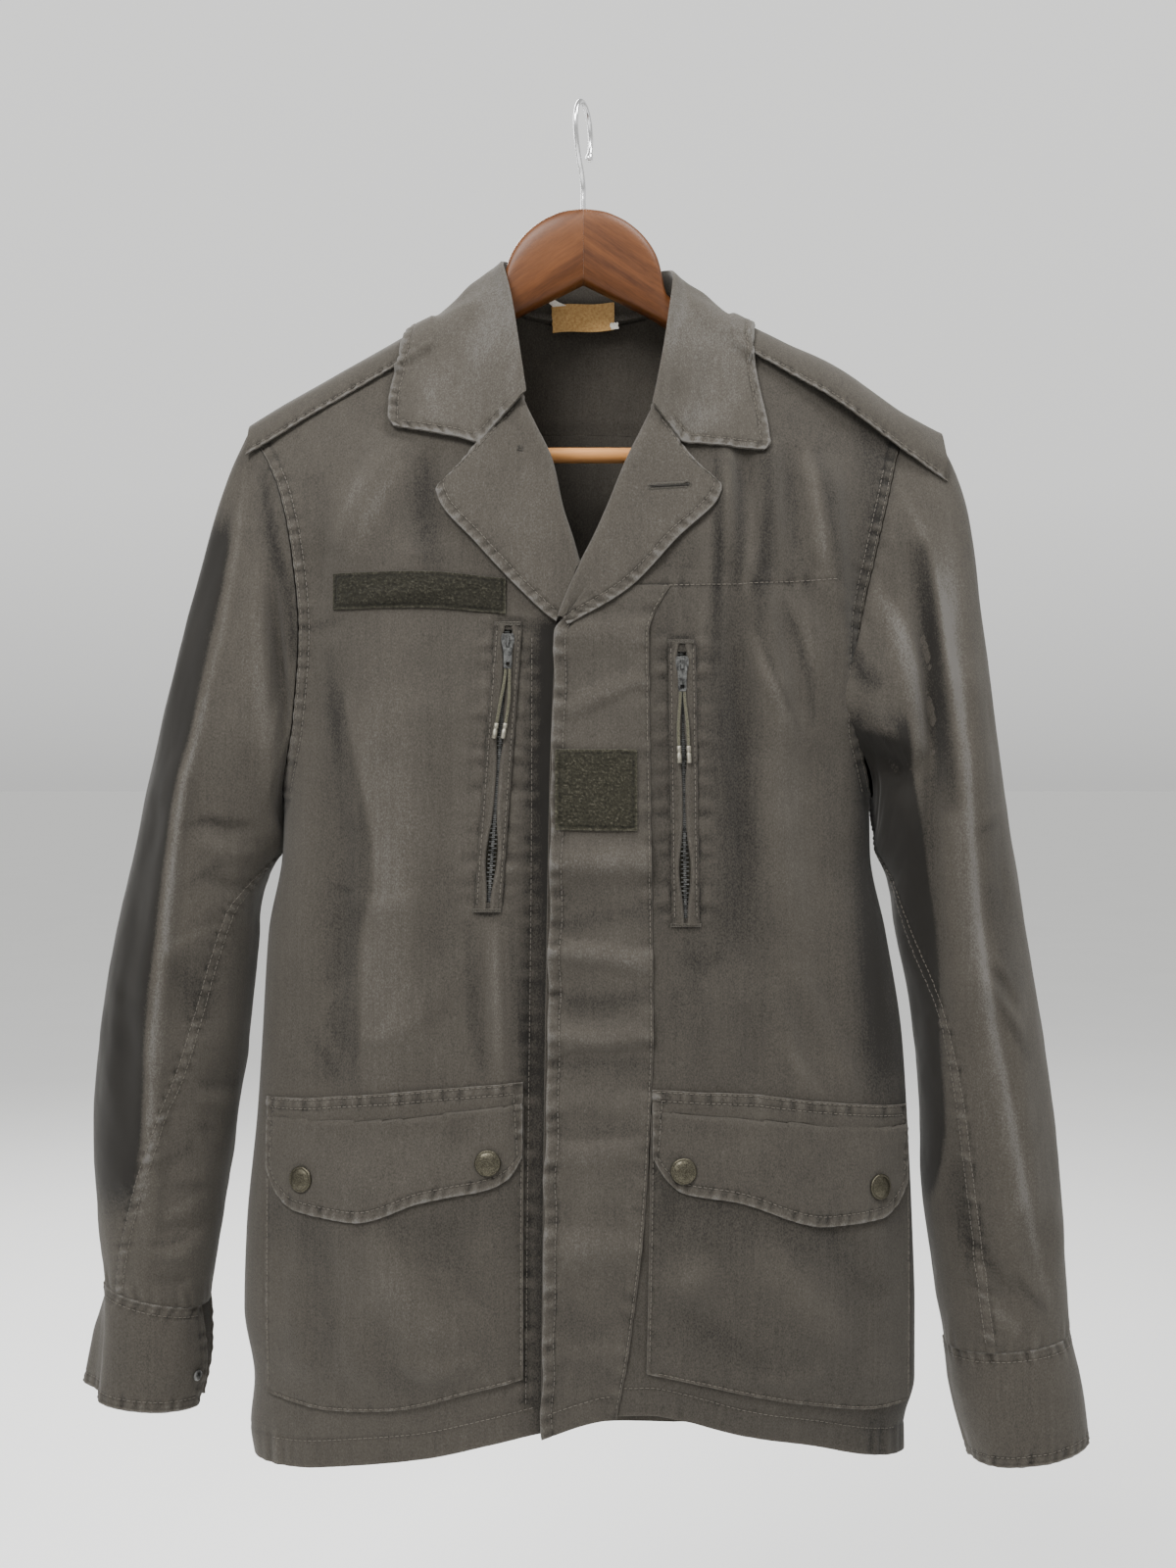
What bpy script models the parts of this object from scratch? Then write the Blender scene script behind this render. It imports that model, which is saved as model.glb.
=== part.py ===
"""A field jacket hanging from a wooden hanger, its front towards -Y.

Every cloth piece is a thin closed wall. The body is a set of level sections: a shoulder ridge that turns
over the hanger, and below it a flattened oval whose width and depth come from a short table. Panels are
patches of that form between their own seams. What lies on a panel starts from the panel's points and is
moved out until it clears the panel's facets. Lengths in tables are millimetres, the model is in metres.
The origin is the inside top of the hanger's hook.
"""

import math
from collections import namedtuple

import bmesh
import bpy
import numpy as np
from mathutils import Matrix, Vector
from mathutils.bvhtree import BVHTree

MM = 0.001
WALL = 1.2
SEAM = 0.3
LAID = 0.35
FLAP_GAP = 0.5
DOUBLE_WALL = 1.8
SECTION_POWER = 2.6
RIDGE_RADIUS = 18.0
RIDGE_SPREAD = 55.0
UNDERARM = -449.5
LAP_SHIFT, LAP_START, LAP_RUN = 2.2, 60.0, 34.0

FRONT, BACK = -1.0, 1.0

# ---------------------------------------------------------------- driving tables, millimetres

Level = namedtuple("Level", "z left right front back")
# Half-widths of the whole section, and its depth beyond the ridge radius, at each height.
LEVELS = (
    Level(-90, 300, 300, 0, 0),
    Level(-120, 295, 295, 6, 18),
    Level(-150, 290, 290, 14, 21),
    Level(-211, 268, 268, 25, 24),
    Level(-254, 240, 240, 32, 25),
    Level(-293, 216, 214, 38, 26),
    Level(-342, 202, 197, 42, 27),
    Level(-403, 196, 187, 44, 28),
    Level(-449.5, 193, 184.5, 45, 28),
    Level(-484, 194, 185, 45, 28),
    Level(-535, 203, 195, 45, 28),
    Level(-602, 207, 205.5, 47, 29),
    Level(-649, 210, 208.5, 50, 30),
    Level(-725, 217, 212, 54, 31),
    Level(-775, 218.5, 213.5, 53, 30),
    Level(-820, 212, 213.5, 50, 28),
    Level(-850, 214.5, 206.5, 47, 26),
    Level(-872, 211.5, 207, 46, 25),
)

Ridge = namedtuple("Ridge", "x z")
RIDGE = (
    Ridge(-250, -238),
    Ridge(-214.5, -211),
    Ridge(-105, -146.5),
    Ridge(-62, -121),
    Ridge(0, -80),
    Ridge(66, -123),
    Ridge(110, -148),
    Ridge(160, -176),
    Ridge(207.7, -207.4),
    Ridge(250, -240),
)

Arm = namedtuple("Arm", "z left right")
# Distance of the armhole seam from the centre line, down from the shoulder tip to the underarm.
ARMHOLE = (
    Arm(-207, 214.5, 207.7),
    Arm(-211, 214.5, 206.5),
    Arm(-232, 202, 199),
    Arm(-254, 192, 193.5),
    Arm(-293, 183, 184),
    Arm(-342, 178.5, 174.5),
    Arm(-403, 183, 172.5),
    Arm(-430, 188.5, 179),
    Arm(-449.5, 193, 184.5),
)

Inner = namedtuple("Inner", "z left right")
# The inner edge of each front: its closing edge, the line where the lapel turns over, then the neck seam.
INNER_EDGE = (
    Inner(-870, 20, -25.5),
    Inner(-640, 20, -23.5),
    Inner(-450, 20, -20.5),
    Inner(-360, 19, -17),
    Inner(-343, 15, -14.5),
    Inner(-326, 5, -8.5),
    Inner(-304, -4.5, 1),
    Inner(-287, -9.5, 9.5),
    Inner(-270, -15, 17),
    Inner(-239, -22, 29.5),
    Inner(-215, -33, 41),
    Inner(-203, -38.5, 46.5),
    Inner(-190, -43, 50.5),
    Inner(-160, -53.5, 58.5),
    Inner(-133, -60, 64),
    Inner(-121, -62, 66),
)
ROLL_SET = 2.6

Edge = namedtuple("Edge", "part inner_z outer_z")
# Heights of a front's inner and outer edge, from the hem (part 0) to the shoulder ridge (part 1).
LEFT_FRONT = (
    Edge(0.00, -834, -869),
    Edge(0.30, -640, -640),
    Edge(0.56, -450, -449.5),
    Edge(0.69, -352, -350),
    Edge(0.75, -303, -305),
    Edge(0.84, -233, -262),
    Edge(0.89, -199, -242),
    Edge(0.95, -150, -222),
    Edge(1.00, -121, -211),
)
RIGHT_FRONT = (
    Edge(0.00, -838, -867),
    Edge(0.30, -640, -640),
    Edge(0.56, -450, -449.5),
    Edge(0.69, -346, -350),
    Edge(0.75, -304.6, -305),
    Edge(0.84, -239, -262),
    Edge(0.89, -205, -242),
    Edge(0.95, -154, -222),
    Edge(1.00, -123, -207.4),
)

Hem = namedtuple("Hem", "x z")
HEM_FRONT = (
    Hem(-218, -868),
    Hem(-189, -867),
    Hem(-134, -860),
    Hem(-98, -855),
    Hem(-57, -845),
    Hem(-26, -837),
    Hem(18, -825.5),
    Hem(39, -825.5),
    Hem(63, -830),
    Hem(99, -840),
    Hem(140, -848),
    Hem(176, -858.5),
    Hem(212, -867),
)

Fold = namedtuple("Fold", "x0 z0 x1 z1 width height")
# Ridges (height over 0) and troughs (under 0) along a line, with a soft edge of the given width.
FRONT_FOLDS = (
    Fold(-150, -420, -165, -600, 22, 3.5),
    Fold(-95, -400, -100, -600, 20, 3.0),
    Fold(-122, -430, -132, -590, 14, -3.0),
    Fold(-120, -700, -120, -790, 45, 7.0),
    Fold(150, -250, 160, -400, 14, 4.0),
    Fold(120, -380, 112, -520, 18, 3.5),
    Fold(80, -420, 88, -600, 20, 3.0),
    Fold(140, -430, 150, -600, 16, -3.0),
    Fold(120, -700, 125, -800, 45, 7.0),
    Fold(-165, -300, -172, -420, 12, -3.0),
)
BACK_FOLDS = (
    Fold(-120, -300, -130, -700, 24, 4.0),
    Fold(-60, -420, -50, -800, 26, -4.0),
    Fold(10, -330, 20, -780, 24, 4.0),
    Fold(75, -420, 60, -800, 26, -4.0),
    Fold(135, -300, 140, -700, 24, 4.0),
)

Sleeve = namedtuple("Sleeve", "part outer_x outer_z inner_x inner_z front back")
# Outer and inner edge of the sleeve at each part of its length, and its depth before and behind y = 0.
LEFT_SLEEVE = (
    Sleeve(0.00, -214.8, -211, -193.3, -450, 42, 36),
    Sleeve(0.05, -226, -236, -193.6, -456, 42, 36),
    Sleeve(0.13, -241.5, -287, -194.5, -466, 44, 37),
    Sleeve(0.23, -257.5, -345, -196, -480, 46, 38),
    Sleeve(0.35, -273.5, -415, -204.5, -503, 48, 40),
    Sleeve(0.45, -286, -472, -210.5, -532, 50, 42),
    Sleeve(0.57, -302, -542, -216, -580, 50, 42),
    Sleeve(0.68, -311.5, -605, -220, -624, 48, 40),
    Sleeve(0.79, -315, -662, -227, -675, 44, 38),
    Sleeve(0.90, -313, -713, -233.5, -723, 40, 34),
    Sleeve(1.00, -308.5, -758, -243, -774, 36, 30),
)
RIGHT_SLEEVE = (
    Sleeve(0.00, 208, -207.4, 184.8, -450, 42, 36),
    Sleeve(0.05, 233, -224, 185.5, -456, 43, 36),
    Sleeve(0.13, 248, -268, 187, -466, 45, 37),
    Sleeve(0.23, 257, -335, 190, -480, 47, 38),
    Sleeve(0.35, 267, -415, 199.5, -503, 49, 40),
    Sleeve(0.45, 275, -470, 205, -532, 50, 42),
    Sleeve(0.57, 285.5, -542, 213, -580, 50, 42),
    Sleeve(0.68, 297, -612, 217, -630, 49, 40),
    Sleeve(0.79, 306, -680, 220, -690, 46, 38),
    Sleeve(0.90, 311, -740, 225, -746, 42, 35),
    Sleeve(1.00, 313.5, -792, 234, -800, 38, 32),
)

Seam = namedtuple("Seam", "part near far")
# Angles round the sleeve, in degrees from its outer edge towards the front, of its two long seams.
LEFT_SLEEVE_SEAMS = (
    Seam(0.00, 180, 300),
    Seam(0.23, 178, 299),
    Seam(0.45, 130, 297),
    Seam(0.68, 106, 294),
    Seam(0.86, 76, 291),
    Seam(1.00, 52, 290),
)
RIGHT_SLEEVE_SEAMS = (
    Seam(0.00, 180, 300),
    Seam(0.23, 178, 299),
    Seam(0.45, 150, 297),
    Seam(0.68, 122, 294),
    Seam(0.86, 112, 291),
    Seam(1.00, 110, 290),
)

LEFT_SLEEVE_FOLDS = (
    Fold(-228, -240, -262, -440, 20, 5.0),
    Fold(-262, -440, -275, -560, 20, 5.0),
    Fold(-275, -560, -285, -680, 20, 4.5),
    Fold(-210, -300, -198, -390, 18, -5.0),
)
RIGHT_SLEEVE_FOLDS = (
    Fold(206, -260, 222, -400, 18, -5.0),
    Fold(222, -400, 230, -540, 18, -4.5),
    Fold(246, -380, 256, -560, 18, 4.5),
    Fold(256, -560, 280, -700, 18, 4.5),
    Fold(188, -340, 180, -410, 20, 7.0),
)

Cuff = namedtuple("Cuff", "part outer_x outer_z inner_x inner_z front back lobe")
# A lobe carries the band's hind part further out than its front.
LEFT_CUFF = (
    Cuff(0.0, -309, -760, -241, -777, 37, 31, 0),
    Cuff(0.3, -311, -784, -241, -796, 37, 32, 11),
    Cuff(0.5, -312, -798, -241, -808, 37, 32, 15),
    Cuff(1.0, -316, -831, -246, -838, 36, 31, 18),
)
RIGHT_CUFF = (
    Cuff(0.0, 315.5, -796, 232, -804, 39, 33, 0),
    Cuff(0.5, 322, -830, 240, -840, 38, 32, 0),
    Cuff(1.0, 326, -862, 250, -874, 36, 31, 0),
)

Outline = namedtuple("Outline", "across top bottom")
# A patch piece's upper and lower edge at parts of its width. Its left edge leans over by `lean`.
Patch = namedtuple("Patch", "left right lean outline")
LEFT_POCKET = (
    Outline(0, -650, -822),
    Outline(0.25, -649, -826),
    Outline(0.5, -647, -823),
    Outline(0.8, -641, -811),
    Outline(1, -637, -803),
)
RIGHT_POCKET = (
    Outline(0, -641, -799),
    Outline(0.25, -645, -808),
    Outline(0.6, -651, -820),
    Outline(0.9, -656, -829),
    Outline(1, -657, -829),
)
POCKETS = {"left": Patch(-198, -37, 0, LEFT_POCKET), "right": Patch(41.7, 205, -2.7, RIGHT_POCKET)}
LEFT_FLAP = (
    Outline(0, -637, -680),
    Outline(0.05, -636.5, -695),
    Outline(0.13, -636, -703.5),
    Outline(0.36, -632, -707),
    Outline(0.62, -628, -694),
    Outline(0.88, -624.5, -686),
    Outline(0.95, -623.5, -680),
    Outline(1, -623, -668),
)
RIGHT_FLAP = (
    Outline(0, -627, -667),
    Outline(0.05, -627.5, -680),
    Outline(0.11, -628, -688),
    Outline(0.32, -630, -694),
    Outline(0.68, -637, -710.5),
    Outline(0.88, -641, -709.5),
    Outline(0.95, -642.5, -703),
    Outline(1, -643.5, -690),
)
FLAPS = {"left": Patch(-198.5, -37.5, 0, LEFT_FLAP), "right": Patch(42.3, 204.5, 0, RIGHT_FLAP)}
TAPE_OUTLINE = (Outline(0, -309, -331.5), Outline(0.5, -308.5, -331), Outline(1, -313.5, -335.5))
NAME_TAPE = Patch(-155.5, -47.6, 0, TAPE_OUTLINE)
SQUARE_PATCH = Patch(-17, 33, 0, (Outline(0, -419, -468), Outline(1, -419, -468.5)))

NECK_LABEL = Patch(-22, 21, 0, (Outline(0, -123, -141), Outline(1, -123, -141)))
LABEL_START = 12.0
LABEL_WALL = 1.0

Snap = namedtuple("Snap", "name x z")
SNAPS = (
    Snap("snap_left_outer", -174, -684),
    Snap("snap_left_inner", -58, -670.5),
    Snap("snap_right_inner", 61, -675),
    Snap("snap_right_outer", 184, -690),
)

Band = namedtuple("Band", "z left right")
FLY_BAND = (
    Band(-346, -17, 40),
    Band(-600, -21.5, 42.6),
    Band(-630, -22, 41.3),
    Band(-660, -22.6, 39.9),
    Band(-700, -23.5, 37.4),
    Band(-790, -24.5, 27),
    Band(-829, -25.5, 20),
)

Lapel = namedtuple("Lapel", "part roll_z mid_x mid_z edge_x edge_z")
# Rows of a lapel from its top edge to where it runs out: the turning line, a point between, the free edge.
LEFT_LAPEL = (
    Lapel(0.00, -199.6, -65, -229.2, -84, -249.5),
    Lapel(0.05, -203, -66, -233, -91, -256),
    Lapel(0.12, -210, -63, -238, -89.5, -263),
    Lapel(0.40, -236, -44, -263, -66, -291),
    Lapel(0.70, -269, -26, -294, -40, -319),
    Lapel(1.00, -299, -14, -318, -22, -336),
)
RIGHT_LAPEL = (
    Lapel(0.00, -205.6, 60.6, -230, 79, -248),
    Lapel(0.05, -209, 62, -234, 86, -255),
    Lapel(0.12, -216, 61, -240, 84.5, -261),
    Lapel(0.40, -247, 42, -268, 58, -288),
    Lapel(0.70, -287, 17, -304, 28, -319.5),
    Lapel(0.92, -326, -6, -332, -1, -337.5),
    Lapel(1.00, -337, -11.5, -339.5, -9.5, -342),
)

Collar = namedtuple("Collar", "part neck_x neck_z roll_x roll_y roll_z mid_x mid_z edge_x edge_z")
# Stations round the neck, from the left front end by the back to the right front end.
COLLAR = (
    Collar(0.00, -39.6, -195.0, -36.5, -50, -196.4, -64.3, -226.2, -119, -215.0),
    Collar(0.03, -41.5, -190, -37, -48, -190, -68, -212, -123.5, -207),
    Collar(0.12, -52.5, -158, -41.5, -40, -162, -72, -186, -122, -190),
    Collar(0.22, -59.5, -131, -47, -25, -124, -74, -150, -116, -166),
    Collar(0.30, -61.5, -120.4, -54, -3, -101, -76, -114, -107, -142),
    Collar(0.38, -55, -124.4, -50, 20, -97, -68, -118, -92, -166),
    Collar(0.45, -32, -133.4, -30, 34, -97.5, -38, -120, -48, -172),
    Collar(0.50, 2, -136.4, 2, 38, -98.5, 2, -122, 2, -174),
    Collar(0.55, 36, -133.4, 34, 34, -99.5, 42, -122, 52, -172),
    Collar(0.62, 59, -125.4, 54, 20, -102, 72, -122, 96, -166),
    Collar(0.70, 65.5, -122.4, 59.5, -3, -108, 80, -120, 106, -138),
    Collar(0.78, 63.3, -133, 56, -25, -132, 80, -157, 108, -172),
    Collar(0.88, 57.5, -162, 51, -40, -168, 76, -195, 114, -204),
    Collar(0.97, 48, -194, 45.5, -49, -197, 66, -220, 117.5, -226),
    Collar(1.00, 45.8, -201, 44, -51, -204, 61.8, -226.6, 113, -231.5),
)
COLLAR_STAND_OFF = 3.0
COLLAR_FALL = 6
COLLAR_GAP = 0.6
STRAP_GAP = 0.45
NECK = (
    Ridge(-62, -121),
    Ridge(-55, -125),
    Ridge(-32, -134),
    Ridge(2, -137),
    Ridge(36, -134),
    Ridge(59, -126),
    Ridge(66, -123),
)
YOKE_CENTRE, YOKE_DROP = -206.0, 44.0
BACK_HEM = -868.0

Strap = namedtuple("Strap", "part x rise front back")
# A shoulder strap along the ridge: its rise over the cloth, and how far it reaches down either side.
LEFT_STRAP = (
    Strap(0.0, -98, 0.8, 19, 23),
    Strap(0.5, -158, 0.8, 20, 24),
    Strap(0.8, -196, 1.5, 20, 24),
    Strap(1.0, -215, 2.0, 19, 23),
)
RIGHT_STRAP = (
    Strap(0.0, 98, 0.8, 19, 23),
    Strap(0.3, 130, 3.5, 20, 24),
    Strap(0.6, 165, 7.0, 22, 24),
    Strap(0.85, 200, 5.0, 24, 24),
    Strap(1.0, 232, 8.0, 26, 24),
)

Slot = namedtuple("Slot", "top_x top_z bottom_x bottom_z")
SLOTS = {"left": Slot(-46, -343.5, -58.3, -515), "right": Slot(60.8, -354.5, 63, -524)}
SLOT_WIDTH = 2.2
SLOT_AT_SLIDER = 9.4
SLOT_GAPE = 5.0
TAPE_HALF_WIDTH, TAPE_THICKNESS = 11.0, 0.8
CHAIN_HALF_WIDTH, CHAIN_HEIGHT, CHAIN_EDGE = 2.7, 1.8, 0.4
CHAIN_BEHIND = 0.5

SLIDER_LENGTH = 11.0
SLIDER_THICKNESS = 3.0
BAIL_WIDTH, BAIL_THICKNESS, BAIL_HEIGHT = 1.6, 0.9, 2.6
BAIL_REACH = 3.0
TAB_THICKNESS = 1.0
TAB_LENGTH = 17.0
Pull = namedtuple("Pull", "slider_z cord_length crimp_length spread")
PULLS = {"left": Pull(-347.5, 33.0, 9.5, 2.9), "right": Pull(-361.5, 33.0, 10.5, 3.4)}
CORD_DIAMETER = 2.2
CORD_SPACING = 2.5
CRIMP_DIAMETER = 3.0

Arc = namedtuple("Arc", "x top bottom half")
# The hanger arm's upper and lower edge and half thickness, out from the mitre.
HANGER_ARM = (
    Arc(0.2, -68, -116, 10),
    Arc(12, -69.4, -122, 10),
    Arc(24, -73.9, -128, 10),
    Arc(34, -80.7, -133, 10),
    Arc(42, -89.3, -137, 10),
    Arc(48, -100, -140.5, 10),
    Arc(51, -112, -142.5, 10),
    Arc(53, -122, -143.5, 10),
    Arc(58, -127, -146.5, 10),
    Arc(80, -137, -160, 10),
    Arc(120, -157.5, -189, 9.8),
    Arc(160, -181.5, -218, 9.5),
    Arc(185, -196.5, -234, 9),
    Arc(198, -205.5, -236, 8),
    Arc(203, -212, -232, 6),
)
BAR_Z, BAR_DIAMETER, BAR_HALF_LENGTH = -227.0, 10.0, 166.2
WIRE_DIAMETER = 3.2
HOOK_RADIUS = 17.0
HOOK_TURN = math.radians(75)
STEM_BOTTOM = -67.6

# ---------------------------------------------------------------- curves and the body's form


class Curve:
    """A smooth line through a few keyed values that never swings past them."""

    def __init__(self, keys, values):
        order = np.argsort(keys)
        self.keys = np.asarray(keys, float)[order]
        self.values = np.asarray(values, float)[order]
        step = np.diff(self.keys)
        rise = np.diff(self.values) / step
        inner = np.zeros(len(self.keys))
        same = rise[1:] * rise[:-1] > 0
        mean = 2 * rise[1:] * rise[:-1] / np.where(same, rise[1:] + rise[:-1], 1)
        inner[1:-1] = np.where(same, mean, 0)
        inner[0], inner[-1] = rise[0], rise[-1]
        self.slopes = inner

    def __call__(self, at):
        at = np.clip(np.asarray(at, float), self.keys[0], self.keys[-1])
        i = np.clip(np.searchsorted(self.keys, at, side="right") - 1, 0, len(self.keys) - 2)
        span = self.keys[i + 1] - self.keys[i]
        t = (at - self.keys[i]) / span
        low, high = self.values[i], self.values[i + 1]
        start, end = self.slopes[i] * span, self.slopes[i + 1] * span
        return (
            low * (2 * t**3 - 3 * t**2 + 1)
            + start * (t**3 - 2 * t**2 + t)
            + high * (3 * t**2 - 2 * t**3)
            + end * (t**3 - t**2)
        )


def column(table, key, value):
    return Curve([getattr(row, key) for row in table], [getattr(row, value) for row in table])


ridge_z = column(RIDGE, "x", "z")
half_left = column(LEVELS, "z", "left")
half_right = column(LEVELS, "z", "right")
depth_front = column(LEVELS, "z", "front")
depth_back = column(LEVELS, "z", "back")
arm_left = column(ARMHOLE, "z", "left")
arm_right = column(ARMHOLE, "z", "right")
hem_front = column(HEM_FRONT, "x", "z")


def fold_height(x, z, folds):
    """Sum of the soft ridges and troughs at (x, z)."""
    total = np.zeros(np.broadcast(x, z).shape)
    for fold in folds:
        run = np.array([fold.x1 - fold.x0, fold.z1 - fold.z0])
        along = ((x - fold.x0) * run[0] + (z - fold.z0) * run[1]) / (run @ run)
        near = np.clip(along, 0, 1)
        apart = np.hypot(x - fold.x0 - near * run[0], z - fold.z0 - near * run[1])
        total = total + fold.height * np.exp(-((apart / fold.width) ** 2))
    return total


def section_share(x, z):
    """How much of its full depth the section keeps at x: 1 on the centre line, 0 at its side."""
    half = np.where(x < 0, half_left(z), half_right(z))
    reach = np.clip(np.abs(x) / half, 0, 1)
    return (1 - reach**SECTION_POWER) ** (1 / SECTION_POWER)


def cloth_y(x, z, face):
    """The outer face of the front (face -1) or the back (face 1) at (x, z)."""
    drop = np.maximum(ridge_z(x) - z, 0)
    turn = RIDGE_RADIUS * np.sqrt(1 - (1 - np.clip(drop / RIDGE_RADIUS, 0, 1)) ** 2)
    depth = depth_front(z) if face < 0 else depth_back(z)
    deep = depth * (1 - np.exp(-((drop / RIDGE_SPREAD) ** 1.5)))
    folds = fold_height(x, z, FRONT_FOLDS if face < 0 else BACK_FOLDS)
    fade = np.clip(drop / 60, 0, 1)
    return face * ((turn + deep + folds * fade) * section_share(x, z) + SEAM / 2)


def right_lap(x):
    """The right front stands off towards its closing edge, where it laps over the left one."""
    return LAP_SHIFT * np.clip((LAP_START - x) / LAP_RUN, 0, 1)


def front_y(x, z, side):
    """The outer face of the left or the right front."""
    y = cloth_y(x, z, FRONT)
    return y - right_lap(x) if side > 0 else y


def outer_edge_x(z, side):
    """The armhole seam above the underarm and the side seam below it."""
    if side < 0:
        return -np.where(z > UNDERARM, arm_left(z), half_left(z))
    return np.where(z > UNDERARM, arm_right(z), half_right(z))


# ---------------------------------------------------------------- walls from grids of points


def unit(vectors):
    length = np.linalg.norm(vectors, axis=-1, keepdims=True)
    return vectors / np.maximum(length, 1e-12)


def grid_normals(grid, away, wrap=False):
    """Unit normals at a grid's points, on the side that `away` points to."""
    if wrap:
        across = np.roll(grid, -1, axis=1) - np.roll(grid, 1, axis=1)
    else:
        across = np.gradient(grid, axis=1)
    along = np.gradient(grid, axis=0)
    normals = unit(np.cross(across, along))
    if np.sum(normals * away) < 0:
        normals = -normals
    return normals


def wall(name, inner, outer, finish, wrap=False, kept=None):
    """A closed wall between two grids of points in millimetres. Cells outside `kept` are left open."""
    rows, cols = inner.shape[:2]
    last = cols if wrap else cols - 1
    kept = np.ones((rows - 1, last), bool) if kept is None else kept
    points = np.concatenate([inner.reshape(-1, 3), outer.reshape(-1, 3)]) * MM

    def at(i, j, skin):
        return skin * rows * cols + i * cols + j % cols

    def is_kept(i, j):
        if wrap:
            j %= last
        return 0 <= i < rows - 1 and 0 <= j < last and kept[i, j]

    faces = []
    for i in range(rows - 1):
        for j in range(last):
            if not kept[i, j]:
                continue
            ring = [(i, j), (i, j + 1), (i + 1, j + 1), (i + 1, j)]
            beyond = [(i - 1, j), (i, j + 1), (i + 1, j), (i, j - 1)]
            faces.append([at(*corner, 1) for corner in ring])
            faces.append([at(*corner, 0) for corner in reversed(ring)])
            for k in range(4):
                if not is_kept(*beyond[k]):
                    a, b = ring[k], ring[(k + 1) % 4]
                    faces.append([at(*b, 1), at(*a, 1), at(*a, 0), at(*b, 0)])
    return solid(name, points, faces, finish)


def solid(name, points, faces, finish):
    """An object of these points and faces, with unused points dropped and every face turned outwards."""
    mesh = bpy.data.meshes.new(name)
    mesh.from_pydata([tuple(point) for point in points], [], faces)
    body = bmesh.new()
    body.from_mesh(mesh)
    loose = [vert for vert in body.verts if not vert.link_faces]
    bmesh.ops.delete(body, geom=loose, context="VERTS")
    bmesh.ops.recalc_face_normals(body, faces=body.faces)
    body.to_mesh(mesh)
    body.free()
    mesh.materials.append(finish)
    mesh.shade_smooth()
    mesh.set_sharp_from_angle(angle=math.radians(35))
    item = bpy.data.objects.new(name, mesh)
    bpy.context.scene.collection.objects.link(item)
    return item


def facets(grid, wrap=False):
    """The triangles of a grid as a search tree, in millimetres."""
    rows, cols = grid.shape[:2]
    last = cols if wrap else cols - 1
    quads = [
        (i * cols + j, i * cols + (j + 1) % cols, (i + 1) * cols + (j + 1) % cols, (i + 1) * cols + j)
        for i in range(rows - 1)
        for j in range(last)
    ]
    return BVHTree.FromPolygons([Vector(point) for point in grid.reshape(-1, 3)], quads)


SAMPLES = (0.0, 0.2, 0.4, 0.6, 0.8, 1.0)
SETTLE_ROUNDS = 8


def lay_on(grid, bases, gap=LAID, start=-400.0):
    """Moves a grid's points towards -Y until its facets clear the facets that it lies on."""
    grid = grid.copy()
    rows, cols = grid.shape[:2]
    for _ in range(SETTLE_ROUNDS):
        push = np.zeros((rows, cols))
        for i in range(rows - 1):
            for j in range(cols - 1):
                corners = grid[i, j], grid[i, j + 1], grid[i + 1, j], grid[i + 1, j + 1]
                worst = 0.0
                for u in SAMPLES:
                    for v in SAMPLES:
                        low = corners[0] * (1 - u) + corners[1] * u
                        high = corners[2] * (1 - u) + corners[3] * u
                        point = low * (1 - v) + high * v
                        worst = max(worst, depth_under(point, bases, gap, start))
                if worst > 0:
                    block = push[i : i + 2, j : j + 2]
                    np.maximum(block, worst, out=block)
        if push.max() <= 1e-4:
            break
        grid[:, :, 1] -= push
    return grid


def depth_under(point, bases, gap, start):
    """How far a point must move towards -Y to stand `gap` before every base, looking from y = `start`."""
    worst = 0.0
    for base in bases:
        hit = base.ray_cast(Vector((point[0], start, point[2])), Vector((0, 1, 0)))[0]
        if hit is not None:
            worst = max(worst, point[1] - (hit.y - gap))
    return worst


def outward(grid):
    """The facets of a grid, each turned away from the inside of the shoulders."""
    rows, cols = grid.shape[:2]
    quads = []
    for i in range(rows - 1):
        for j in range(cols - 1):
            quad = [i * cols + j, i * cols + j + 1, (i + 1) * cols + j + 1, (i + 1) * cols + j]
            corners = grid.reshape(-1, 3)[quad]
            facing_out = np.cross(corners[2] - corners[0], corners[3] - corners[1])
            middle = corners.mean(axis=0)
            if facing_out @ np.array([0, middle[1], SHOULDER_DEPTH]) < 0:
                quad.reverse()
            quads.append(quad)
    return BVHTree.FromPolygons([Vector(point) for point in grid.reshape(-1, 3)], quads)


SHOULDER_DEPTH = 12.0
EDGE_SLACK = 1.5


def stand_clear(grid, first, bases, gap):
    """Moves the points of a grid from column `first` on off the bases, along the bases' own normals."""
    grid = grid.copy()
    rows, cols = grid.shape[:2]
    for _ in range(SETTLE_ROUNDS):
        push = np.zeros((rows, cols, 3))
        for i in range(rows - 1):
            for j in range(first, cols - 1):
                corners = grid[i, j], grid[i, j + 1], grid[i + 1, j], grid[i + 1, j + 1]
                for u in SAMPLES:
                    for v in SAMPLES:
                        low = corners[0] * (1 - u) + corners[1] * u
                        high = corners[2] * (1 - u) + corners[3] * u
                        move = way_out(low * (1 - v) + high * v, bases, gap)
                        if move is None:
                            continue
                        for a in (i, i + 1):
                            for b in (j, j + 1):
                                if np.linalg.norm(move) > np.linalg.norm(push[a, b]):
                                    push[a, b] = move
        if np.abs(push).max() <= 1e-3:
            break
        grid += push
    return grid


def way_out(point, bases, gap):
    """The move that brings a point `gap` before the base that it is deepest in, or None."""
    worst, move = 0.0, None
    for base in bases:
        place, normal, _, _ = base.find_nearest(Vector(point), 40.0)
        if place is None:
            continue
        apart = np.array(point) - np.array(place)
        height = apart @ np.array(normal)
        if np.linalg.norm(apart) > abs(height) + EDGE_SLACK:
            continue
        if gap - height > worst:
            worst, move = gap - height, np.array(normal) * (gap - height)
    return move


# ---------------------------------------------------------------- finishes


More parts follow.
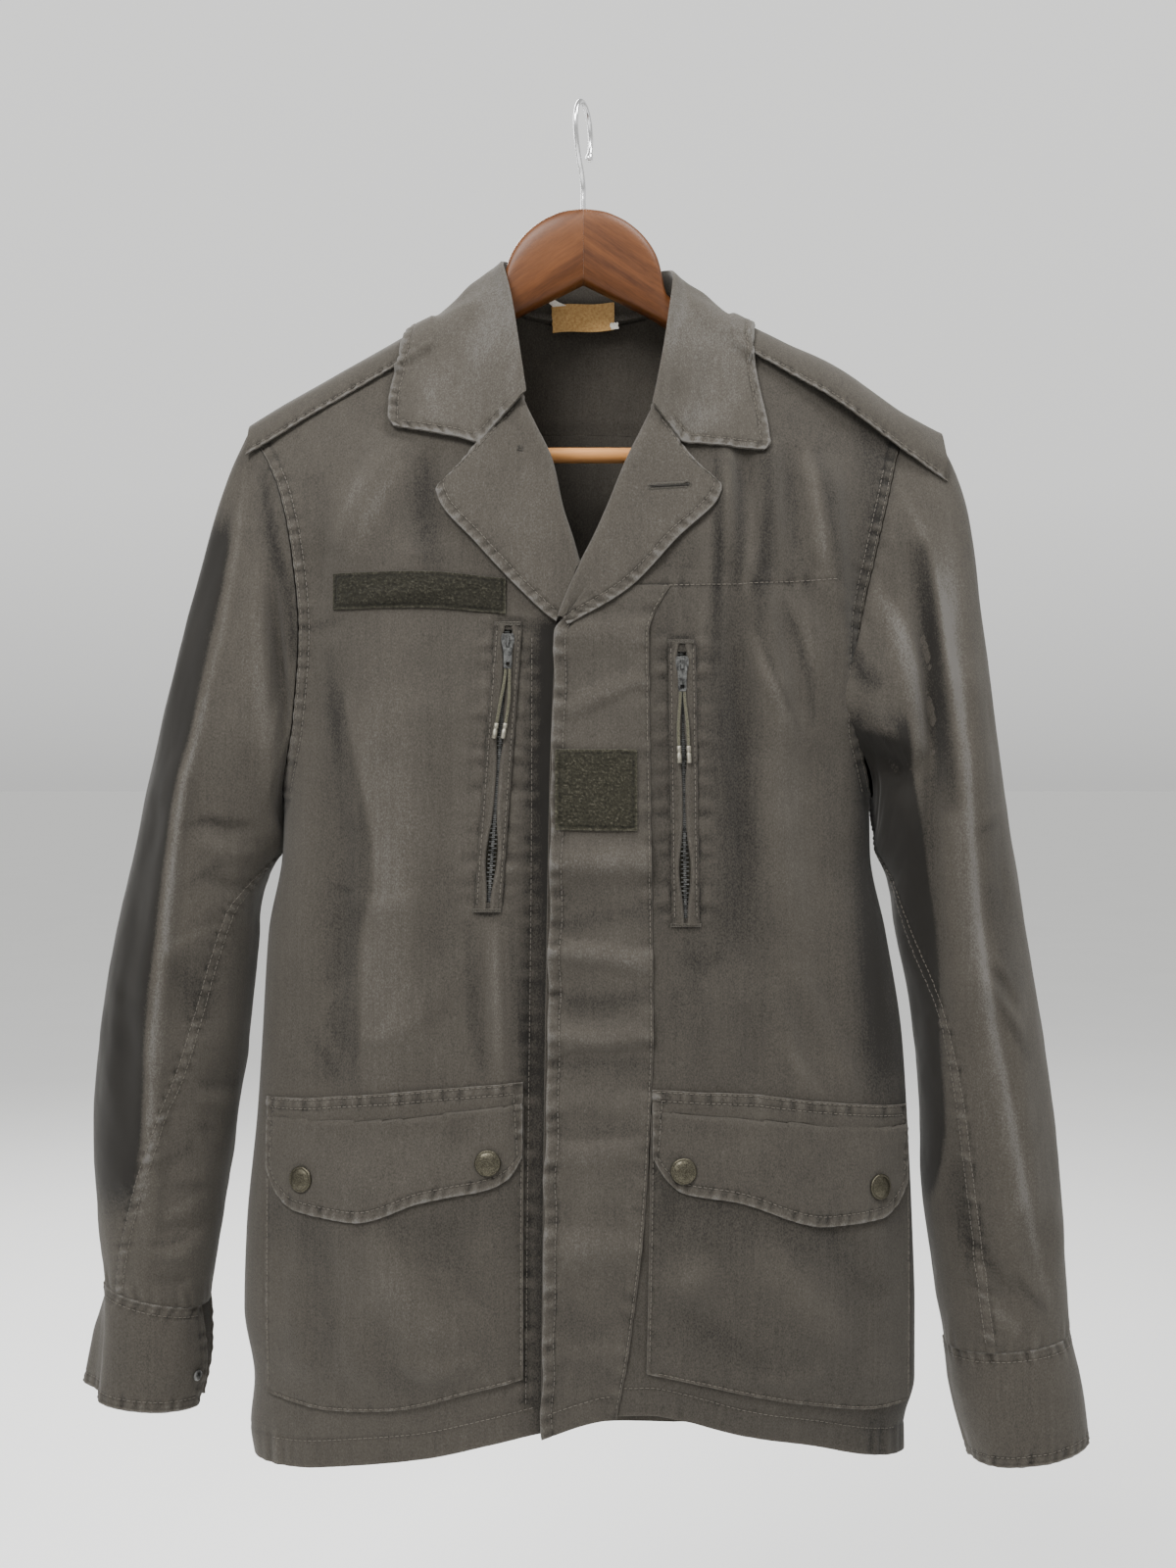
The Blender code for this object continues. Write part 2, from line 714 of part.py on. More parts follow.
def finish_of(name, colour, roughness, metallic=0.0):
    material = bpy.data.materials.new(name)
    material.use_nodes = True
    shader = material.node_tree.nodes["Principled BSDF"]
    shader.inputs["Base Color"].default_value = (*colour, 1)
    shader.inputs["Roughness"].default_value = roughness
    shader.inputs["Metallic"].default_value = metallic
    return material


# ---------------------------------------------------------------- body panels

HEM_WARP = 0.22
ACROSS = 11
RIDGE_PARTS = (0.91, 0.95, 0.978, 0.994, 1.0)
FRONT_PARTS = np.concatenate([np.linspace(0, 0.69, 13), np.linspace(0.69, 0.875, 7)[1:], RIDGE_PARTS])
inner_left = column(INNER_EDGE, "z", "left")
inner_right = column(INNER_EDGE, "z", "right")


def inner_edge_x(z, side):
    return inner_left(z) if side < 0 else inner_right(z)


def side_spacing(count):
    """Parts of a row from its inner edge to its side, closer together where the section turns."""
    return np.sin(np.linspace(0, math.pi / 2, count)) ** 0.85


def front_grid(table, side):
    """The outer face of one front, rows from the hem to the shoulder ridge."""
    parts = FRONT_PARTS
    inner_z = column(table, "part", "inner_z")(parts)[:, None]
    outer_z = column(table, "part", "outer_z")(parts)[:, None]
    inner_x = inner_edge_x(inner_z, side)
    outer_x = outer_edge_x(outer_z, side)
    share = side_spacing(ACROSS)[None, :]
    x = inner_x + (outer_x - inner_x) * share
    z = inner_z + (outer_z - inner_z) * share
    weight = np.clip(1 - parts / HEM_WARP, 0, 1)[:, None] ** 2
    z = z + (hem_front(x) - z[:1]) * weight
    return np.stack([x, front_y(x, z, side), z], axis=2)


def walled(name, outer, finish, away, wrap=False, thickness=WALL):
    """A cloth wall under its outer face."""
    normals = grid_normals(outer, np.asarray(away, float), wrap)
    return wall(name, outer - normals * thickness, outer, finish, wrap)


def panel(name, outer, finish, away):
    """A body panel. Where its edge meets the other half of the body, the wall runs straight inwards."""
    normals = grid_normals(outer, np.asarray(away, float))
    meeting = np.abs(outer[:, :, 1]) < SEAM
    normals[meeting, 1] = 0
    inner = outer - unit(normals) * WALL
    wall(name, inner, outer, finish)
    return inner


BACK_COLUMNS = 17
BACK_ROWS = 13


def yoke_z(x, side_z=YOKE_CENTRE):
    return side_z - YOKE_DROP * (np.abs(x) / 200) ** 2


def back_top_z(share, left_x, right_x):
    """The back's upper edge at parts of its width: ridge, neck seam, ridge."""
    x = left_x + (right_x - left_x) * share
    neck = Curve([row.x for row in NECK], [row.z for row in NECK])
    return np.where((x > NECK[0].x) & (x < NECK[-1].x), neck(x), ridge_z(x))


def back_columns():
    """Parts of the back's width, with columns at the two neck points."""
    near = 0.5 + 0.5 * np.sin(np.linspace(-math.pi / 2, math.pi / 2, BACK_COLUMNS))
    return np.unique(np.round(np.concatenate([near, NECK_SHARES]), 4))


TIP_LEFT, TIP_RIGHT = -214.5, 207.7
NECK_SHARES = [(row.x - TIP_LEFT) / (TIP_RIGHT - TIP_LEFT) for row in (NECK[0], NECK[-1])]


def yoke_grid():
    share = back_columns()[None, :]
    part = np.array([0, 0.25, 0.5, 0.72, 0.87, 0.96, 1.0])[:, None]
    top_z = back_top_z(share, TIP_LEFT, TIP_RIGHT)
    low_left = yoke_z(outer_edge_x(np.array(-248.0), -1))
    low_right = yoke_z(outer_edge_x(np.array(-248.0), 1))
    edge_left = low_left + (ridge_z(TIP_LEFT) - low_left) * part
    edge_right = low_right + (ridge_z(TIP_RIGHT) - low_right) * part
    left_x = outer_edge_x(edge_left, -1)
    right_x = outer_edge_x(edge_right, 1)
    x = left_x + (right_x - left_x) * share
    low_z = yoke_z(x[:1])
    z = low_z + (top_z - low_z) * part
    return np.stack([x, cloth_y(x, z, BACK), z], axis=2)


def back_grid():
    share = (0.5 + 0.5 * np.sin(np.linspace(-math.pi / 2, math.pi / 2, BACK_COLUMNS)))[None, :]
    part = np.linspace(0, 1, BACK_ROWS)[:, None]
    top = float(yoke_z(outer_edge_x(np.array(-248.0), -1))) - SEAM
    edge_z = BACK_HEM + (top - BACK_HEM) * part
    left_x = outer_edge_x(edge_z, -1)
    right_x = outer_edge_x(edge_z, 1)
    x = left_x + (right_x - left_x) * share
    rise = yoke_z(x) - SEAM - top
    z = edge_z + rise * np.clip((part - 0.55) / 0.45, 0, 1)
    return np.stack([x, cloth_y(x, z, BACK), z], axis=2)


# ---------------------------------------------------------------- sleeves and cuffs

SLEEVE_POWER = 0.86
SLEEVE_ROWS = np.array(
    [0, 0.03, 0.07, 0.12, 0.18, 0.25, 0.32, 0.4, 0.48, 0.56, 0.64, 0.72, 0.8, 0.88, 0.95, 1.0]
)
SLEEVE_JOIN = 0.34
SEAM_ANGLE = 0.6
ARMHOLE_GAP = 1.25


def tube_ring(table, part, angle):
    """Points of a flattened tube: `angle` in degrees from its outer edge towards the front."""
    turn = np.radians(angle)
    inward = (1 - np.cos(turn)) / 2
    outer_x, outer_z = column(table, "part", "outer_x")(part), column(table, "part", "outer_z")(part)
    inner_x, inner_z = column(table, "part", "inner_x")(part), column(table, "part", "inner_z")(part)
    front, back = column(table, "part", "front")(part), column(table, "part", "back")(part)
    swell = np.sign(np.sin(turn)) * np.abs(np.sin(turn)) ** SLEEVE_POWER
    x = outer_x + (inner_x - outer_x) * inward
    y = -np.where(swell > 0, front, back) * swell
    z = outer_z + (inner_z - outer_z) * inward
    return np.stack([x, y, z], axis=-1)


def armhole_ring(side, angle):
    """The body's armhole seam, a seam gap outside the panels."""
    inward = (1 - np.cos(np.radians(angle))) / 2
    tip = ridge_z(TIP_LEFT if side < 0 else TIP_RIGHT)
    z = tip + (UNDERARM - tip) * inward
    x = outer_edge_x(z, side)
    on_front = np.sin(np.radians(angle)) >= 0
    y = np.where(on_front, cloth_y(x, z, FRONT), cloth_y(x, z, BACK))
    return np.stack([x + side * ARMHOLE_GAP, y, z], axis=-1)


def sleeve_grid(table, folds, side, part, angle):
    """The outer face of a stretch of sleeve, `part` down its length and `angle` round it."""
    ring = tube_ring(table, part, angle)
    start = tube_ring(table, 0 * part, angle)
    blend = np.clip(1 - part / SLEEVE_JOIN, 0, 1)
    blend = (blend * blend * (3 - 2 * blend))[..., None]
    grid = ring + (armhole_ring(side, angle) - start) * blend
    face = np.sin(np.radians(angle))
    share = np.where(face > 0, 1.0, -0.5) * np.abs(face) ** 0.7
    crease = fold_height(grid[..., 0], grid[..., 2], folds) * share * (1 - blend[..., 0])
    grid[..., 1] -= crease
    return grid


def between(low, high, count):
    share = np.linspace(0, 1, count)[None, :]
    return low[:, None] + (high - low)[:, None] * share


def build_sleeve(name, table, folds, seams, side, finish):
    """Two pieces, parted along the sleeve's two long seams."""
    part = SLEEVE_ROWS
    near, far = column(seams, "part", "near")(part), column(seams, "part", "far")(part)
    spans = {
        "top": (far - 360 + SEAM_ANGLE, near - SEAM_ANGLE, 14),
        "under": (near + SEAM_ANGLE, far - SEAM_ANGLE, 7),
    }
    for piece, (low, high, count) in spans.items():
        angle = between(low, high, count)
        rows = part[:, None] + 0 * angle
        grid = sleeve_grid(table, folds, side, rows, angle)
        centre = grid_centre(table, rows)
        walled(f"{name}_{piece}", grid, finish, grid - centre)


def grid_centre(table, part):
    opposite = (tube_ring(table, part, 0 * part) + tube_ring(table, part, 0 * part + 180)) / 2
    opposite[..., 1] = 0
    return opposite


CUFF_ROWS = np.array([0.0, 0.06, 0.3, 0.65, 1.0])
CUFF_GAP = 0.5
CUFF_VENT = 15.0
LOBE_ANGLE, LOBE_SPREAD = -34.0, 30.0
NOTCH_ANGLE, NOTCH_SPREAD, NOTCH_SHARE = 12.0, 16.0, 0.3


def build_cuff(name, table, sleeve, folds, side, opening, finish):
    """A band that goes on from the sleeve's end. An opening leaves its two ends apart."""
    if opening:
        angle = np.linspace(opening - 180, 180 - opening, 22)[None, :] + 0 * CUFF_ROWS[:, None]
    else:
        angle = np.linspace(-180, 180, 23)[None, :-1] + 0 * CUFF_ROWS[:, None]
    part = CUFF_ROWS[:, None] + 0 * angle
    ring = tube_ring(table, part, angle)
    end = sleeve_grid(sleeve, folds, side, 0 * part + 1, angle)
    before = sleeve_grid(sleeve, folds, side, 0 * part + 0.97, angle)
    end = end + unit(end - before) * CUFF_GAP
    blend = np.clip(1 - part / 0.3, 0, 1)[..., None]
    grid = ring + (end - tube_ring(table, 0 * part, angle)) * blend
    lobe = column(table, "part", "lobe")(part)
    hind = np.exp(-(((angle - LOBE_ANGLE) / LOBE_SPREAD) ** 2))
    notch = np.exp(-(((angle - NOTCH_ANGLE) / NOTCH_SPREAD) ** 2))
    grid[..., 0] += side * lobe * (hind - NOTCH_SHARE * notch)
    walled(name, grid, finish, grid - grid_centre(table, part), wrap=not opening, thickness=DOUBLE_WALL)
    return grid


# ---------------------------------------------------------------- collar and lapels


def body_face_y(x, z, on_front):
    return front_y(x, z, 1 if x > 0 else -1) if on_front else cloth_y(x, z, BACK)


COLLAR_STATIONS = np.concatenate([[0, 0.015], np.linspace(0.05, 0.95, 19), [0.985, 1]])
ROLL_RADIUS = 2.6
NECK_INSET, NECK_LIFT, NECK_SET = 2.1, 0.5, 0.6
# Shares of the collar's length at which it passes over the shoulders.
LEFT_SHOULDER, RIGHT_SHOULDER = 0.3, 0.7
STAND_SHARES = (0, 0.3, 0.6, 0.82)
FALL_SHARES = (0.25, 0.5, 0.75, 1)


def collar_profile(part):
    """One station of the collar: up its stand, over the roll and down its fall."""
    row = {key: float(column(COLLAR, "part", key)(part)) for key in Collar._fields[1:]}
    on_front = part < LEFT_SHOULDER or part > RIGHT_SHOULDER
    neck_x, neck_z = row["neck_x"], row["neck_z"]
    if on_front:
        side = -1 if part < 0.5 else 1
        neck_x = float(inner_edge_x(neck_z, side)) - side * NECK_INSET
    else:
        neck_z += NECK_LIFT
    neck = np.array([neck_x, body_face_y(neck_x, neck_z, on_front), neck_z])
    neck[1] += NECK_SET if on_front else -NECK_SET
    roll = np.array([row["roll_x"], row["roll_y"], row["roll_z"]])
    mid = np.array([row["mid_x"], 0.0, row["mid_z"]])
    edge = np.array([row["edge_x"], 0.0, row["edge_z"]])
    sign = -1 if on_front else 1
    for point in (mid, edge):
        point[1] = body_face_y(point[0], point[2], on_front) + sign * COLLAR_STAND_OFF
    fall = unit(mid - roll)
    stand = unit(neck - roll)
    points = [neck + (roll - neck) * share for share in STAND_SHARES]
    points[-1] = points[-1] - fall * ROLL_RADIUS * 0.35
    points += [roll + stand * 1.2 - fall * 0.6, roll - (stand + fall) * 0.1, roll + fall * ROLL_RADIUS]
    falls = [roll + (mid - roll) * share for share in FALL_SHARES]
    falls += [mid + (edge - mid) * share for share in FALL_SHARES]
    for point in falls:
        clear = body_face_y(point[0], point[2], on_front) + sign * COLLAR_STAND_OFF
        point[1] = min(point[1], clear) if on_front else max(point[1], clear)
    return points + falls


def collar_grid():
    grid = np.array([collar_profile(part) for part in COLLAR_STATIONS])
    smooth = grid.copy()
    smooth[2:-2] = (grid[1:-3] + 2 * grid[2:-2] + grid[3:-1]) / 4
    return smooth


# The lapel's turn over the front's edge: (reach past the edge, depth from the front's outer face).
LAPEL_TURN = ((1.3, 0.6), (2.2, 0.1), (ROLL_SET, -1.8), (1.9, -4.0))
# Then its flat part: shares of the way from the roll to the middle and on to the free edge, with the height there.
LAPEL_TO_MIDDLE = ((0.35, 4.6), (0.7, 3.8), (1, 3.2))
LAPEL_TO_EDGE = ((0.5, 2.6), (1, 2.0))


def lapel_grid(table, side):
    """Rows across a lapel: from the front's edge round the roll and out to the free edge."""
    parts = np.array([0, 0.03, 0.07, 0.13, 0.22, 0.33, 0.45, 0.58, 0.7, 0.82, 0.92, 1.0])
    rows = []
    for part in parts:
        row = {key: float(column(table, "part", key)(part)) for key in Lapel._fields[1:]}
        seam_x = float(inner_edge_x(row["roll_z"], side))
        panel_y = float(front_y(seam_x, row["roll_z"], side))
        inward = -side
        z = row["roll_z"]
        turn = [(seam_x + inward * reach, panel_y + depth, z) for reach, depth in LAPEL_TURN]
        start = np.array([seam_x, z])
        mid = np.array([row["mid_x"], row["mid_z"]])
        edge = np.array([row["edge_x"], row["edge_z"]])
        flat = [(start + (mid - start) * share, lift) for share, lift in LAPEL_TO_MIDDLE]
        flat += [(mid + (edge - mid) * share, lift) for share, lift in LAPEL_TO_EDGE]
        for (x, height), lift in flat:
            turn.append((x, float(front_y(x, height, side)) - lift, height))
        rows.append(turn)
    return np.array(rows)


def walled_both_ways(name, middle, finish, away, thickness):
    """A wall with a grid as its middle surface."""
    normals = grid_normals(middle, np.asarray(away, float)) * thickness / 2
    wall(name, middle - normals, middle + normals, finish)
    return middle - normals, middle + normals


# ---------------------------------------------------------------- pieces that lie on the panels


def patch_grid(patch, columns, rows):
    """An upright piece's points in its own outline, on the front's outer face."""
    share = np.linspace(0, 1, columns)
    if len(patch.outline) > 3:
        share = np.unique(np.concatenate([share, [row.across for row in patch.outline]]))
    x = patch.left + (patch.right - patch.left) * share
    top = column(patch.outline, "across", "top")(share)
    bottom = column(patch.outline, "across", "bottom")(share)
    down = np.linspace(0, 1, rows)[:, None]
    z = top[None, :] + (bottom - top)[None, :] * down
    x = x[None, :] + patch.lean * down * (1 - share)[None, :]
    return np.stack([x, cloth_y(x, z, FRONT), z], axis=2)


def laid_piece(name, grid, bases, finish, thickness=WALL, gap=LAID, start=-400.0):
    """A piece that lies on others: its inner face clears them, its outer face is a wall's thickness out."""
    inner = lay_on(grid, bases, gap, start)
    normals = grid_normals(inner, np.array([0.0, -1.0, 0.0]))
    outer = inner + normals * thickness
    wall(name, inner, outer, finish)
    return facets(outer)


def band_grid():
    z = np.linspace(FLY_BAND[0].z, FLY_BAND[-1].z, 19)[:, None]
    left = column(FLY_BAND, "z", "left")(z)
    right = column(FLY_BAND, "z", "right")(z)
    x = left + (right - left) * np.array([0, 0.25, 0.6, 1.0])[None, :]
    z = z + (hem_front(x) - 2.5 - FLY_BAND[-1].z) * np.clip((-700 - z) / 129, 0, 1)
    return np.stack([x, front_y(x, z, 1), z], axis=2)


# Beyond the shoulder's tip a strap follows the sleeve's head down at this slope.
TIP_SLOPE = 0.62


def strap_grid(table, side):
    """A strap over the shoulder ridge, from its front edge by the ridge to its back edge."""
    parts = np.linspace(0, 1, 11)
    rows = []
    for part in parts:
        row = {key: float(column(table, "part", key)(part)) for key in Strap._fields[1:]}
        x = row["x"]
        ridge = float(ridge_z(np.clip(x, TIP_LEFT, TIP_RIGHT)))
        if abs(x) > abs(TIP_RIGHT if side > 0 else TIP_LEFT):
            ridge -= (abs(x) - abs(TIP_RIGHT if side > 0 else TIP_LEFT)) * TIP_SLOPE
        across = []
        for reach in (-1, -0.7, -0.35, 0, 0.35, 0.7, 1):
            fall = (row["front"] if reach < 0 else row["back"]) * abs(reach) ** 1.7
            z = ridge - fall
            y = float(cloth_y(x, z - 0.01, FRONT if reach < 0 else BACK)) if reach else 0.0
            tilt = unit(np.array([0, y, 7.0 * (1 - abs(reach)) + 1.5]))
            across.append(np.array([x, y, z]) + tilt * (row["rise"] + WALL / 2 + LAID))
        rows.append(across)
    return np.array(rows)


# ---------------------------------------------------------------- round and flat hardware


def turned(name, centre, profile, finish, sides=16, tilt=None):
    """A solid turned about -Y through `centre`: profile rows are (radius, height), from the back out."""
    angles = np.linspace(0, 2 * math.pi, sides, endpoint=False)
    rings = [[(r * math.cos(a), -h, r * math.sin(a)) for a in angles] for r, h in profile]
    points = np.array(rings).reshape(-1, 3)
    if tilt is not None:
        points = points @ tilt.T
    points = (points + np.asarray(centre)) * MM
    faces = [list(range(sides)), list(range(len(points) - sides, len(points)))]
    for k in range(len(profile) - 1):
        for i in range(sides):
            j = (i + 1) % sides
            faces.append([k * sides + i, k * sides + j, (k + 1) * sides + j, (k + 1) * sides + i])
    return solid(name, points, faces, finish)


def facing(x, z):
    """A rotation that turns -Y to the front's outward normal at (x, z)."""
    step = 2.0
    slope_x = float(cloth_y(x + step, z, FRONT) - cloth_y(x - step, z, FRONT)) / (2 * step)
    slope_z = float(cloth_y(x, z + step, FRONT) - cloth_y(x, z - step, FRONT)) / (2 * step)
    out = unit(np.array([slope_x, -1.0, slope_z]))
    right = unit(np.cross([0, 0, 1.0], -out))
    up = np.cross(-out, right)
    return np.stack([right, -out, up], axis=1)


SNAP_RADIUS = 8.0
SNAP_PROFILE = ((6.6, 0), (SNAP_RADIUS, 0.5), (SNAP_RADIUS, 1.4), (7.4, 2.2), (5.6, 2.9), (3.0, 3.2))


def build_snap(snap, base, finish):
    """A domed cap, seated on the flap under it."""
    tilt = facing(snap.x, snap.z)
    turns = np.linspace(0, 2 * math.pi, 24)
    rim = [(SNAP_RADIUS * math.cos(turn), SNAP_RADIUS * math.sin(turn)) for turn in turns] + [(0, 0)]
    seat = 400.0
    out = -tilt[:, 1]
    for dx, dz in rim:
        point = tilt @ np.array([dx, 0, dz]) + np.array([snap.x, 0, snap.z])
        hit = base.ray_cast(Vector((point[0], -400.0, point[2])), Vector((0, 1, 0)))[0]
        if hit is not None:
            seat = min(seat, hit.y - point[1])
    centre = np.array([snap.x, seat, snap.z]) + out * LAID
    turned(snap.name, centre, SNAP_PROFILE, finish, tilt=tilt)


STUD_PROFILE = ((2.6, 0), (3.5, 0.4), (3.5, 1.0), (2.4, 1.9), (0.8, 2.2))
STUD_ROW, STUD_COLUMN = 3, -2


def build_stud(band, finish):
    """A small stud on the left cuff, beside its opening."""
    normals = grid_normals(band, np.array([0.0, -1.0, 0.0]))
    seat = band[STUD_ROW, STUD_COLUMN]
    out = normals[STUD_ROW, STUD_COLUMN] * np.sign(-normals[STUD_ROW, STUD_COLUMN, 1])
    right = unit(np.cross([0, 0, 1.0], -out))
    tilt = np.stack([right, -out, np.cross(-out, right)], axis=1)
    turned("cuff_stud", seat + out * (LAID + 0.5), STUD_PROFILE, finish, sides=12, tilt=tilt)


def slot_line(slot, share):
    x = slot.top_x + (slot.bottom_x - slot.top_x) * share
    z = slot.top_z + (slot.bottom_z - slot.top_z) * share
    return x, z


# Shares of the slot's length: where it narrows under the slider, over what length, and where it gapes.
NARROWS_AT, NARROWS_OVER = 0.16, 0.05
GAPES_AT, GAPES_OVER = 0.84, 0.09


def slot_half_width(share):
    """Wide round the slider at the top, gaping again low down, narrow at both ends."""
    wide = SLOT_AT_SLIDER * (1 - np.clip((share - NARROWS_AT) / NARROWS_OVER, 0, 1))
    gape = SLOT_GAPE * np.exp(-(((share - GAPES_AT) / GAPES_OVER) ** 2))
    return (SLOT_WIDTH + wide + gape) / 2


# The cutter runs from before the chest to inside the jacket.
CUTTER_DEPTHS = (-130.0, -8.0)


def cut_slot(front, slot):
    """Cuts the zip's slot through a front."""
    narrowed = NARROWS_AT + NARROWS_OVER
    top = [0, 0.05, 0.1, NARROWS_AT, (NARROWS_AT + narrowed) / 2, narrowed]
    share = np.array(top + [0.45, 0.68, 0.76, GAPES_AT, 0.92, 1.0])
    x, z = slot_line(slot, share)
    half = slot_half_width(share)
    left = np.stack([x - half, z], axis=1)
    right = np.stack([x + half, z], axis=1)[::-1]
    outline = np.concatenate([left, right])
    points = [(x, y, z) for y in CUTTER_DEPTHS for x, z in outline]
    count = len(outline)
    strips = len(share) - 1
    faces = []
    for k in range(strips):
        a, b = k, k + 1
        c, d = count - 2 - k, count - 1 - k
        faces.append([a, b, c, d])
        faces.append([a + count, d + count, c + count, b + count])
    for k in range(count):
        j = (k + 1) % count
        faces.append([k, k + count, j + count, j])
    cutter = solid(front.name + "_slot", np.array(points) * MM, faces, front.data.materials[0])
    cutter.hide_render = True
    cutter.display_type = "WIRE"
    cutter.hide_viewport = False
    cut = front.modifiers.new("zip slot", "BOOLEAN")
    cut.operation = "DIFFERENCE"
    cut.solver = "EXACT"
    cut.object = cutter


def build_zip(name, slot, side, finish):
    """The tape with the chain standing along its middle, behind the slot."""
    share = np.linspace(-0.02, 1.02, 11)
    half = np.array([CHAIN_HALF_WIDTH, CHAIN_HALF_WIDTH + CHAIN_EDGE, TAPE_HALF_WIDTH])
    across = np.concatenate([-half[::-1], half])
    rise = np.array([0, 0, CHAIN_HEIGHT, CHAIN_HEIGHT, 0, 0])
    x, z = slot_line(slot, share)
    x = x[:, None] + across[None, :]
    z = z[:, None] + 0 * x
    tape_y = front_y(x, z, side) + WALL + CHAIN_BEHIND + CHAIN_HEIGHT
    outer = np.stack([x, tape_y - rise[None, :], z], axis=2)
    inner = np.stack([x, tape_y + TAPE_THICKNESS, z], axis=2)
    wall(name, inner, outer, finish)


def plate(name, x_edges, z_edges, y_near, thickness, finish, kept=None, widths=None):
    """A flat plate of cells facing -Y. `widths` scales each row, and cells outside `kept` are holes."""
    scale = np.ones(len(z_edges)) if widths is None else np.asarray(widths)
    x = np.asarray(x_edges, float)[None, :] * scale[:, None]
    z = np.asarray(z_edges, float)[:, None] + 0 * x
    outer = np.stack([x, 0 * x - thickness / 2, z], axis=2)
    inner = outer + np.array([0, thickness, 0])
    item = wall(name, inner + [0, y_near, 0], outer + [0, y_near, 0], finish, kept=kept)
    return item


def joined(item, other):
    """Joins a second shape to an object by a union, and keeps the second as a hidden guide."""
    other.hide_render = True
    other.display_type = "WIRE"
    join = item.modifiers.new("join", "BOOLEAN")
    join.operation = "UNION"
    join.solver = "EXACT"
    join.object = other


def build_slider(side_name, side, metal, cord_finish):
    """Slider with its bail, the pull tab hinged on the bail, and the tab's two cord ends."""
    slot, pull = SLOTS[side_name], PULLS[side_name]
    share = (pull.slider_z - slot.top_z) / (slot.bottom_z - slot.top_z)
    x, z = slot_line(slot, share)
    chain_y = float(front_y(x, z, side)) + WALL + CHAIN_BEHIND
    below = float(front_y(x, z - SLIDER_LENGTH, side)) + WALL + CHAIN_BEHIND
    back_y = min(chain_y, below) - SEAM
    middle_y = back_y - SLIDER_THICKNESS / 2
    body = plate(
        f"slider_{side_name}",
        (-4.0, -2.4, 2.4, 4.0),
        (0, -1.5, -5, -9, -SLIDER_LENGTH),
        0,
        SLIDER_THICKNESS,
        metal,
        widths=(0.8, 1, 1, 0.78, 0.66),
    )
    bail_top = SLIDER_THICKNESS / 2 + BAIL_HEIGHT
    middle_z = -4.6
    profile = [
        (-SLIDER_THICKNESS / 2 + 0.6, -BAIL_REACH),
        (-bail_top + 0.7, -BAIL_REACH),
        (-bail_top, -BAIL_REACH + 0.7),
        (-bail_top, BAIL_REACH - 0.7),
        (-bail_top + 0.7, BAIL_REACH),
        (-SLIDER_THICKNESS / 2 + 0.6, BAIL_REACH),
        (-SLIDER_THICKNESS / 2 + 0.6, BAIL_REACH - BAIL_THICKNESS),
        (-bail_top + BAIL_THICKNESS + 0.2, BAIL_REACH - BAIL_THICKNESS),
        (-bail_top + BAIL_THICKNESS, BAIL_REACH - BAIL_THICKNESS - 0.3),
        (-bail_top + BAIL_THICKNESS, -BAIL_REACH + BAIL_THICKNESS + 0.3),
        (-bail_top + BAIL_THICKNESS + 0.2, -BAIL_REACH + BAIL_THICKNESS),
        (-SLIDER_THICKNESS / 2 + 0.6, -BAIL_REACH + BAIL_THICKNESS),
    ]
    count = len(profile)
    points = [(s * BAIL_WIDTH / 2, py, pz + middle_z) for s in (-1, 1) for py, pz in profile]
    faces = [[k, (k + 1) % count, (k + 1) % count + count, k + count] for k in range(count)]
    for k in range(count // 2 - 1):
        a, b, c, d = k, k + 1, count - 2 - k, count - 1 - k
        faces.append([a, b, c, d])
        faces.append([a + count, b + count, c + count, d + count])
    bail = solid(f"bail_{side_name}", np.array(points) * MM, faces, metal)
    joined(body, bail)
    place = np.array([x, middle_y, z]) * MM
    body.location = place
    bail.location = place
    axis_y = middle_y - bail_top + BAIL_THICKNESS + TAB_THICKNESS / 2 + 0.3
    axis_z = z + middle_z
    cells = np.ones((6, 4), bool)
    cells[1, 1:3] = False
    cells[4, 1:3] = False
    tab = plate(
        f"pull_tab_{side_name}",
        (-2.9, -1.3, 0, 1.3, 2.9),
        (0.5, -0.5, -4.3, -11.5, -13.0, -15.3, -TAB_LENGTH),
        0,
        TAB_THICKNESS,
        metal,
        kept=cells,
        widths=(0.9, 1, 1, 0.86, 0.9, 0.9, 0.7),
    )
    tab.location = np.array([x, axis_y, axis_z]) * MM
    start_z = axis_z - TAB_LENGTH - SEAM
    for end, spread in (("a", -1), ("b", 1)):
        route = []
        for part in np.linspace(0, 1, 12):
            height = start_z - pull.cord_length * part
            opened = 0.5 - 0.5 * math.cos(math.pi * min(part * 1.3, 1))
            swing = pull.spread / 2 * spread * opened
            base_x, _ = slot_line(slot, (height - slot.top_z) / (slot.bottom_z - slot.top_z))
            drift = base_x + (x - base_x) * (1 - part)
            cord_y = cord_depth(drift, height, side, axis_y, part)
            route.append((drift + swing + spread * CORD_SPACING / 2, cord_y, height))
        cord = cord_tube(f"cord_{side_name}_{end}", route, CORD_DIAMETER, cord_finish)
        crimp_top = np.array(route[-1])
        crimp_end = crimp_top + unit(crimp_top - np.array(route[-2])) * (pull.crimp_length + SEAM)
        start = crimp_top + unit(crimp_top - np.array(route[-2])) * SEAM
        crimp = rod(f"cord_end_{side_name}_{end}", start, crimp_end, CRIMP_DIAMETER, metal, 8)
        for item in (cord, crimp):
            item.parent = tab
            item.matrix_parent_inverse = Matrix.Translation(-tab.location)


CORD_CLEARANCE = 1.6


def cord_depth(x, z, side, axis_y, part):
    """The cord hangs from the tab and comes to lie on the cloth."""
    cloth = float(front_y(x, z, side)) - CORD_DIAMETER / 2 - CORD_CLEARANCE
    return min(axis_y * (1 - part) + cloth * part, cloth)


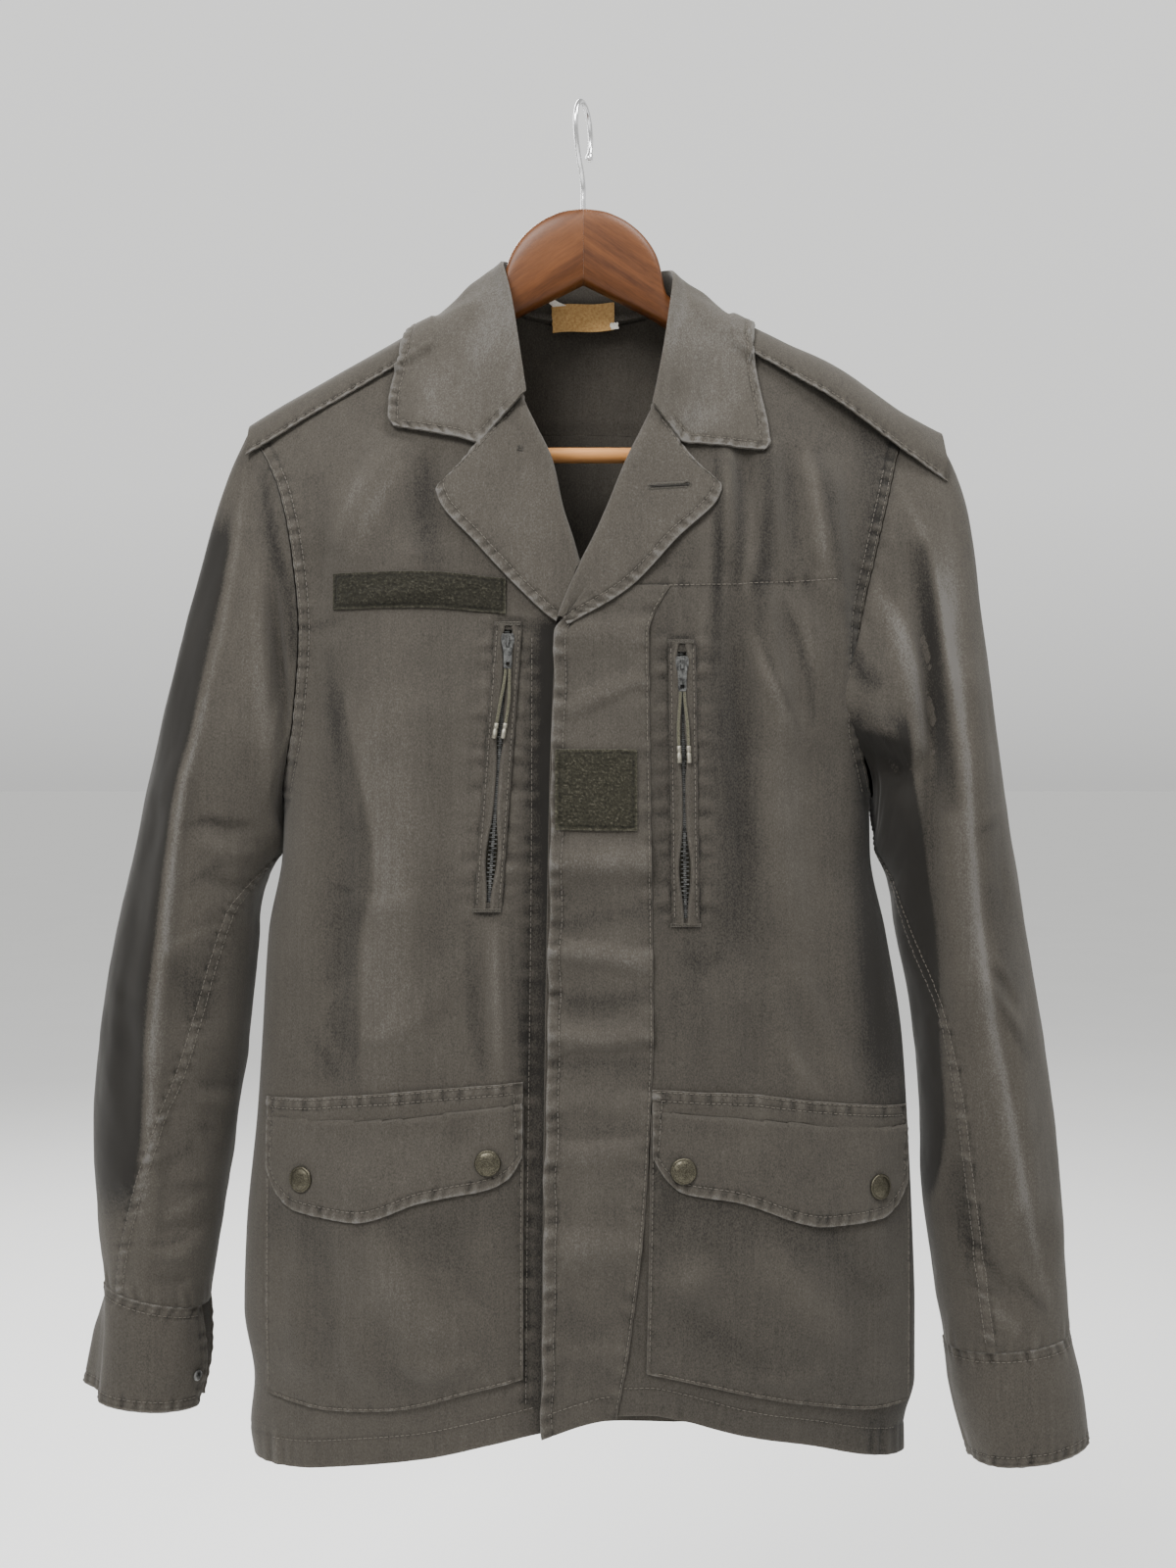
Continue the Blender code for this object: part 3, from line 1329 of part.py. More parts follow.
def cord_tube(name, route, diameter, finish):
    curve = bpy.data.curves.new(name, "CURVE")
    curve.dimensions = "3D"
    curve.bevel_depth = diameter / 2 * MM
    curve.bevel_resolution = 2
    curve.use_fill_caps = True
    line = curve.splines.new("POLY")
    line.points.add(len(route) - 1)
    for point, place in zip(line.points, route):
        point.co = (place[0] * MM, place[1] * MM, place[2] * MM, 1)
    curve.materials.append(finish)
    item = bpy.data.objects.new(name, curve)
    bpy.context.scene.collection.objects.link(item)
    return item


def rod(name, start, end, diameter, finish, sides=12):
    """A straight round bar between two points."""
    start, end = np.asarray(start, float), np.asarray(end, float)
    along = unit(end - start)
    side = unit(np.cross(along, [0.3, 1.0, 0.2]))
    other = np.cross(along, side)
    angles = np.linspace(0, 2 * math.pi, sides, endpoint=False)
    ring = np.array([(side * math.cos(a) + other * math.sin(a)) * diameter / 2 for a in angles])
    points = np.concatenate([start + ring, end + ring]) * MM
    faces = [list(range(sides)), list(range(sides, 2 * sides))]
    faces += [[i, (i + 1) % sides, (i + 1) % sides + sides, i + sides] for i in range(sides)]
    return solid(name, points, faces, finish)


# ---------------------------------------------------------------- the hanger


# How square the arms' sections are across and upright: 1 is an ellipse, and less is squarer.
ARM_ROUND_ACROSS, ARM_ROUND_UPRIGHT = 0.6, 0.75


def build_hanger_arm(name, side, finish):
    """Half of the hanger: rounded sections from the mitre to the arm's end."""
    angles = np.linspace(0, 2 * math.pi, 14, endpoint=False)
    rings = []
    for arc in HANGER_ARM:
        height = (arc.top - arc.bottom) / 2
        middle = (arc.top + arc.bottom) / 2
        ring = []
        for a in angles:
            c, s = math.cos(a), math.sin(a)
            y = arc.half * math.copysign(abs(c) ** ARM_ROUND_ACROSS, c)
            z = middle + height * math.copysign(abs(s) ** ARM_ROUND_UPRIGHT, s)
            ring.append((side * arc.x, y, z))
        rings.append(ring)
    points = np.array(rings).reshape(-1, 3) * MM
    count = len(angles)
    faces = [list(range(count)), list(range(len(points) - count, len(points)))]
    for k in range(len(rings) - 1):
        for i in range(count):
            j = (i + 1) % count
            faces.append([k * count + i, k * count + j, (k + 1) * count + j, (k + 1) * count + i])
    return solid(name, points, faces, finish)


# The wire in its own plane: (reach, z) up the stem and out to the loop, the loop's turn, and the free end.
HOOK_STEM = ((0, STEM_BOTTOM), (0, -62), (0, -54), (-3.5, -46), (-9.5, -39), (-14.5, -31.5))
HOOK_LOOP = (198, -28)
HOOK_END = (14.0, -31.0)


def hook_route():
    """The wire's centre line: up the stem, out to the loop's side, over the top and down to its free end."""
    radius = HOOK_RADIUS + WIRE_DIAMETER / 2
    centre = -HOOK_RADIUS
    start, end = (math.radians(angle) for angle in HOOK_LOOP)
    flat = list(HOOK_STEM)
    for angle in np.linspace(start, end, 17):
        flat.append((radius * math.cos(angle), centre + radius * math.sin(angle)))
    flat.append(HOOK_END)
    return [(e * math.cos(HOOK_TURN), e * math.sin(HOOK_TURN), z) for e, z in flat]


# ---------------------------------------------------------------- the whole


def clear_scene():
    for item in list(bpy.data.objects):
        bpy.data.objects.remove(item)


def build():
    clear_scene()
    cloth = finish_of("olive twill", (0.105, 0.090, 0.074), 0.9)
    loop = finish_of("loop fastener", (0.050, 0.045, 0.032), 1.0)
    wood = finish_of("walnut", (0.235, 0.085, 0.036), 0.4)
    pale_wood = finish_of("bar wood", (0.50, 0.24, 0.10), 0.45)
    wire = finish_of("bright steel", (0.60, 0.60, 0.60), 0.2, 1.0)
    metal = finish_of("aged metal", (0.20, 0.19, 0.15), 0.45, 1.0)
    zip_metal = finish_of("zip metal", (0.16, 0.16, 0.16), 0.35, 1.0)
    tape = finish_of("zip tape", (0.045, 0.042, 0.032), 0.95)
    cord = finish_of("pull cord", (0.15, 0.14, 0.10), 0.9)
    tan = finish_of("neck label cloth", (0.40, 0.24, 0.07), 0.8)
    out = (0, -1, 0)

    left = front_grid(LEFT_FRONT, -1)
    right = front_grid(RIGHT_FRONT, 1)
    yoke = yoke_grid()
    panel("front_left", left, cloth, out)
    panel("front_right", right, cloth, out)
    cut_slot(bpy.data.objects["front_left"], SLOTS["left"])
    cut_slot(bpy.data.objects["front_right"], SLOTS["right"])
    yoke_inner = panel("back_yoke", yoke, cloth, (0, 1, 0))
    panel("back", back_grid(), cloth, (0, 1, 0))

    build_sleeve("sleeve_left", LEFT_SLEEVE, LEFT_SLEEVE_FOLDS, LEFT_SLEEVE_SEAMS, -1, cloth)
    build_sleeve("sleeve_right", RIGHT_SLEEVE, RIGHT_SLEEVE_FOLDS, RIGHT_SLEEVE_SEAMS, 1, cloth)
    band = build_cuff("cuff_left", LEFT_CUFF, LEFT_SLEEVE, LEFT_SLEEVE_FOLDS, -1, CUFF_VENT, cloth)
    build_stud(band, zip_metal)
    build_cuff("cuff_right", RIGHT_CUFF, RIGHT_SLEEVE, RIGHT_SLEEVE_FOLDS, 1, None, cloth)

    walled_both_ways("lapel_left", lapel_grid(LEFT_LAPEL, -1), cloth, out, WALL)
    walled_both_ways("lapel_right", lapel_grid(RIGHT_LAPEL, 1), cloth, out, WALL)
    shoulders = [outward(left), outward(right), outward(yoke)]
    for name, table, side in (("left", LEFT_STRAP, -1), ("right", RIGHT_STRAP, 1)):
        strap = stand_clear(strap_grid(table, side), 0, shoulders, WALL / 2 + STRAP_GAP)
        walled_both_ways(f"shoulder_strap_{name}", strap, cloth, (0, 0, 1), WALL)
        shoulders.append(outward(strap + [0, 0, WALL / 2]))
    collar = stand_clear(collar_grid(), COLLAR_FALL, shoulders, DOUBLE_WALL / 2 + COLLAR_GAP)
    collar_faces = walled_both_ways("collar", collar, cloth, (0, -1, 0.4), DOUBLE_WALL)
    label_bases = [facets(face) for face in collar_faces] + [facets(yoke_inner)]
    label = patch_grid(NECK_LABEL, 6, 3)
    label[:, :, 1] = LABEL_START + 20
    laid_piece("neck_label", label, label_bases, tan, LABEL_WALL, start=LABEL_START)

    bases = {"left": [facets(left)], "right": [facets(right)]}
    band = laid_piece("fly_band", band_grid(), bases["right"] + bases["left"], cloth)
    laid_piece("square_patch", patch_grid(SQUARE_PATCH, 5, 5), [band] + bases["right"], loop)
    laid_piece("name_tape", patch_grid(NAME_TAPE, 9, 3), bases["left"], loop)
    for side_name in ("left", "right"):
        base = bases[side_name]
        pocket_points = patch_grid(POCKETS[side_name], 8, 8)
        pocket = laid_piece(f"pocket_{side_name}", pocket_points, base, cloth, gap=FLAP_GAP)
        flap_points = patch_grid(FLAPS[side_name], 7, 5)
        flap = laid_piece(f"flap_{side_name}", flap_points, base + [pocket], cloth, gap=FLAP_GAP)
        for snap in SNAPS:
            if side_name in snap.name:
                build_snap(snap, flap, metal)

    for side_name, side in (("left", -1), ("right", 1)):
        build_zip(f"zip_{side_name}", SLOTS[side_name], side, tape)
        build_slider(side_name, side, zip_metal, cord)

    build_hanger_arm("hanger_arm_left", -1, wood)
    build_hanger_arm("hanger_arm_right", 1, wood)
    rod("hanger_bar", (-BAR_HALF_LENGTH, 0, BAR_Z), (BAR_HALF_LENGTH, 0, BAR_Z), BAR_DIAMETER, pale_wood, 14)
    cord_tube("hanger_hook", hook_route(), WIRE_DIAMETER, wire)


build()
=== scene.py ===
"""The look of a field jacket on a wooden hanger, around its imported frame.

The forms repeat the solids' tables and are read more finely, with creases, seams, puckers and stitches on
top. Lengths in tables are millimetres. The jacket's front faces -Y, and the origin is the inside top of the
hanger's hook.
"""

import math
from collections import namedtuple

import bmesh
import bpy
import numpy as np
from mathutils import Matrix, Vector
from mathutils.bvhtree import BVHTree


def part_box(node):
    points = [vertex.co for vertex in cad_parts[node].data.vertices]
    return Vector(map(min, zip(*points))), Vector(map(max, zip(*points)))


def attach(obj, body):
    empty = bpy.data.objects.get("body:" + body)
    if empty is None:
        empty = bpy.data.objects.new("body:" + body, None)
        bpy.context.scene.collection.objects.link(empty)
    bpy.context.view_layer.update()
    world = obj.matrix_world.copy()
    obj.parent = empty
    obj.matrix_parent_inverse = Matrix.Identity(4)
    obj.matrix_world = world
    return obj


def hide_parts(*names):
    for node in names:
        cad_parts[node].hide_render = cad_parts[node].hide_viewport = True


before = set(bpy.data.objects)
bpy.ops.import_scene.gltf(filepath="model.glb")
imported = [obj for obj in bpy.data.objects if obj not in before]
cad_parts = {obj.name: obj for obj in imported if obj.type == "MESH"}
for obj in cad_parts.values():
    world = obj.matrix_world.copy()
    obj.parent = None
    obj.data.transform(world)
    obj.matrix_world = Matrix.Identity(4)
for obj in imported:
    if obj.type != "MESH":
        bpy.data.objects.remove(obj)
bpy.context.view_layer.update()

MM = 0.001
WALL = 1.2
SEAM = 0.3
LAID = 0.35
FLAP_GAP = 0.5
DOUBLE_WALL = 1.8
SECTION_POWER = 2.6
RIDGE_RADIUS = 18.0
RIDGE_SPREAD = 55.0
UNDERARM = -449.5
LAP_SHIFT, LAP_START, LAP_RUN = 2.2, 60.0, 34.0

FRONT, BACK = -1.0, 1.0

# ---------------------------------------------------------------- driving tables, millimetres

Level = namedtuple("Level", "z left right front back")
# Half-widths of the whole section, and its depth beyond the ridge radius, at each height.
LEVELS = (
    Level(-90, 300, 300, 0, 0),
    Level(-120, 295, 295, 6, 18),
    Level(-150, 290, 290, 14, 21),
    Level(-211, 268, 268, 25, 24),
    Level(-254, 240, 240, 32, 25),
    Level(-293, 216, 214, 38, 26),
    Level(-342, 202, 197, 42, 27),
    Level(-403, 196, 187, 44, 28),
    Level(-449.5, 193, 184.5, 45, 28),
    Level(-484, 194, 185, 45, 28),
    Level(-535, 203, 195, 45, 28),
    Level(-602, 207, 205.5, 47, 29),
    Level(-649, 210, 208.5, 50, 30),
    Level(-725, 217, 212, 54, 31),
    Level(-775, 218.5, 213.5, 53, 30),
    Level(-820, 212, 213.5, 50, 28),
    Level(-850, 214.5, 206.5, 47, 26),
    Level(-872, 211.5, 207, 46, 25),
)

Ridge = namedtuple("Ridge", "x z")
RIDGE = (
    Ridge(-250, -238),
    Ridge(-214.5, -211),
    Ridge(-105, -146.5),
    Ridge(-62, -121),
    Ridge(0, -80),
    Ridge(66, -123),
    Ridge(110, -148),
    Ridge(160, -176),
    Ridge(207.7, -207.4),
    Ridge(250, -240),
)

Arm = namedtuple("Arm", "z left right")
# Distance of the armhole seam from the centre line, down from the shoulder tip to the underarm.
ARMHOLE = (
    Arm(-207, 214.5, 207.7),
    Arm(-211, 214.5, 206.5),
    Arm(-232, 202, 199),
    Arm(-254, 192, 193.5),
    Arm(-293, 183, 184),
    Arm(-342, 178.5, 174.5),
    Arm(-403, 183, 172.5),
    Arm(-430, 188.5, 179),
    Arm(-449.5, 193, 184.5),
)

Inner = namedtuple("Inner", "z left right")
# The inner edge of each front: its closing edge, the line where the lapel turns over, then the neck seam.
INNER_EDGE = (
    Inner(-870, 20, -25.5),
    Inner(-640, 20, -23.5),
    Inner(-450, 20, -20.5),
    Inner(-360, 19, -17),
    Inner(-343, 15, -14.5),
    Inner(-326, 5, -8.5),
    Inner(-304, -4.5, 1),
    Inner(-287, -9.5, 9.5),
    Inner(-270, -15, 17),
    Inner(-239, -22, 29.5),
    Inner(-215, -33, 41),
    Inner(-203, -38.5, 46.5),
    Inner(-190, -43, 50.5),
    Inner(-160, -53.5, 58.5),
    Inner(-133, -60, 64),
    Inner(-121, -62, 66),
)
ROLL_SET = 2.6

Edge = namedtuple("Edge", "part inner_z outer_z")
# Heights of a front's inner and outer edge, from the hem (part 0) to the shoulder ridge (part 1).
LEFT_FRONT = (
    Edge(0.00, -834, -869),
    Edge(0.30, -640, -640),
    Edge(0.56, -450, -449.5),
    Edge(0.69, -352, -350),
    Edge(0.75, -303, -305),
    Edge(0.84, -233, -262),
    Edge(0.89, -199, -242),
    Edge(0.95, -150, -222),
    Edge(1.00, -121, -211),
)
RIGHT_FRONT = (
    Edge(0.00, -838, -867),
    Edge(0.30, -640, -640),
    Edge(0.56, -450, -449.5),
    Edge(0.69, -346, -350),
    Edge(0.75, -304.6, -305),
    Edge(0.84, -239, -262),
    Edge(0.89, -205, -242),
    Edge(0.95, -154, -222),
    Edge(1.00, -123, -207.4),
)

Hem = namedtuple("Hem", "x z")
HEM_FRONT = (
    Hem(-218, -868),
    Hem(-189, -867),
    Hem(-134, -860),
    Hem(-98, -855),
    Hem(-57, -845),
    Hem(-26, -837),
    Hem(18, -825.5),
    Hem(39, -825.5),
    Hem(63, -830),
    Hem(99, -840),
    Hem(140, -848),
    Hem(176, -858.5),
    Hem(212, -867),
)

Fold = namedtuple("Fold", "x0 z0 x1 z1 width height")
# Ridges (height over 0) and troughs (under 0) along a line, with a soft edge of the given width.
FRONT_FOLDS = (
    Fold(-150, -420, -165, -600, 22, 3.5),
    Fold(-95, -400, -100, -600, 20, 3.0),
    Fold(-122, -430, -132, -590, 14, -3.0),
    Fold(-120, -700, -120, -790, 45, 7.0),
    Fold(150, -250, 160, -400, 14, 4.0),
    Fold(120, -380, 112, -520, 18, 3.5),
    Fold(80, -420, 88, -600, 20, 3.0),
    Fold(140, -430, 150, -600, 16, -3.0),
    Fold(120, -700, 125, -800, 45, 7.0),
    Fold(-165, -300, -172, -420, 12, -3.0),
)
BACK_FOLDS = (
    Fold(-120, -300, -130, -700, 24, 4.0),
    Fold(-60, -420, -50, -800, 26, -4.0),
    Fold(10, -330, 20, -780, 24, 4.0),
    Fold(75, -420, 60, -800, 26, -4.0),
    Fold(135, -300, 140, -700, 24, 4.0),
)

Sleeve = namedtuple("Sleeve", "part outer_x outer_z inner_x inner_z front back")
# Outer and inner edge of the sleeve at each part of its length, and its depth before and behind y = 0.
LEFT_SLEEVE = (
    Sleeve(0.00, -214.8, -211, -193.3, -450, 42, 36),
    Sleeve(0.05, -226, -236, -193.6, -456, 42, 36),
    Sleeve(0.13, -241.5, -287, -194.5, -466, 44, 37),
    Sleeve(0.23, -257.5, -345, -196, -480, 46, 38),
    Sleeve(0.35, -273.5, -415, -204.5, -503, 48, 40),
    Sleeve(0.45, -286, -472, -210.5, -532, 50, 42),
    Sleeve(0.57, -302, -542, -216, -580, 50, 42),
    Sleeve(0.68, -311.5, -605, -220, -624, 48, 40),
    Sleeve(0.79, -315, -662, -227, -675, 44, 38),
    Sleeve(0.90, -313, -713, -233.5, -723, 40, 34),
    Sleeve(1.00, -308.5, -758, -243, -774, 36, 30),
)
RIGHT_SLEEVE = (
    Sleeve(0.00, 208, -207.4, 184.8, -450, 42, 36),
    Sleeve(0.05, 233, -224, 185.5, -456, 43, 36),
    Sleeve(0.13, 248, -268, 187, -466, 45, 37),
    Sleeve(0.23, 257, -335, 190, -480, 47, 38),
    Sleeve(0.35, 267, -415, 199.5, -503, 49, 40),
    Sleeve(0.45, 275, -470, 205, -532, 50, 42),
    Sleeve(0.57, 285.5, -542, 213, -580, 50, 42),
    Sleeve(0.68, 297, -612, 217, -630, 49, 40),
    Sleeve(0.79, 306, -680, 220, -690, 46, 38),
    Sleeve(0.90, 311, -740, 225, -746, 42, 35),
    Sleeve(1.00, 313.5, -792, 234, -800, 38, 32),
)

Seam = namedtuple("Seam", "part near far")
# Angles round the sleeve, in degrees from its outer edge towards the front, of its two long seams.
LEFT_SLEEVE_SEAMS = (
    Seam(0.00, 180, 300),
    Seam(0.23, 178, 299),
    Seam(0.45, 130, 297),
    Seam(0.68, 106, 294),
    Seam(0.86, 76, 291),
    Seam(1.00, 52, 290),
)
RIGHT_SLEEVE_SEAMS = (
    Seam(0.00, 180, 300),
    Seam(0.23, 178, 299),
    Seam(0.45, 150, 297),
    Seam(0.68, 122, 294),
    Seam(0.86, 112, 291),
    Seam(1.00, 110, 290),
)

LEFT_SLEEVE_FOLDS = (
    Fold(-228, -240, -262, -440, 20, 5.0),
    Fold(-262, -440, -275, -560, 20, 5.0),
    Fold(-275, -560, -285, -680, 20, 4.5),
    Fold(-210, -300, -198, -390, 18, -5.0),
)
RIGHT_SLEEVE_FOLDS = (
    Fold(206, -260, 222, -400, 18, -5.0),
    Fold(222, -400, 230, -540, 18, -4.5),
    Fold(246, -380, 256, -560, 18, 4.5),
    Fold(256, -560, 280, -700, 18, 4.5),
    Fold(188, -340, 180, -410, 20, 7.0),
)

Cuff = namedtuple("Cuff", "part outer_x outer_z inner_x inner_z front back lobe")
# A lobe carries the band's hind part further out than its front.
LEFT_CUFF = (
    Cuff(0.0, -309, -760, -241, -777, 37, 31, 0),
    Cuff(0.3, -311, -784, -241, -796, 37, 32, 11),
    Cuff(0.5, -312, -798, -241, -808, 37, 32, 15),
    Cuff(1.0, -316, -831, -246, -838, 36, 31, 18),
)
RIGHT_CUFF = (
    Cuff(0.0, 315.5, -796, 232, -804, 39, 33, 0),
    Cuff(0.5, 322, -830, 240, -840, 38, 32, 0),
    Cuff(1.0, 326, -862, 250, -874, 36, 31, 0),
)

Outline = namedtuple("Outline", "across top bottom")
# A patch piece's upper and lower edge at parts of its width. Its left edge leans over by `lean`.
Patch = namedtuple("Patch", "left right lean outline")
LEFT_POCKET = (
    Outline(0, -650, -822),
    Outline(0.25, -649, -826),
    Outline(0.5, -647, -823),
    Outline(0.8, -641, -811),
    Outline(1, -637, -803),
)
RIGHT_POCKET = (
    Outline(0, -641, -799),
    Outline(0.25, -645, -808),
    Outline(0.6, -651, -820),
    Outline(0.9, -656, -829),
    Outline(1, -657, -829),
)
POCKETS = {"left": Patch(-198, -37, 0, LEFT_POCKET), "right": Patch(41.7, 205, -2.7, RIGHT_POCKET)}
LEFT_FLAP = (
    Outline(0, -637, -680),
    Outline(0.05, -636.5, -695),
    Outline(0.13, -636, -703.5),
    Outline(0.36, -632, -707),
    Outline(0.62, -628, -694),
    Outline(0.88, -624.5, -686),
    Outline(0.95, -623.5, -680),
    Outline(1, -623, -668),
)
RIGHT_FLAP = (
    Outline(0, -627, -667),
    Outline(0.05, -627.5, -680),
    Outline(0.11, -628, -688),
    Outline(0.32, -630, -694),
    Outline(0.68, -637, -710.5),
    Outline(0.88, -641, -709.5),
    Outline(0.95, -642.5, -703),
    Outline(1, -643.5, -690),
)
FLAPS = {"left": Patch(-198.5, -37.5, 0, LEFT_FLAP), "right": Patch(42.3, 204.5, 0, RIGHT_FLAP)}
TAPE_OUTLINE = (Outline(0, -309, -331.5), Outline(0.5, -308.5, -331), Outline(1, -313.5, -335.5))
NAME_TAPE = Patch(-155.5, -47.6, 0, TAPE_OUTLINE)
SQUARE_PATCH = Patch(-17, 33, 0, (Outline(0, -419, -468), Outline(1, -419, -468.5)))

NECK_LABEL = Patch(-22, 21, 0, (Outline(0, -123, -141), Outline(1, -123, -141)))
LABEL_WALL = 1.0

Snap = namedtuple("Snap", "name x z")
SNAPS = (
    Snap("snap_left_outer", -174, -684),
    Snap("snap_left_inner", -58, -670.5),
    Snap("snap_right_inner", 61, -675),
    Snap("snap_right_outer", 184, -690),
)

Band = namedtuple("Band", "z left right")
FLY_BAND = (
    Band(-346, -17, 40),
    Band(-600, -21.5, 42.6),
    Band(-630, -22, 41.3),
    Band(-660, -22.6, 39.9),
    Band(-700, -23.5, 37.4),
    Band(-790, -24.5, 27),
    Band(-829, -25.5, 20),
)

Lapel = namedtuple("Lapel", "part roll_z mid_x mid_z edge_x edge_z")
# Rows of a lapel from its top edge to where it runs out: the turning line, a point between, the free edge.
LEFT_LAPEL = (
    Lapel(0.00, -199.6, -65, -229.2, -84, -249.5),
    Lapel(0.05, -203, -66, -233, -91, -256),
    Lapel(0.12, -210, -63, -238, -89.5, -263),
    Lapel(0.40, -236, -44, -263, -66, -291),
    Lapel(0.70, -269, -26, -294, -40, -319),
    Lapel(1.00, -299, -14, -318, -22, -336),
)
RIGHT_LAPEL = (
    Lapel(0.00, -205.6, 60.6, -230, 79, -248),
    Lapel(0.05, -209, 62, -234, 86, -255),
    Lapel(0.12, -216, 61, -240, 84.5, -261),
    Lapel(0.40, -247, 42, -268, 58, -288),
    Lapel(0.70, -287, 17, -304, 28, -319.5),
    Lapel(0.92, -326, -6, -332, -1, -337.5),
    Lapel(1.00, -337, -11.5, -339.5, -9.5, -342),
)

Collar = namedtuple("Collar", "part neck_x neck_z roll_x roll_y roll_z mid_x mid_z edge_x edge_z")
# Stations round the neck, from the left front end by the back to the right front end.
COLLAR = (
    Collar(0.00, -39.6, -195.0, -36.5, -50, -196.4, -64.3, -226.2, -119, -215.0),
    Collar(0.03, -41.5, -190, -37, -48, -190, -68, -212, -123.5, -207),
    Collar(0.12, -52.5, -158, -41.5, -40, -162, -72, -186, -122, -190),
    Collar(0.22, -59.5, -131, -47, -25, -124, -74, -150, -116, -166),
    Collar(0.30, -61.5, -120.4, -54, -3, -101, -76, -114, -107, -142),
    Collar(0.38, -55, -124.4, -50, 20, -97, -68, -118, -92, -166),
    Collar(0.45, -32, -133.4, -30, 34, -97.5, -38, -120, -48, -172),
    Collar(0.50, 2, -136.4, 2, 38, -98.5, 2, -122, 2, -174),
    Collar(0.55, 36, -133.4, 34, 34, -99.5, 42, -122, 52, -172),
    Collar(0.62, 59, -125.4, 54, 20, -102, 72, -122, 96, -166),
    Collar(0.70, 65.5, -122.4, 59.5, -3, -108, 80, -120, 106, -138),
    Collar(0.78, 63.3, -133, 56, -25, -132, 80, -157, 108, -172),
    Collar(0.88, 57.5, -162, 51, -40, -168, 76, -195, 114, -204),
    Collar(0.97, 48, -194, 45.5, -49, -197, 66, -220, 117.5, -226),
    Collar(1.00, 45.8, -201, 44, -51, -204, 61.8, -226.6, 113, -231.5),
)
COLLAR_STAND_OFF = 3.0
NECK = (
    Ridge(-62, -121),
    Ridge(-55, -125),
    Ridge(-32, -134),
    Ridge(2, -137),
    Ridge(36, -134),
    Ridge(59, -126),
    Ridge(66, -123),
)
YOKE_CENTRE, YOKE_DROP = -206.0, 44.0
BACK_HEM = -868.0

Strap = namedtuple("Strap", "part x rise front back")
# A shoulder strap along the ridge: its rise over the cloth, and how far it reaches down either side.
LEFT_STRAP = (
    Strap(0.0, -98, 0.8, 19, 23),
    Strap(0.5, -158, 0.8, 20, 24),
    Strap(0.8, -196, 1.5, 20, 24),
    Strap(1.0, -215, 2.0, 19, 23),
)
RIGHT_STRAP = (
    Strap(0.0, 98, 0.8, 19, 23),
    Strap(0.3, 130, 3.5, 20, 24),
    Strap(0.6, 165, 7.0, 22, 24),
    Strap(0.85, 200, 5.0, 24, 24),
    Strap(1.0, 232, 8.0, 26, 24),
)

Slot = namedtuple("Slot", "top_x top_z bottom_x bottom_z")
SLOTS = {"left": Slot(-46, -343.5, -58.3, -515), "right": Slot(60.8, -354.5, 63, -524)}
TAPE_HALF_WIDTH, TAPE_THICKNESS = 11.0, 0.8
CHAIN_HEIGHT = 1.8
CHAIN_BEHIND = 0.5

SLIDER_LENGTH = 11.0
SLIDER_THICKNESS = 3.0
BAIL_THICKNESS, BAIL_HEIGHT = 0.9, 2.6
TAB_THICKNESS = 1.0
TAB_LENGTH = 17.0
Pull = namedtuple("Pull", "slider_z cord_length crimp_length spread")
PULLS = {"left": Pull(-347.5, 33.0, 9.5, 2.9), "right": Pull(-361.5, 33.0, 10.5, 3.4)}
CORD_DIAMETER = 2.2
CRIMP_DIAMETER = 3.0

Arc = namedtuple("Arc", "x top bottom half")
# The hanger arm's upper and lower edge and half thickness, out from the mitre.
HANGER_ARM = (
    Arc(0.2, -68, -116, 10),
    Arc(12, -69.4, -122, 10),
    Arc(24, -73.9, -128, 10),
    Arc(34, -80.7, -133, 10),
    Arc(42, -89.3, -137, 10),
    Arc(48, -100, -140.5, 10),
    Arc(51, -112, -142.5, 10),
    Arc(53, -122, -143.5, 10),
    Arc(58, -127, -146.5, 10),
    Arc(80, -137, -160, 10),
    Arc(120, -157.5, -189, 9.8),
    Arc(160, -181.5, -218, 9.5),
    Arc(185, -196.5, -234, 9),
    Arc(198, -205.5, -236, 8),
    Arc(203, -212, -232, 6),
)
BAR_Z, BAR_DIAMETER, BAR_HALF_LENGTH = -227.0, 10.0, 166.2
WIRE_DIAMETER = 3.2
HOOK_RADIUS = 17.0
HOOK_TURN = math.radians(75)
STEM_BOTTOM = -67.6

# ---------------------------------------------------------------- curves and the body's form


class Curve:
    """A smooth line through a few keyed values that never swings past them."""

    def __init__(self, keys, values):
        order = np.argsort(keys)
        self.keys = np.asarray(keys, float)[order]
        self.values = np.asarray(values, float)[order]
        step = np.diff(self.keys)
        rise = np.diff(self.values) / step
        inner = np.zeros(len(self.keys))
        same = rise[1:] * rise[:-1] > 0
        mean = 2 * rise[1:] * rise[:-1] / np.where(same, rise[1:] + rise[:-1], 1)
        inner[1:-1] = np.where(same, mean, 0)
        inner[0], inner[-1] = rise[0], rise[-1]
        self.slopes = inner

    def __call__(self, at):
        at = np.clip(np.asarray(at, float), self.keys[0], self.keys[-1])
        i = np.clip(np.searchsorted(self.keys, at, side="right") - 1, 0, len(self.keys) - 2)
        span = self.keys[i + 1] - self.keys[i]
        t = (at - self.keys[i]) / span
        low, high = self.values[i], self.values[i + 1]
        start, end = self.slopes[i] * span, self.slopes[i + 1] * span
        return (
            low * (2 * t**3 - 3 * t**2 + 1)
            + start * (t**3 - 2 * t**2 + t)
            + high * (3 * t**2 - 2 * t**3)
            + end * (t**3 - t**2)
        )


def column(table, key, value):
    return Curve([getattr(row, key) for row in table], [getattr(row, value) for row in table])


ridge_z = column(RIDGE, "x", "z")
half_left = column(LEVELS, "z", "left")
half_right = column(LEVELS, "z", "right")
depth_front = column(LEVELS, "z", "front")
depth_back = column(LEVELS, "z", "back")
arm_left = column(ARMHOLE, "z", "left")
arm_right = column(ARMHOLE, "z", "right")
hem_front = column(HEM_FRONT, "x", "z")


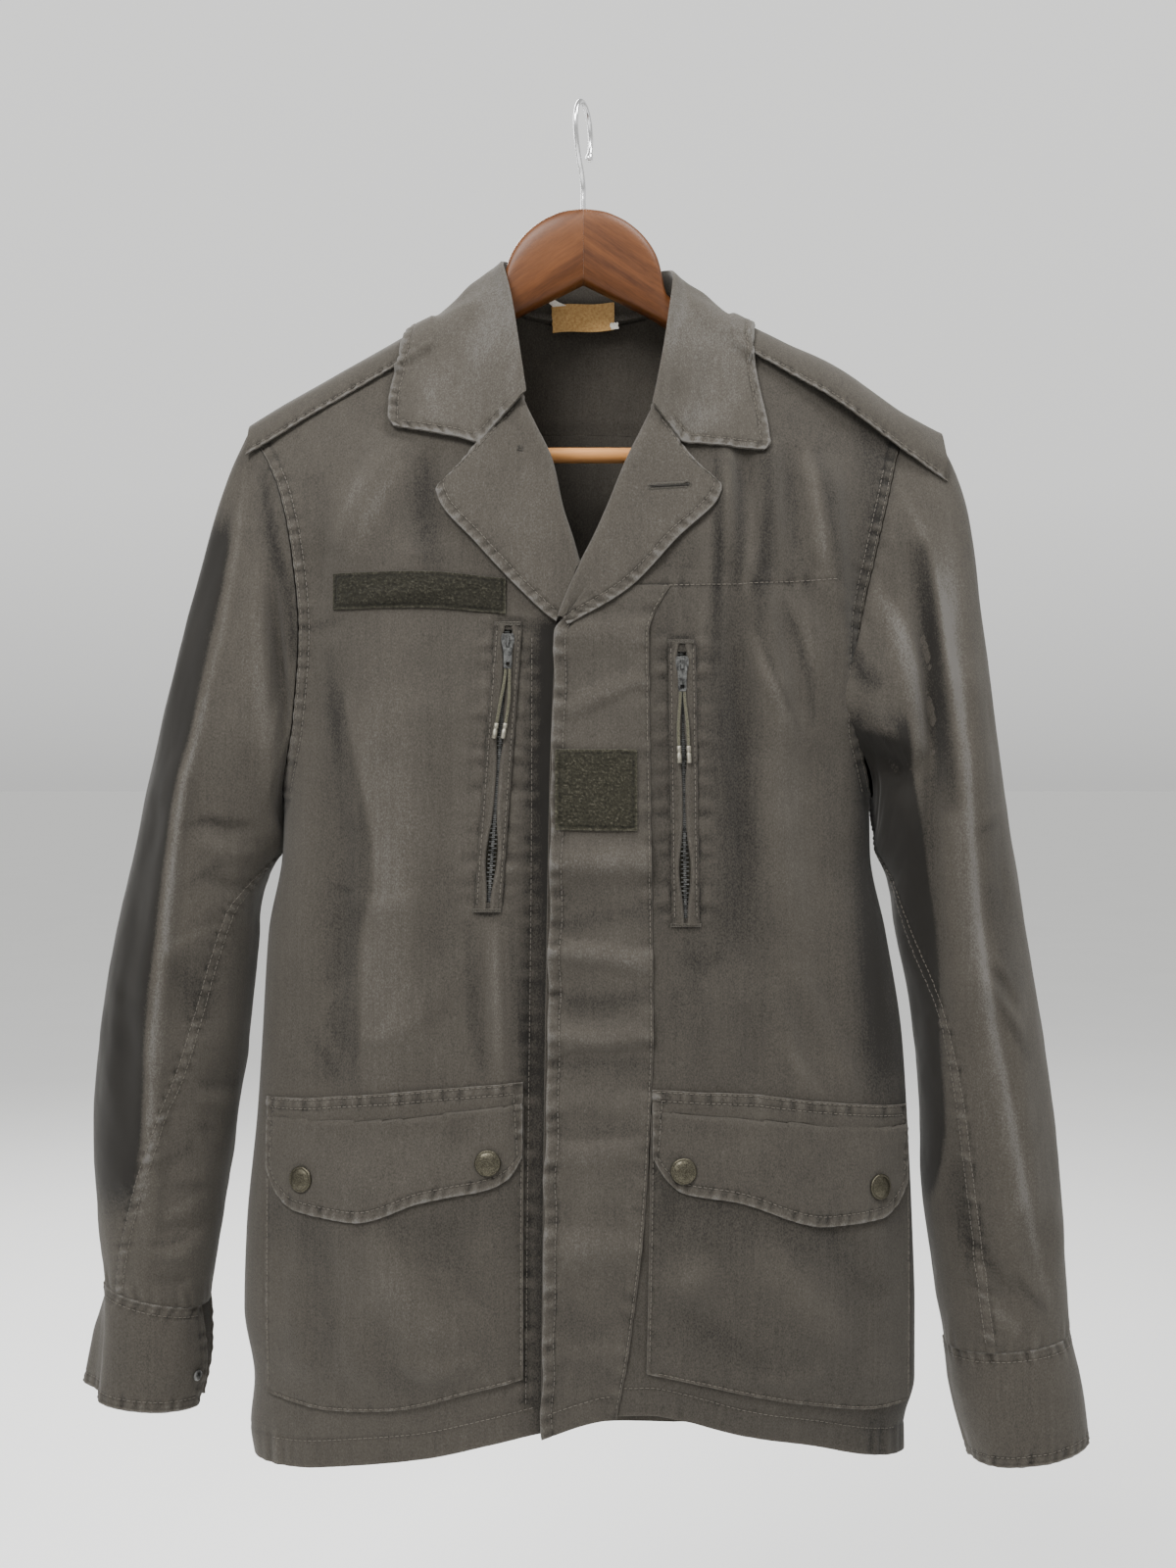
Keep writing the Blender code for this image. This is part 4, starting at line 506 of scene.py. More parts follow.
def fold_height(x, z, folds):
    """Sum of the soft ridges and troughs at (x, z)."""
    total = np.zeros(np.broadcast(x, z).shape)
    for fold in folds:
        run = np.array([fold.x1 - fold.x0, fold.z1 - fold.z0])
        along = ((x - fold.x0) * run[0] + (z - fold.z0) * run[1]) / (run @ run)
        near = np.clip(along, 0, 1)
        apart = np.hypot(x - fold.x0 - near * run[0], z - fold.z0 - near * run[1])
        total = total + fold.height * np.exp(-((apart / fold.width) ** 2))
    return total


def section_share(x, z):
    """How much of its full depth the section keeps at x: 1 on the centre line, 0 at its side."""
    half = np.where(x < 0, half_left(z), half_right(z))
    reach = np.clip(np.abs(x) / half, 0, 1)
    return (1 - reach**SECTION_POWER) ** (1 / SECTION_POWER)


def cloth_y(x, z, face):
    """The outer face of the front (face -1) or the back (face 1) at (x, z)."""
    drop = np.maximum(ridge_z(x) - z, 0)
    turn = RIDGE_RADIUS * np.sqrt(1 - (1 - np.clip(drop / RIDGE_RADIUS, 0, 1)) ** 2)
    depth = depth_front(z) if face < 0 else depth_back(z)
    deep = depth * (1 - np.exp(-((drop / RIDGE_SPREAD) ** 1.5)))
    folds = fold_height(x, z, FRONT_FOLDS if face < 0 else BACK_FOLDS)
    fade = np.clip(drop / 60, 0, 1)
    return face * ((turn + deep + folds * fade) * section_share(x, z) + SEAM / 2)


def right_lap(x):
    """The right front stands off towards its closing edge, where it laps over the left one."""
    return LAP_SHIFT * np.clip((LAP_START - x) / LAP_RUN, 0, 1)


def front_y(x, z, side):
    """The outer face of the left or the right front."""
    y = cloth_y(x, z, FRONT)
    return y - right_lap(x) if side > 0 else y


def outer_edge_x(z, side):
    """The armhole seam above the underarm and the side seam below it."""
    if side < 0:
        return -np.where(z > UNDERARM, arm_left(z), half_left(z))
    return np.where(z > UNDERARM, arm_right(z), half_right(z))


def unit(vectors):
    length = np.linalg.norm(vectors, axis=-1, keepdims=True)
    return vectors / np.maximum(length, 1e-12)


def grid_normals(grid, away, wrap=False):
    """Unit normals at a grid's points, on the side that `away` points to."""
    if wrap:
        across = np.roll(grid, -1, axis=1) - np.roll(grid, 1, axis=1)
    else:
        across = np.gradient(grid, axis=1)
    along = np.gradient(grid, axis=0)
    normals = unit(np.cross(across, along))
    if np.sum(normals * away) < 0:
        normals = -normals
    return normals


HEM_WARP = 0.22
inner_left = column(INNER_EDGE, "z", "left")
inner_right = column(INNER_EDGE, "z", "right")


def inner_edge_x(z, side):
    return inner_left(z) if side < 0 else inner_right(z)


def yoke_z(x, side_z=YOKE_CENTRE):
    return side_z - YOKE_DROP * (np.abs(x) / 200) ** 2


def back_top_z(share, left_x, right_x):
    """The back's upper edge at parts of its width: ridge, neck seam, ridge."""
    x = left_x + (right_x - left_x) * share
    neck = Curve([row.x for row in NECK], [row.z for row in NECK])
    return np.where((x > NECK[0].x) & (x < NECK[-1].x), neck(x), ridge_z(x))


TIP_LEFT, TIP_RIGHT = -214.5, 207.7
NECK_SHARES = [(row.x - TIP_LEFT) / (TIP_RIGHT - TIP_LEFT) for row in (NECK[0], NECK[-1])]


SLEEVE_POWER = 0.86
SLEEVE_JOIN = 0.34
ARMHOLE_GAP = 1.25


def tube_ring(table, part, angle):
    """Points of a flattened tube: `angle` in degrees from its outer edge towards the front."""
    turn = np.radians(angle)
    inward = (1 - np.cos(turn)) / 2
    outer_x, outer_z = column(table, "part", "outer_x")(part), column(table, "part", "outer_z")(part)
    inner_x, inner_z = column(table, "part", "inner_x")(part), column(table, "part", "inner_z")(part)
    front, back = column(table, "part", "front")(part), column(table, "part", "back")(part)
    swell = np.sign(np.sin(turn)) * np.abs(np.sin(turn)) ** SLEEVE_POWER
    x = outer_x + (inner_x - outer_x) * inward
    y = -np.where(swell > 0, front, back) * swell
    z = outer_z + (inner_z - outer_z) * inward
    return np.stack([x, y, z], axis=-1)


def armhole_ring(side, angle):
    """The body's armhole seam, a seam gap outside the panels."""
    inward = (1 - np.cos(np.radians(angle))) / 2
    tip = ridge_z(TIP_LEFT if side < 0 else TIP_RIGHT)
    z = tip + (UNDERARM - tip) * inward
    x = outer_edge_x(z, side)
    on_front = np.sin(np.radians(angle)) >= 0
    y = np.where(on_front, cloth_y(x, z, FRONT), cloth_y(x, z, BACK))
    return np.stack([x + side * ARMHOLE_GAP, y, z], axis=-1)


def sleeve_grid(table, folds, side, part, angle):
    """The outer face of a stretch of sleeve, `part` down its length and `angle` round it."""
    ring = tube_ring(table, part, angle)
    start = tube_ring(table, 0 * part, angle)
    blend = np.clip(1 - part / SLEEVE_JOIN, 0, 1)
    blend = (blend * blend * (3 - 2 * blend))[..., None]
    grid = ring + (armhole_ring(side, angle) - start) * blend
    face = np.sin(np.radians(angle))
    share = np.where(face > 0, 1.0, -0.5) * np.abs(face) ** 0.7
    crease = fold_height(grid[..., 0], grid[..., 2], folds) * share * (1 - blend[..., 0])
    grid[..., 1] -= crease
    return grid


CUFF_GAP = 0.5
CUFF_VENT = 15.0
LOBE_ANGLE, LOBE_SPREAD = -34.0, 30.0
NOTCH_ANGLE, NOTCH_SPREAD, NOTCH_SHARE = 12.0, 16.0, 0.3


def body_face_y(x, z, on_front):
    return front_y(x, z, 1 if x > 0 else -1) if on_front else cloth_y(x, z, BACK)


ROLL_RADIUS = 2.6
NECK_INSET, NECK_LIFT, NECK_SET = 2.1, 0.5, 0.6
# Shares of the collar's length at which it passes over the shoulders.
LEFT_SHOULDER, RIGHT_SHOULDER = 0.3, 0.7
STAND_SHARES = (0, 0.3, 0.6, 0.82)
FALL_SHARES = (0.25, 0.5, 0.75, 1)


def collar_profile(part):
    """One station of the collar: up its stand, over the roll and down its fall."""
    row = {key: float(column(COLLAR, "part", key)(part)) for key in Collar._fields[1:]}
    on_front = part < LEFT_SHOULDER or part > RIGHT_SHOULDER
    neck_x, neck_z = row["neck_x"], row["neck_z"]
    if on_front:
        side = -1 if part < 0.5 else 1
        neck_x = float(inner_edge_x(neck_z, side)) - side * NECK_INSET
    else:
        neck_z += NECK_LIFT
    neck = np.array([neck_x, body_face_y(neck_x, neck_z, on_front), neck_z])
    neck[1] += NECK_SET if on_front else -NECK_SET
    roll = np.array([row["roll_x"], row["roll_y"], row["roll_z"]])
    mid = np.array([row["mid_x"], 0.0, row["mid_z"]])
    edge = np.array([row["edge_x"], 0.0, row["edge_z"]])
    sign = -1 if on_front else 1
    for point in (mid, edge):
        point[1] = body_face_y(point[0], point[2], on_front) + sign * COLLAR_STAND_OFF
    fall = unit(mid - roll)
    stand = unit(neck - roll)
    points = [neck + (roll - neck) * share for share in STAND_SHARES]
    points[-1] = points[-1] - fall * ROLL_RADIUS * 0.35
    points += [roll + stand * 1.2 - fall * 0.6, roll - (stand + fall) * 0.1, roll + fall * ROLL_RADIUS]
    falls = [roll + (mid - roll) * share for share in FALL_SHARES]
    falls += [mid + (edge - mid) * share for share in FALL_SHARES]
    for point in falls:
        clear = body_face_y(point[0], point[2], on_front) + sign * COLLAR_STAND_OFF
        point[1] = min(point[1], clear) if on_front else max(point[1], clear)
    return points + falls


def slot_line(slot, share):
    x = slot.top_x + (slot.bottom_x - slot.top_x) * share
    z = slot.top_z + (slot.bottom_z - slot.top_z) * share
    return x, z





# ---------------------------------------------------------------- fine relief

Crease = namedtuple("Crease", "points near far height")
# Soft ridges (height over 0) and troughs along a line of (x, z) points. Each has a width on either hand.
# Painted light and shade from relief: tone per millimetre of crease height, paler on ridges and darker in
# troughs.
RELIEF_PAINTED_SHADE = 0.16
FRONT_CREASES = {
    -1: (
        Crease(((-122, -318), (-121, -400), (-118, -500), (-122, -600), (-124, -650)), 20, 24, 5.2),
        Crease(((-158, -420), (-150, -470), (-152, -560), (-154, -640)), 9, 13, -4.4),
        Crease(((-180, -360), (-176, -440), (-178, -560)), 8, 12, 2.2),
        Crease(((-84, -350), (-80, -420), (-86, -520), (-84, -610)), 10, 13, -2.6),
        Crease(((-54, -528), (-52, -575), (-50, -626)), 4, 5, 2.2),
        Crease(((-63, -530), (-62, -580), (-60, -622)), 4, 5, -1.6),
        Crease(((-40, -540), (-39, -580), (-38, -630)), 4, 5, 1.5),
        Crease(((-26, -338), (-27, -470), (-30, -640), (-33, -850)), 11, 12, -4.2),
        Crease(((-118, -222), (-134, -262), (-148, -300)), 13, 15, 4.2),
        Crease(((-92, -228), (-98, -262), (-104, -296)), 9, 12, -3.8),
        Crease(((-168, -245), (-166, -280), (-164, -330)), 9, 11, -2.4),
        Crease(((-150, -505), (-126, -516), (-96, -506)), 4, 9, 1.4),
        Crease(((-74, -545), (-100, -584), (-134, -600)), 7, 11, 1.7),
        Crease(((-166, -590), (-140, -606), (-112, -602)), 5, 8, -1.2),
        Crease(((-74, -318), (-108, -322), (-150, -326)), 5, 9, 1.6),
    ),
    1: (
        Crease(((86, -262), (93, -325), (99, -410), (101, -500), (92, -565)), 9, 11, -4.6),
        Crease(((107, -292), (115, -340), (124, -392), (128, -440)), 7, 11, 3.2),
        Crease(((104, -337), (109, -372), (126, -392)), 4, 7, 1.8),
        Crease(((128, -318), (146, -350), (150, -402)), 6, 12, 2.6),
        Crease(((156, -230), (160, -296), (164, -350), (169, -410), (178, -480)), 5, 11, 3.6),
        Crease(((174, -300), (178, -370), (184, -440)), 7, 8, -3.0),
        Crease(((112, -420), (128, -500), (138, -560)), 14, 18, 3.2),
        Crease(((115, -560), (128, -596), (142, -640)), 5, 9, 2.6),
        Crease(((124, -538), (148, -588), (172, -634)), 6, 10, 2.4),
        Crease(((98, -575), (104, -610), (112, -645)), 7, 9, -2.2),
        Crease(((172, -470), (181, -540), (186, -640)), 9, 12, -3.4),
        Crease(((72, -540), (76, -590), (74, -640)), 7, 10, 2.0),
        Crease(((90, -216), (90, -262), (92, -306)), 5, 8, 3.0),
        Crease(((101, -218), (103, -262), (104, -304)), 5, 7, -2.8),
        Crease(((118, -222), (118, -260), (116, -306)), 6, 8, 2.6),
        Crease(((132, -226), (134, -270), (136, -306)), 6, 8, -2.4),
        Crease(((146, -232), (147, -270), (148, -306)), 6, 8, 2.4),
        Crease(((52, -330), (49, -420), (50, -540)), 5, 7, -1.8),
    ),
}
BACK_CREASES = (
    Crease(((-150, -260), (-142, -380), (-150, -520)), 14, 20, 4.2),
    Crease(((-95, -255), (-88, -330), (-92, -430)), 12, 17, -3.6),
    Crease(((-40, -262), (-36, -360), (-44, -500)), 12, 18, 3.4),
    Crease(((18, -258), (24, -350), (20, -470)), 11, 17, -3.2),
    Crease(((66, -262), (74, -380), (64, -540)), 13, 19, 3.8),
    Crease(((120, -250), (112, -340), (118, -450)), 11, 16, -3.4),
    Crease(((158, -268), (150, -400), (160, -560)), 14, 20, 4.2),
    Crease(((-170, -455), (-120, -480), (-70, -486)), 9, 15, 2.4),
    Crease(((172, -452), (126, -486), (84, -480)), 9, 15, 2.3),
    Crease(((-120, -600), (-110, -700), (-118, -850)), 15, 23, 4.6),
    Crease(((-76, -610), (-72, -720), (-80, -860)), 12, 18, -3.2),
    Crease(((-30, -620), (-24, -720), (-34, -850)), 12, 20, 3.0),
    Crease(((48, -590), (58, -700), (50, -850)), 14, 22, 4.2),
    Crease(((94, -610), (96, -720), (92, -850)), 11, 17, -3.4),
    Crease(((132, -620), (126, -730), (136, -850)), 13, 20, 3.8),
    Crease(((-186, -640), (-150, -668), (-104, -664)), 10, 16, 2.2),
    Crease(((188, -700), (150, -720), (112, -716)), 10, 16, 2.2),
    Crease(((-60, -545), (-10, -556), (44, -548)), 10, 16, 1.8),
    Crease(((-52, -486), (-14, -500), (30, -496)), 7, 12, -1.6),
)
SLEEVE_CREASES = {
    -1: (
        Crease(((-218, -250), (-234, -344), (-244, -422), (-256, -512), (-262, -596), (-270, -710),
                (-279, -768)),
               5, 20, 5.6),
        Crease(((-232, -262), (-252, -380), (-272, -480), (-282, -580), (-290, -690)), 10, 9, -5.0),
        Crease(((-196, -296), (-192, -350), (-184, -420)), 4, 6, -7.0),
        Crease(((-206, -292), (-202, -350), (-196, -410), (-192, -462)), 7, 9, 3.6),
        Crease(((-240, -462), (-222, -468), (-204, -466)), 3, 5, -2.6),
        Crease(((-240, -474), (-222, -482), (-196, -484)), 4, 8, 2.4),
        Crease(((-236, -496), (-220, -505), (-206, -500)), 3, 6, -2.2),
        Crease(((-226, -520), (-232, -566), (-236, -600)), 7, 9, -3.0),
        Crease(((-214, -540), (-218, -580), (-224, -610)), 5, 8, 2.6),
        Crease(((-206, -616), (-222, -628), (-236, -622)), 5, 8, -2.8),
        Crease(((-208, -646), (-226, -656), (-240, -650)), 5, 8, -2.4),
        Crease(((-212, -632), (-228, -641), (-244, -637)), 5, 7, 2.2),
        Crease(((-226, -676), (-244, -690), (-258, -686)), 5, 9, 2.6),
        Crease(((-228, -706), (-246, -722), (-266, -718)), 4, 7, -2.4),
        Crease(((-236, -724), (-254, -738), (-272, -734)), 4, 7, 2.4),
        Crease(((-242, -748), (-256, -756), (-270, -752)), 3, 5, -2.0),
        Crease(((-300, -500), (-296, -580), (-304, -660)), 7, 12, 2.2),
        Crease(((-292, -430), (-276, -452), (-262, -450)), 5, 8, 1.8),
        Crease(((-300, -560), (-284, -580), (-268, -576)), 5, 9, 1.6),
    ),
    1: (
        Crease(((196, -262), (214, -340), (219, -400), (218, -480), (220, -560), (221, -640)), 6, 8, -7.0),
        Crease(((204, -500), (205, -570), (208, -640), (214, -690)), 12, 13, -12.0),
        Crease(((212, -250), (226, -340), (233, -420), (240, -500), (250, -580), (262, -660), (276, -735)),
               5, 13, 5.0),
        Crease(((181, -318), (199, -342), (208, -388), (212, -430)), 5, 8, 4.0),
        Crease(((188, -318), (186, -350), (182, -380)), 6, 8, -2.6),
        Crease(((158, -398), (174, -396), (193, -412), (206, -428)), 12, 3, 7.5),
        Crease(((166, -412), (186, -424), (197, -436)), 8, 9, -9.0),
        Crease(((199, -440), (203, -466), (206, -492)), 5, 7, 3.6),
        Crease(((256, -430), (262, -500), (272, -580)), 8, 12, -3.2),
        Crease(((247, -462), (262, -456), (272, -452)), 3, 5, 1.6),
        Crease(((244, -548), (256, -558), (268, -578)), 3, 6, -2.2),
        Crease(((250, -562), (262, -580), (276, -596)), 3, 6, 2.2),
        Crease(((268, -560), (274, -640), (286, -740)), 7, 12, 2.4),
        Crease(((232, -650), (238, -700), (246, -745)), 7, 10, -3.4),
        Crease(((244, -742), (254, -752), (262, -760)), 4, 6, 3.0),
        Crease(((240, -718), (256, -740), (274, -764)), 3, 6, -2.6),
        Crease(((262, -700), (270, -730), (286, -768)), 4, 6, 2.4),
        Crease(((300, -690), (306, -740), (314, -780)), 5, 9, 2.2),
    ),
}
BAND_CREASES = (
    Crease(((-50, -352), (10, -346), (70, -350)), 9, 12, 2.2),
    Crease(((58, -362), (22, -382), (-30, -404)), 5, 8, 2.2),
    Crease(((-50, -483), (-10, -490), (30, -488), (70, -498)), 12, 9, 5.4),
    Crease(((-50, -533), (0, -524), (30, -518), (70, -522)), 5, 7, -4.4),
    Crease(((-50, -543), (10, -545), (40, -552), (70, -556)), 7, 6, 3.4),
    Crease(((-50, -566), (0, -574), (30, -570), (70, -560)), 5, 6, -4.8),
    Crease(((-50, -592), (10, -596), (70, -590)), 9, 8, 4.2),
    Crease(((-50, -614), (10, -609), (70, -616)), 5, 6, -3.2),
    Crease(((-50, -640), (6, -634), (70, -642)), 8, 9, 1.8),
    Crease(((-50, -654), (6, -652), (70, -650)), 5, 6, -2.2),
    Crease(((-50, -668), (0, -664), (70, -656)), 9, 10, 2.2),
    Crease(((-50, -692), (20, -700), (70, -694)), 8, 9, -1.8),
    Crease(((-50, -728), (0, -722), (70, -730)), 12, 12, 3.0),
    Crease(((-50, -760), (20, -768), (70, -756)), 7, 9, -1.8),
    Crease(((-50, -792), (10, -786), (70, -794)), 7, 8, 1.6),
)
POCKET_CREASES = {
    -1: (
        Crease(((-132, -712), (-112, -745), (-78, -788)), 10, 14, 3.4),
        Crease(((-112, -793), (-88, -797), (-62, -788)), 6, 9, 2.8),
        Crease(((-168, -706), (-158, -750), (-160, -806)), 11, 13, -3.0),
        Crease(((-96, -706), (-72, -736), (-54, -764)), 9, 12, -2.4),
        Crease(((-128, -760), (-112, -800), (-96, -822)), 8, 10, -2.0),
    ),
    1: (
        Crease(((46, -740), (62, -741), (84, -732)), 11, 13, 3.6),
        Crease(((54, -762), (84, -776), (112, -800)), 9, 11, -2.8),
        Crease(((104, -716), (132, -752), (166, -788)), 11, 13, 3.4),
        Crease(((146, -706), (166, -740), (186, -764)), 9, 11, -2.6),
        Crease(((88, -800), (116, -806), (150, -800)), 6, 9, 2.0),
    ),
}
# Local swellings of a sleeve's front: place, reach and movement, as
# (x, z, reach across, reach down, dx, dy, dz).
# Painted light and shade along lines: painted highlights on ridges, and painted shade where the cloth turns
# in. The last number is the tone.
FRONT_SHADES = {
    -1: (
        Crease(((-151.2, -380.0), (-143.4, -422.0), (-135.0, -458.0), (-130.8, -500.0),
               (-138.6, -530.0), (-139.8, -578.0), (-138.6, -632.0)), 1.6, 16, -1.0),
        Crease(((-147.0, -380.0), (-139.2, -422.0), (-131.4, -458.0), (-127.2, -500.0),
               (-135.0, -530.0), (-136.2, -578.0), (-135.0, -632.0)), 22, 1.8, 0.45),
        Crease(((-159.0, -353.0), (-156.0, -392.0), (-150.6, -431.0)), 6, 5, -0.8),
        Crease(((-147.0, -300.8), (-130.2, -266.0), (-114.0, -236.0)), 2.2, 7, 0.6),
        Crease(((-160.2, -288.8), (-145.8, -260.0), (-132.0, -231.2)), 2.2, 6, 0.45),
        Crease(((-55.2, -524.0), (-54.0, -560.0), (-49.8, -626.0)), 3.5, 4, 0.6),
        Crease(((-69.6, -524.0), (-68.4, -566.0), (-61.2, -626.0)), 5, 5, -0.7),
        Crease(((-40.2, -536.0), (-38.4, -590.0), (-32.4, -629.0)), 5, 5, -0.9),
        Crease(((-75.0, -344.0), (-77.4, -416.0), (-76.2, -500.0)), 4, 12, 0.25),
        Crease(((-97.8, -233.0), (-97.8, -284.0), (-89.4, -320.0)), 10, 9, -1.0),
        Crease(((-156.6, -503.0), (-149.4, -504.8), (-141.0, -506.6)), 2, 2, -0.7),
        Crease(((-139.8, -560.0), (-153.0, -569.0), (-165.0, -590.0)), 2, 6, 0.3),
        Crease(((-126.0, -596.0), (-114.0, -572.0), (-105.0, -554.0)), 2, 4, 0.35),
        Crease(((-177.0, -344.0), (-167.4, -341.6), (-147.0, -336.8)), 3, 3, -0.6),
        Crease(((-169.8, -596.0), (-159.0, -608.0), (-150.0, -626.0)), 3, 5, -0.5),
    ),
    1: (
        Crease(((82.8, -227.0), (84.0, -272.0), (82.8, -320.0), (81.6, -374.0)), 3.2, 3, -1.2),
        Crease(((96.6, -239.0), (97.8, -284.0), (94.8, -315.2)), 2.6, 2.6, -0.9),
        Crease(((114.6, -227.0), (115.2, -272.0), (109.8, -320.0), (108.6, -350.0)), 5, 4.5, -1.3),
        Crease(((75.0, -242.0), (76.2, -296.0), (73.2, -356.0)), 3.4, 4, 0.6),
        Crease(((90.0, -242.0), (90.0, -312.8)), 2.4, 2.6, 0.5),
        Crease(((105.0, -260.0), (103.8, -314.0)), 2.6, 3, 0.6),
        Crease(((139.8, -224.0), (145.8, -260.0), (153.0, -315.2)), 1.6, 7, 1.1),
        Crease(((145.8, -227.0), (153.0, -266.0), (160.2, -320.0)), 7, 2, -0.8),
        Crease(((126.6, -230.0), (130.2, -272.0), (132.0, -315.2)), 3, 3, -0.5),
        Crease(((79.8, -356.0), (88.2, -416.0), (94.2, -488.0), (88.2, -551.0)), 16, 12, -0.8),
        Crease(((123.0, -368.0), (130.2, -470.0), (135.0, -566.0)), 18, 17, 0.6),
        Crease(((105.0, -344.0), (112.2, -368.0), (123.0, -387.2), (129.0, -401.0)), 1.8, 6, 0.7),
        Crease(((107.4, -344.0), (115.2, -368.0), (126.0, -387.2), (133.8, -407.0)), 2.2, 1.6, -0.8),
        Crease(((121.8, -320.0), (131.4, -344.0), (138.6, -368.0), (143.4, -407.0)), 2, 1.8, -0.8),
        Crease(((125.4, -320.0), (136.2, -344.0), (145.8, -374.0)), 5, 1.6, 0.6),
        Crease(((175.8, -344.0), (180.6, -440.0), (185.4, -560.0), (193.8, -626.0)), 10, 12, -1.1),
        Crease(((115.8, -587.0), (135.0, -614.0), (154.2, -638.0)), 2, 5, 0.5),
        Crease(((57.0, -545.0), (72.0, -551.0), (87.0, -545.0)), 8, 6, -0.6),
        Crease(((66.0, -524.0), (72.0, -566.0), (70.2, -620.0)), 7, 8, -0.5),
        Crease(((159.0, -320.0), (166.2, -344.0), (171.0, -380.0)), 7, 3, -0.6),
    ),
}
SLEEVE_SHADES = {
    -1: (
        Crease(((-216.6, -238.7), (-220.9, -301.5), (-233.1, -372.9), (-239.2, -407.7),
               (-248.9, -447.9), (-253.2, -484.5), (-259.3, -545.5), (-266.0, -598.6),
               (-269.7, -659.6), (-277.6, -714.5)), 2.4, 1.2, 1.0),
        Crease(((-256.9, -546.8), (-247.1, -562.0), (-243.4, -589.5)), 10, 7, -0.9),
        Crease(((-259.3, -541.3), (-241.0, -532.1), (-225.1, -527.8)), 2, 3.5, 0.8),
        Crease(((-209.9, -525.4), (-205.0, -562.0), (-205.0, -629.1)), 3, 5, 0.9),
        Crease(((-250.2, -466.2), (-234.9, -463.2), (-217.8, -462.0)), 2.2, 2, -0.9),
        Crease(((-248.3, -504.1), (-231.8, -493.1), (-223.9, -488.8)), 2, 2.5, -0.7),
        Crease(((-241.0, -626.0), (-227.6, -630.3), (-216.6, -632.1)), 3, 3.5, -0.9),
        Crease(((-243.4, -653.5), (-231.8, -658.4)), 2.5, 3, -0.7),
        Crease(((-272.7, -727.9), (-260.5, -727.9), (-248.3, -724.3)), 2.5, 2.5, -0.8),
        Crease(((-262.3, -711.5), (-252.0, -706.0), (-237.9, -697.4)), 3, 4, 0.7),
        Crease(((-203.2, -237.5), (-197.1, -281.4), (-186.1, -318.0), (-181.2, -366.8)), 5, 5, -1.4),
        Crease(((-232.5, -293.6), (-236.1, -342.4), (-242.2, -391.2)), 1.5, 2, 0.6),
        Crease(((-216.6, -330.2), (-203.2, -391.2), (-191.0, -440.0)), 10, 14, 0.4),
        Crease(((-181.8, -477.8), (-198.3, -494.9), (-210.5, -512.0)), 1.5, 5, 0.9),
        Crease(((-271.5, -684.0), (-259.3, -674.9), (-244.0, -665.7)), 3, 3, -0.5),
    ),
    1: (
        Crease(((196.4, -244.8), (215.3, -281.4), (227.5, -342.4), (236.6, -395.5), (240.9, -472.3),
               (250.0, -566.3), (265.3, -647.4), (277.5, -708.4), (295.8, -772.5)), 2.6, 4, 1.3),
        Crease(((213.4, -284.5), (220.8, -342.4), (226.9, -403.4), (231.1, -458.3)), 5, 7, -2.8),
        Crease(((182.3, -311.9), (199.4, -342.4), (211.6, -391.2), (219.5, -433.9)), 3, 8, 1.3),
        Crease(((173.8, -404.6), (189.0, -404.6), (204.3, -418.6)), 3, 7, 1.5),
        Crease(((248.8, -562.0), (264.1, -587.6), (278.7, -613.9)), 4, 2.4, -1.0),
        Crease(((242.1, -471.7), (250.0, -468.1), (259.2, -464.4)), 2.5, 2.5, -0.8),
        Crease(((253.1, -763.3), (262.2, -773.1), (274.4, -785.3)), 4, 5, 0.9),
        Crease(((268.3, -745.0), (277.5, -757.2), (292.8, -772.5)), 3, 3, -0.9),
        Crease(((247.0, -708.4), (253.1, -738.9), (259.2, -757.2)), 4, 5, -0.6),
        Crease(((237.8, -677.9), (240.9, -720.6), (247.0, -757.2)), 4, 7, -0.8),
        Crease(((167.7, -354.6), (176.8, -372.9), (186.0, -379.0)), 5, 7, -1.6),
        Crease(((254.3, -501.0), (260.4, -549.8), (271.4, -580.3)), 8, 6, -0.45),
        Crease(((259.2, -629.1), (274.4, -696.2), (287.3, -745.0)), 6, 4, 0.3),
    ),
}
SLEEVE_BULGES = {
    -1: ((-185, -474, 16, 14, 7.0, -3.0, -3.0), (-196, -520, 16, 16, -7.0, 2.0, 0.0),
         (-196, -580, 14, 40, 2.0, 0.0, 0.0)),
    1: ((176, -380, 20, 26, -13.0, -9.0, -5.0), (196, -432, 18, 16, 5.0, 8.0, 0.0),
        (198, -570, 14, 62, -6.0, 6.0, 0.0)),
}
# Lines past which a sleeve's cloth turns away, with the painted shade there.
SLEEVE_TURNS = {
    -1: (((-219.0, -257.0), (-223.3, -301.5), (-235.5, -372.9), (-241.6, -407.7), (-251.4, -447.9),
          (-255.6, -484.5), (-261.7, -545.5), (-268.4, -598.6), (-272.1, -659.6),
          (-280.0, -714.5)), 5, -1, -3.0),
    1: (((205, -385), (210, -440), (222, -520), (226, -600), (229, -680), (222, -720)), 6, -1, -5.0),
}
FOLD_SCALE = 1.45
RUMPLE = ((34.0, 1.1), (13.0, 0.42), (5.5, 0.13))


def near_line(x, z, points):
    """Distance from a line through points, the place along it, the hand, and the line's length."""
    points = np.asarray(points, float)
    best = np.full(np.broadcast(x, z).shape, 1e9)
    along = np.zeros(best.shape)
    hand = np.zeros(best.shape)
    start = 0.0
    for a, b in zip(points[:-1], points[1:]):
        run = b - a
        length = math.hypot(*run)
        t = ((x - a[0]) * run[0] + (z - a[1]) * run[1]) / length**2
        t = np.clip(t, 0, 1)
        dx, dz = x - a[0] - t * run[0], z - a[1] - t * run[1]
        apart = np.hypot(dx, dz)
        closer = apart < best
        best = np.where(closer, apart, best)
        along = np.where(closer, start + t * length, along)
        hand = np.where(closer, np.sign(run[0] * dz - run[1] * dx), hand)
        start += length
    return best, along, hand, start


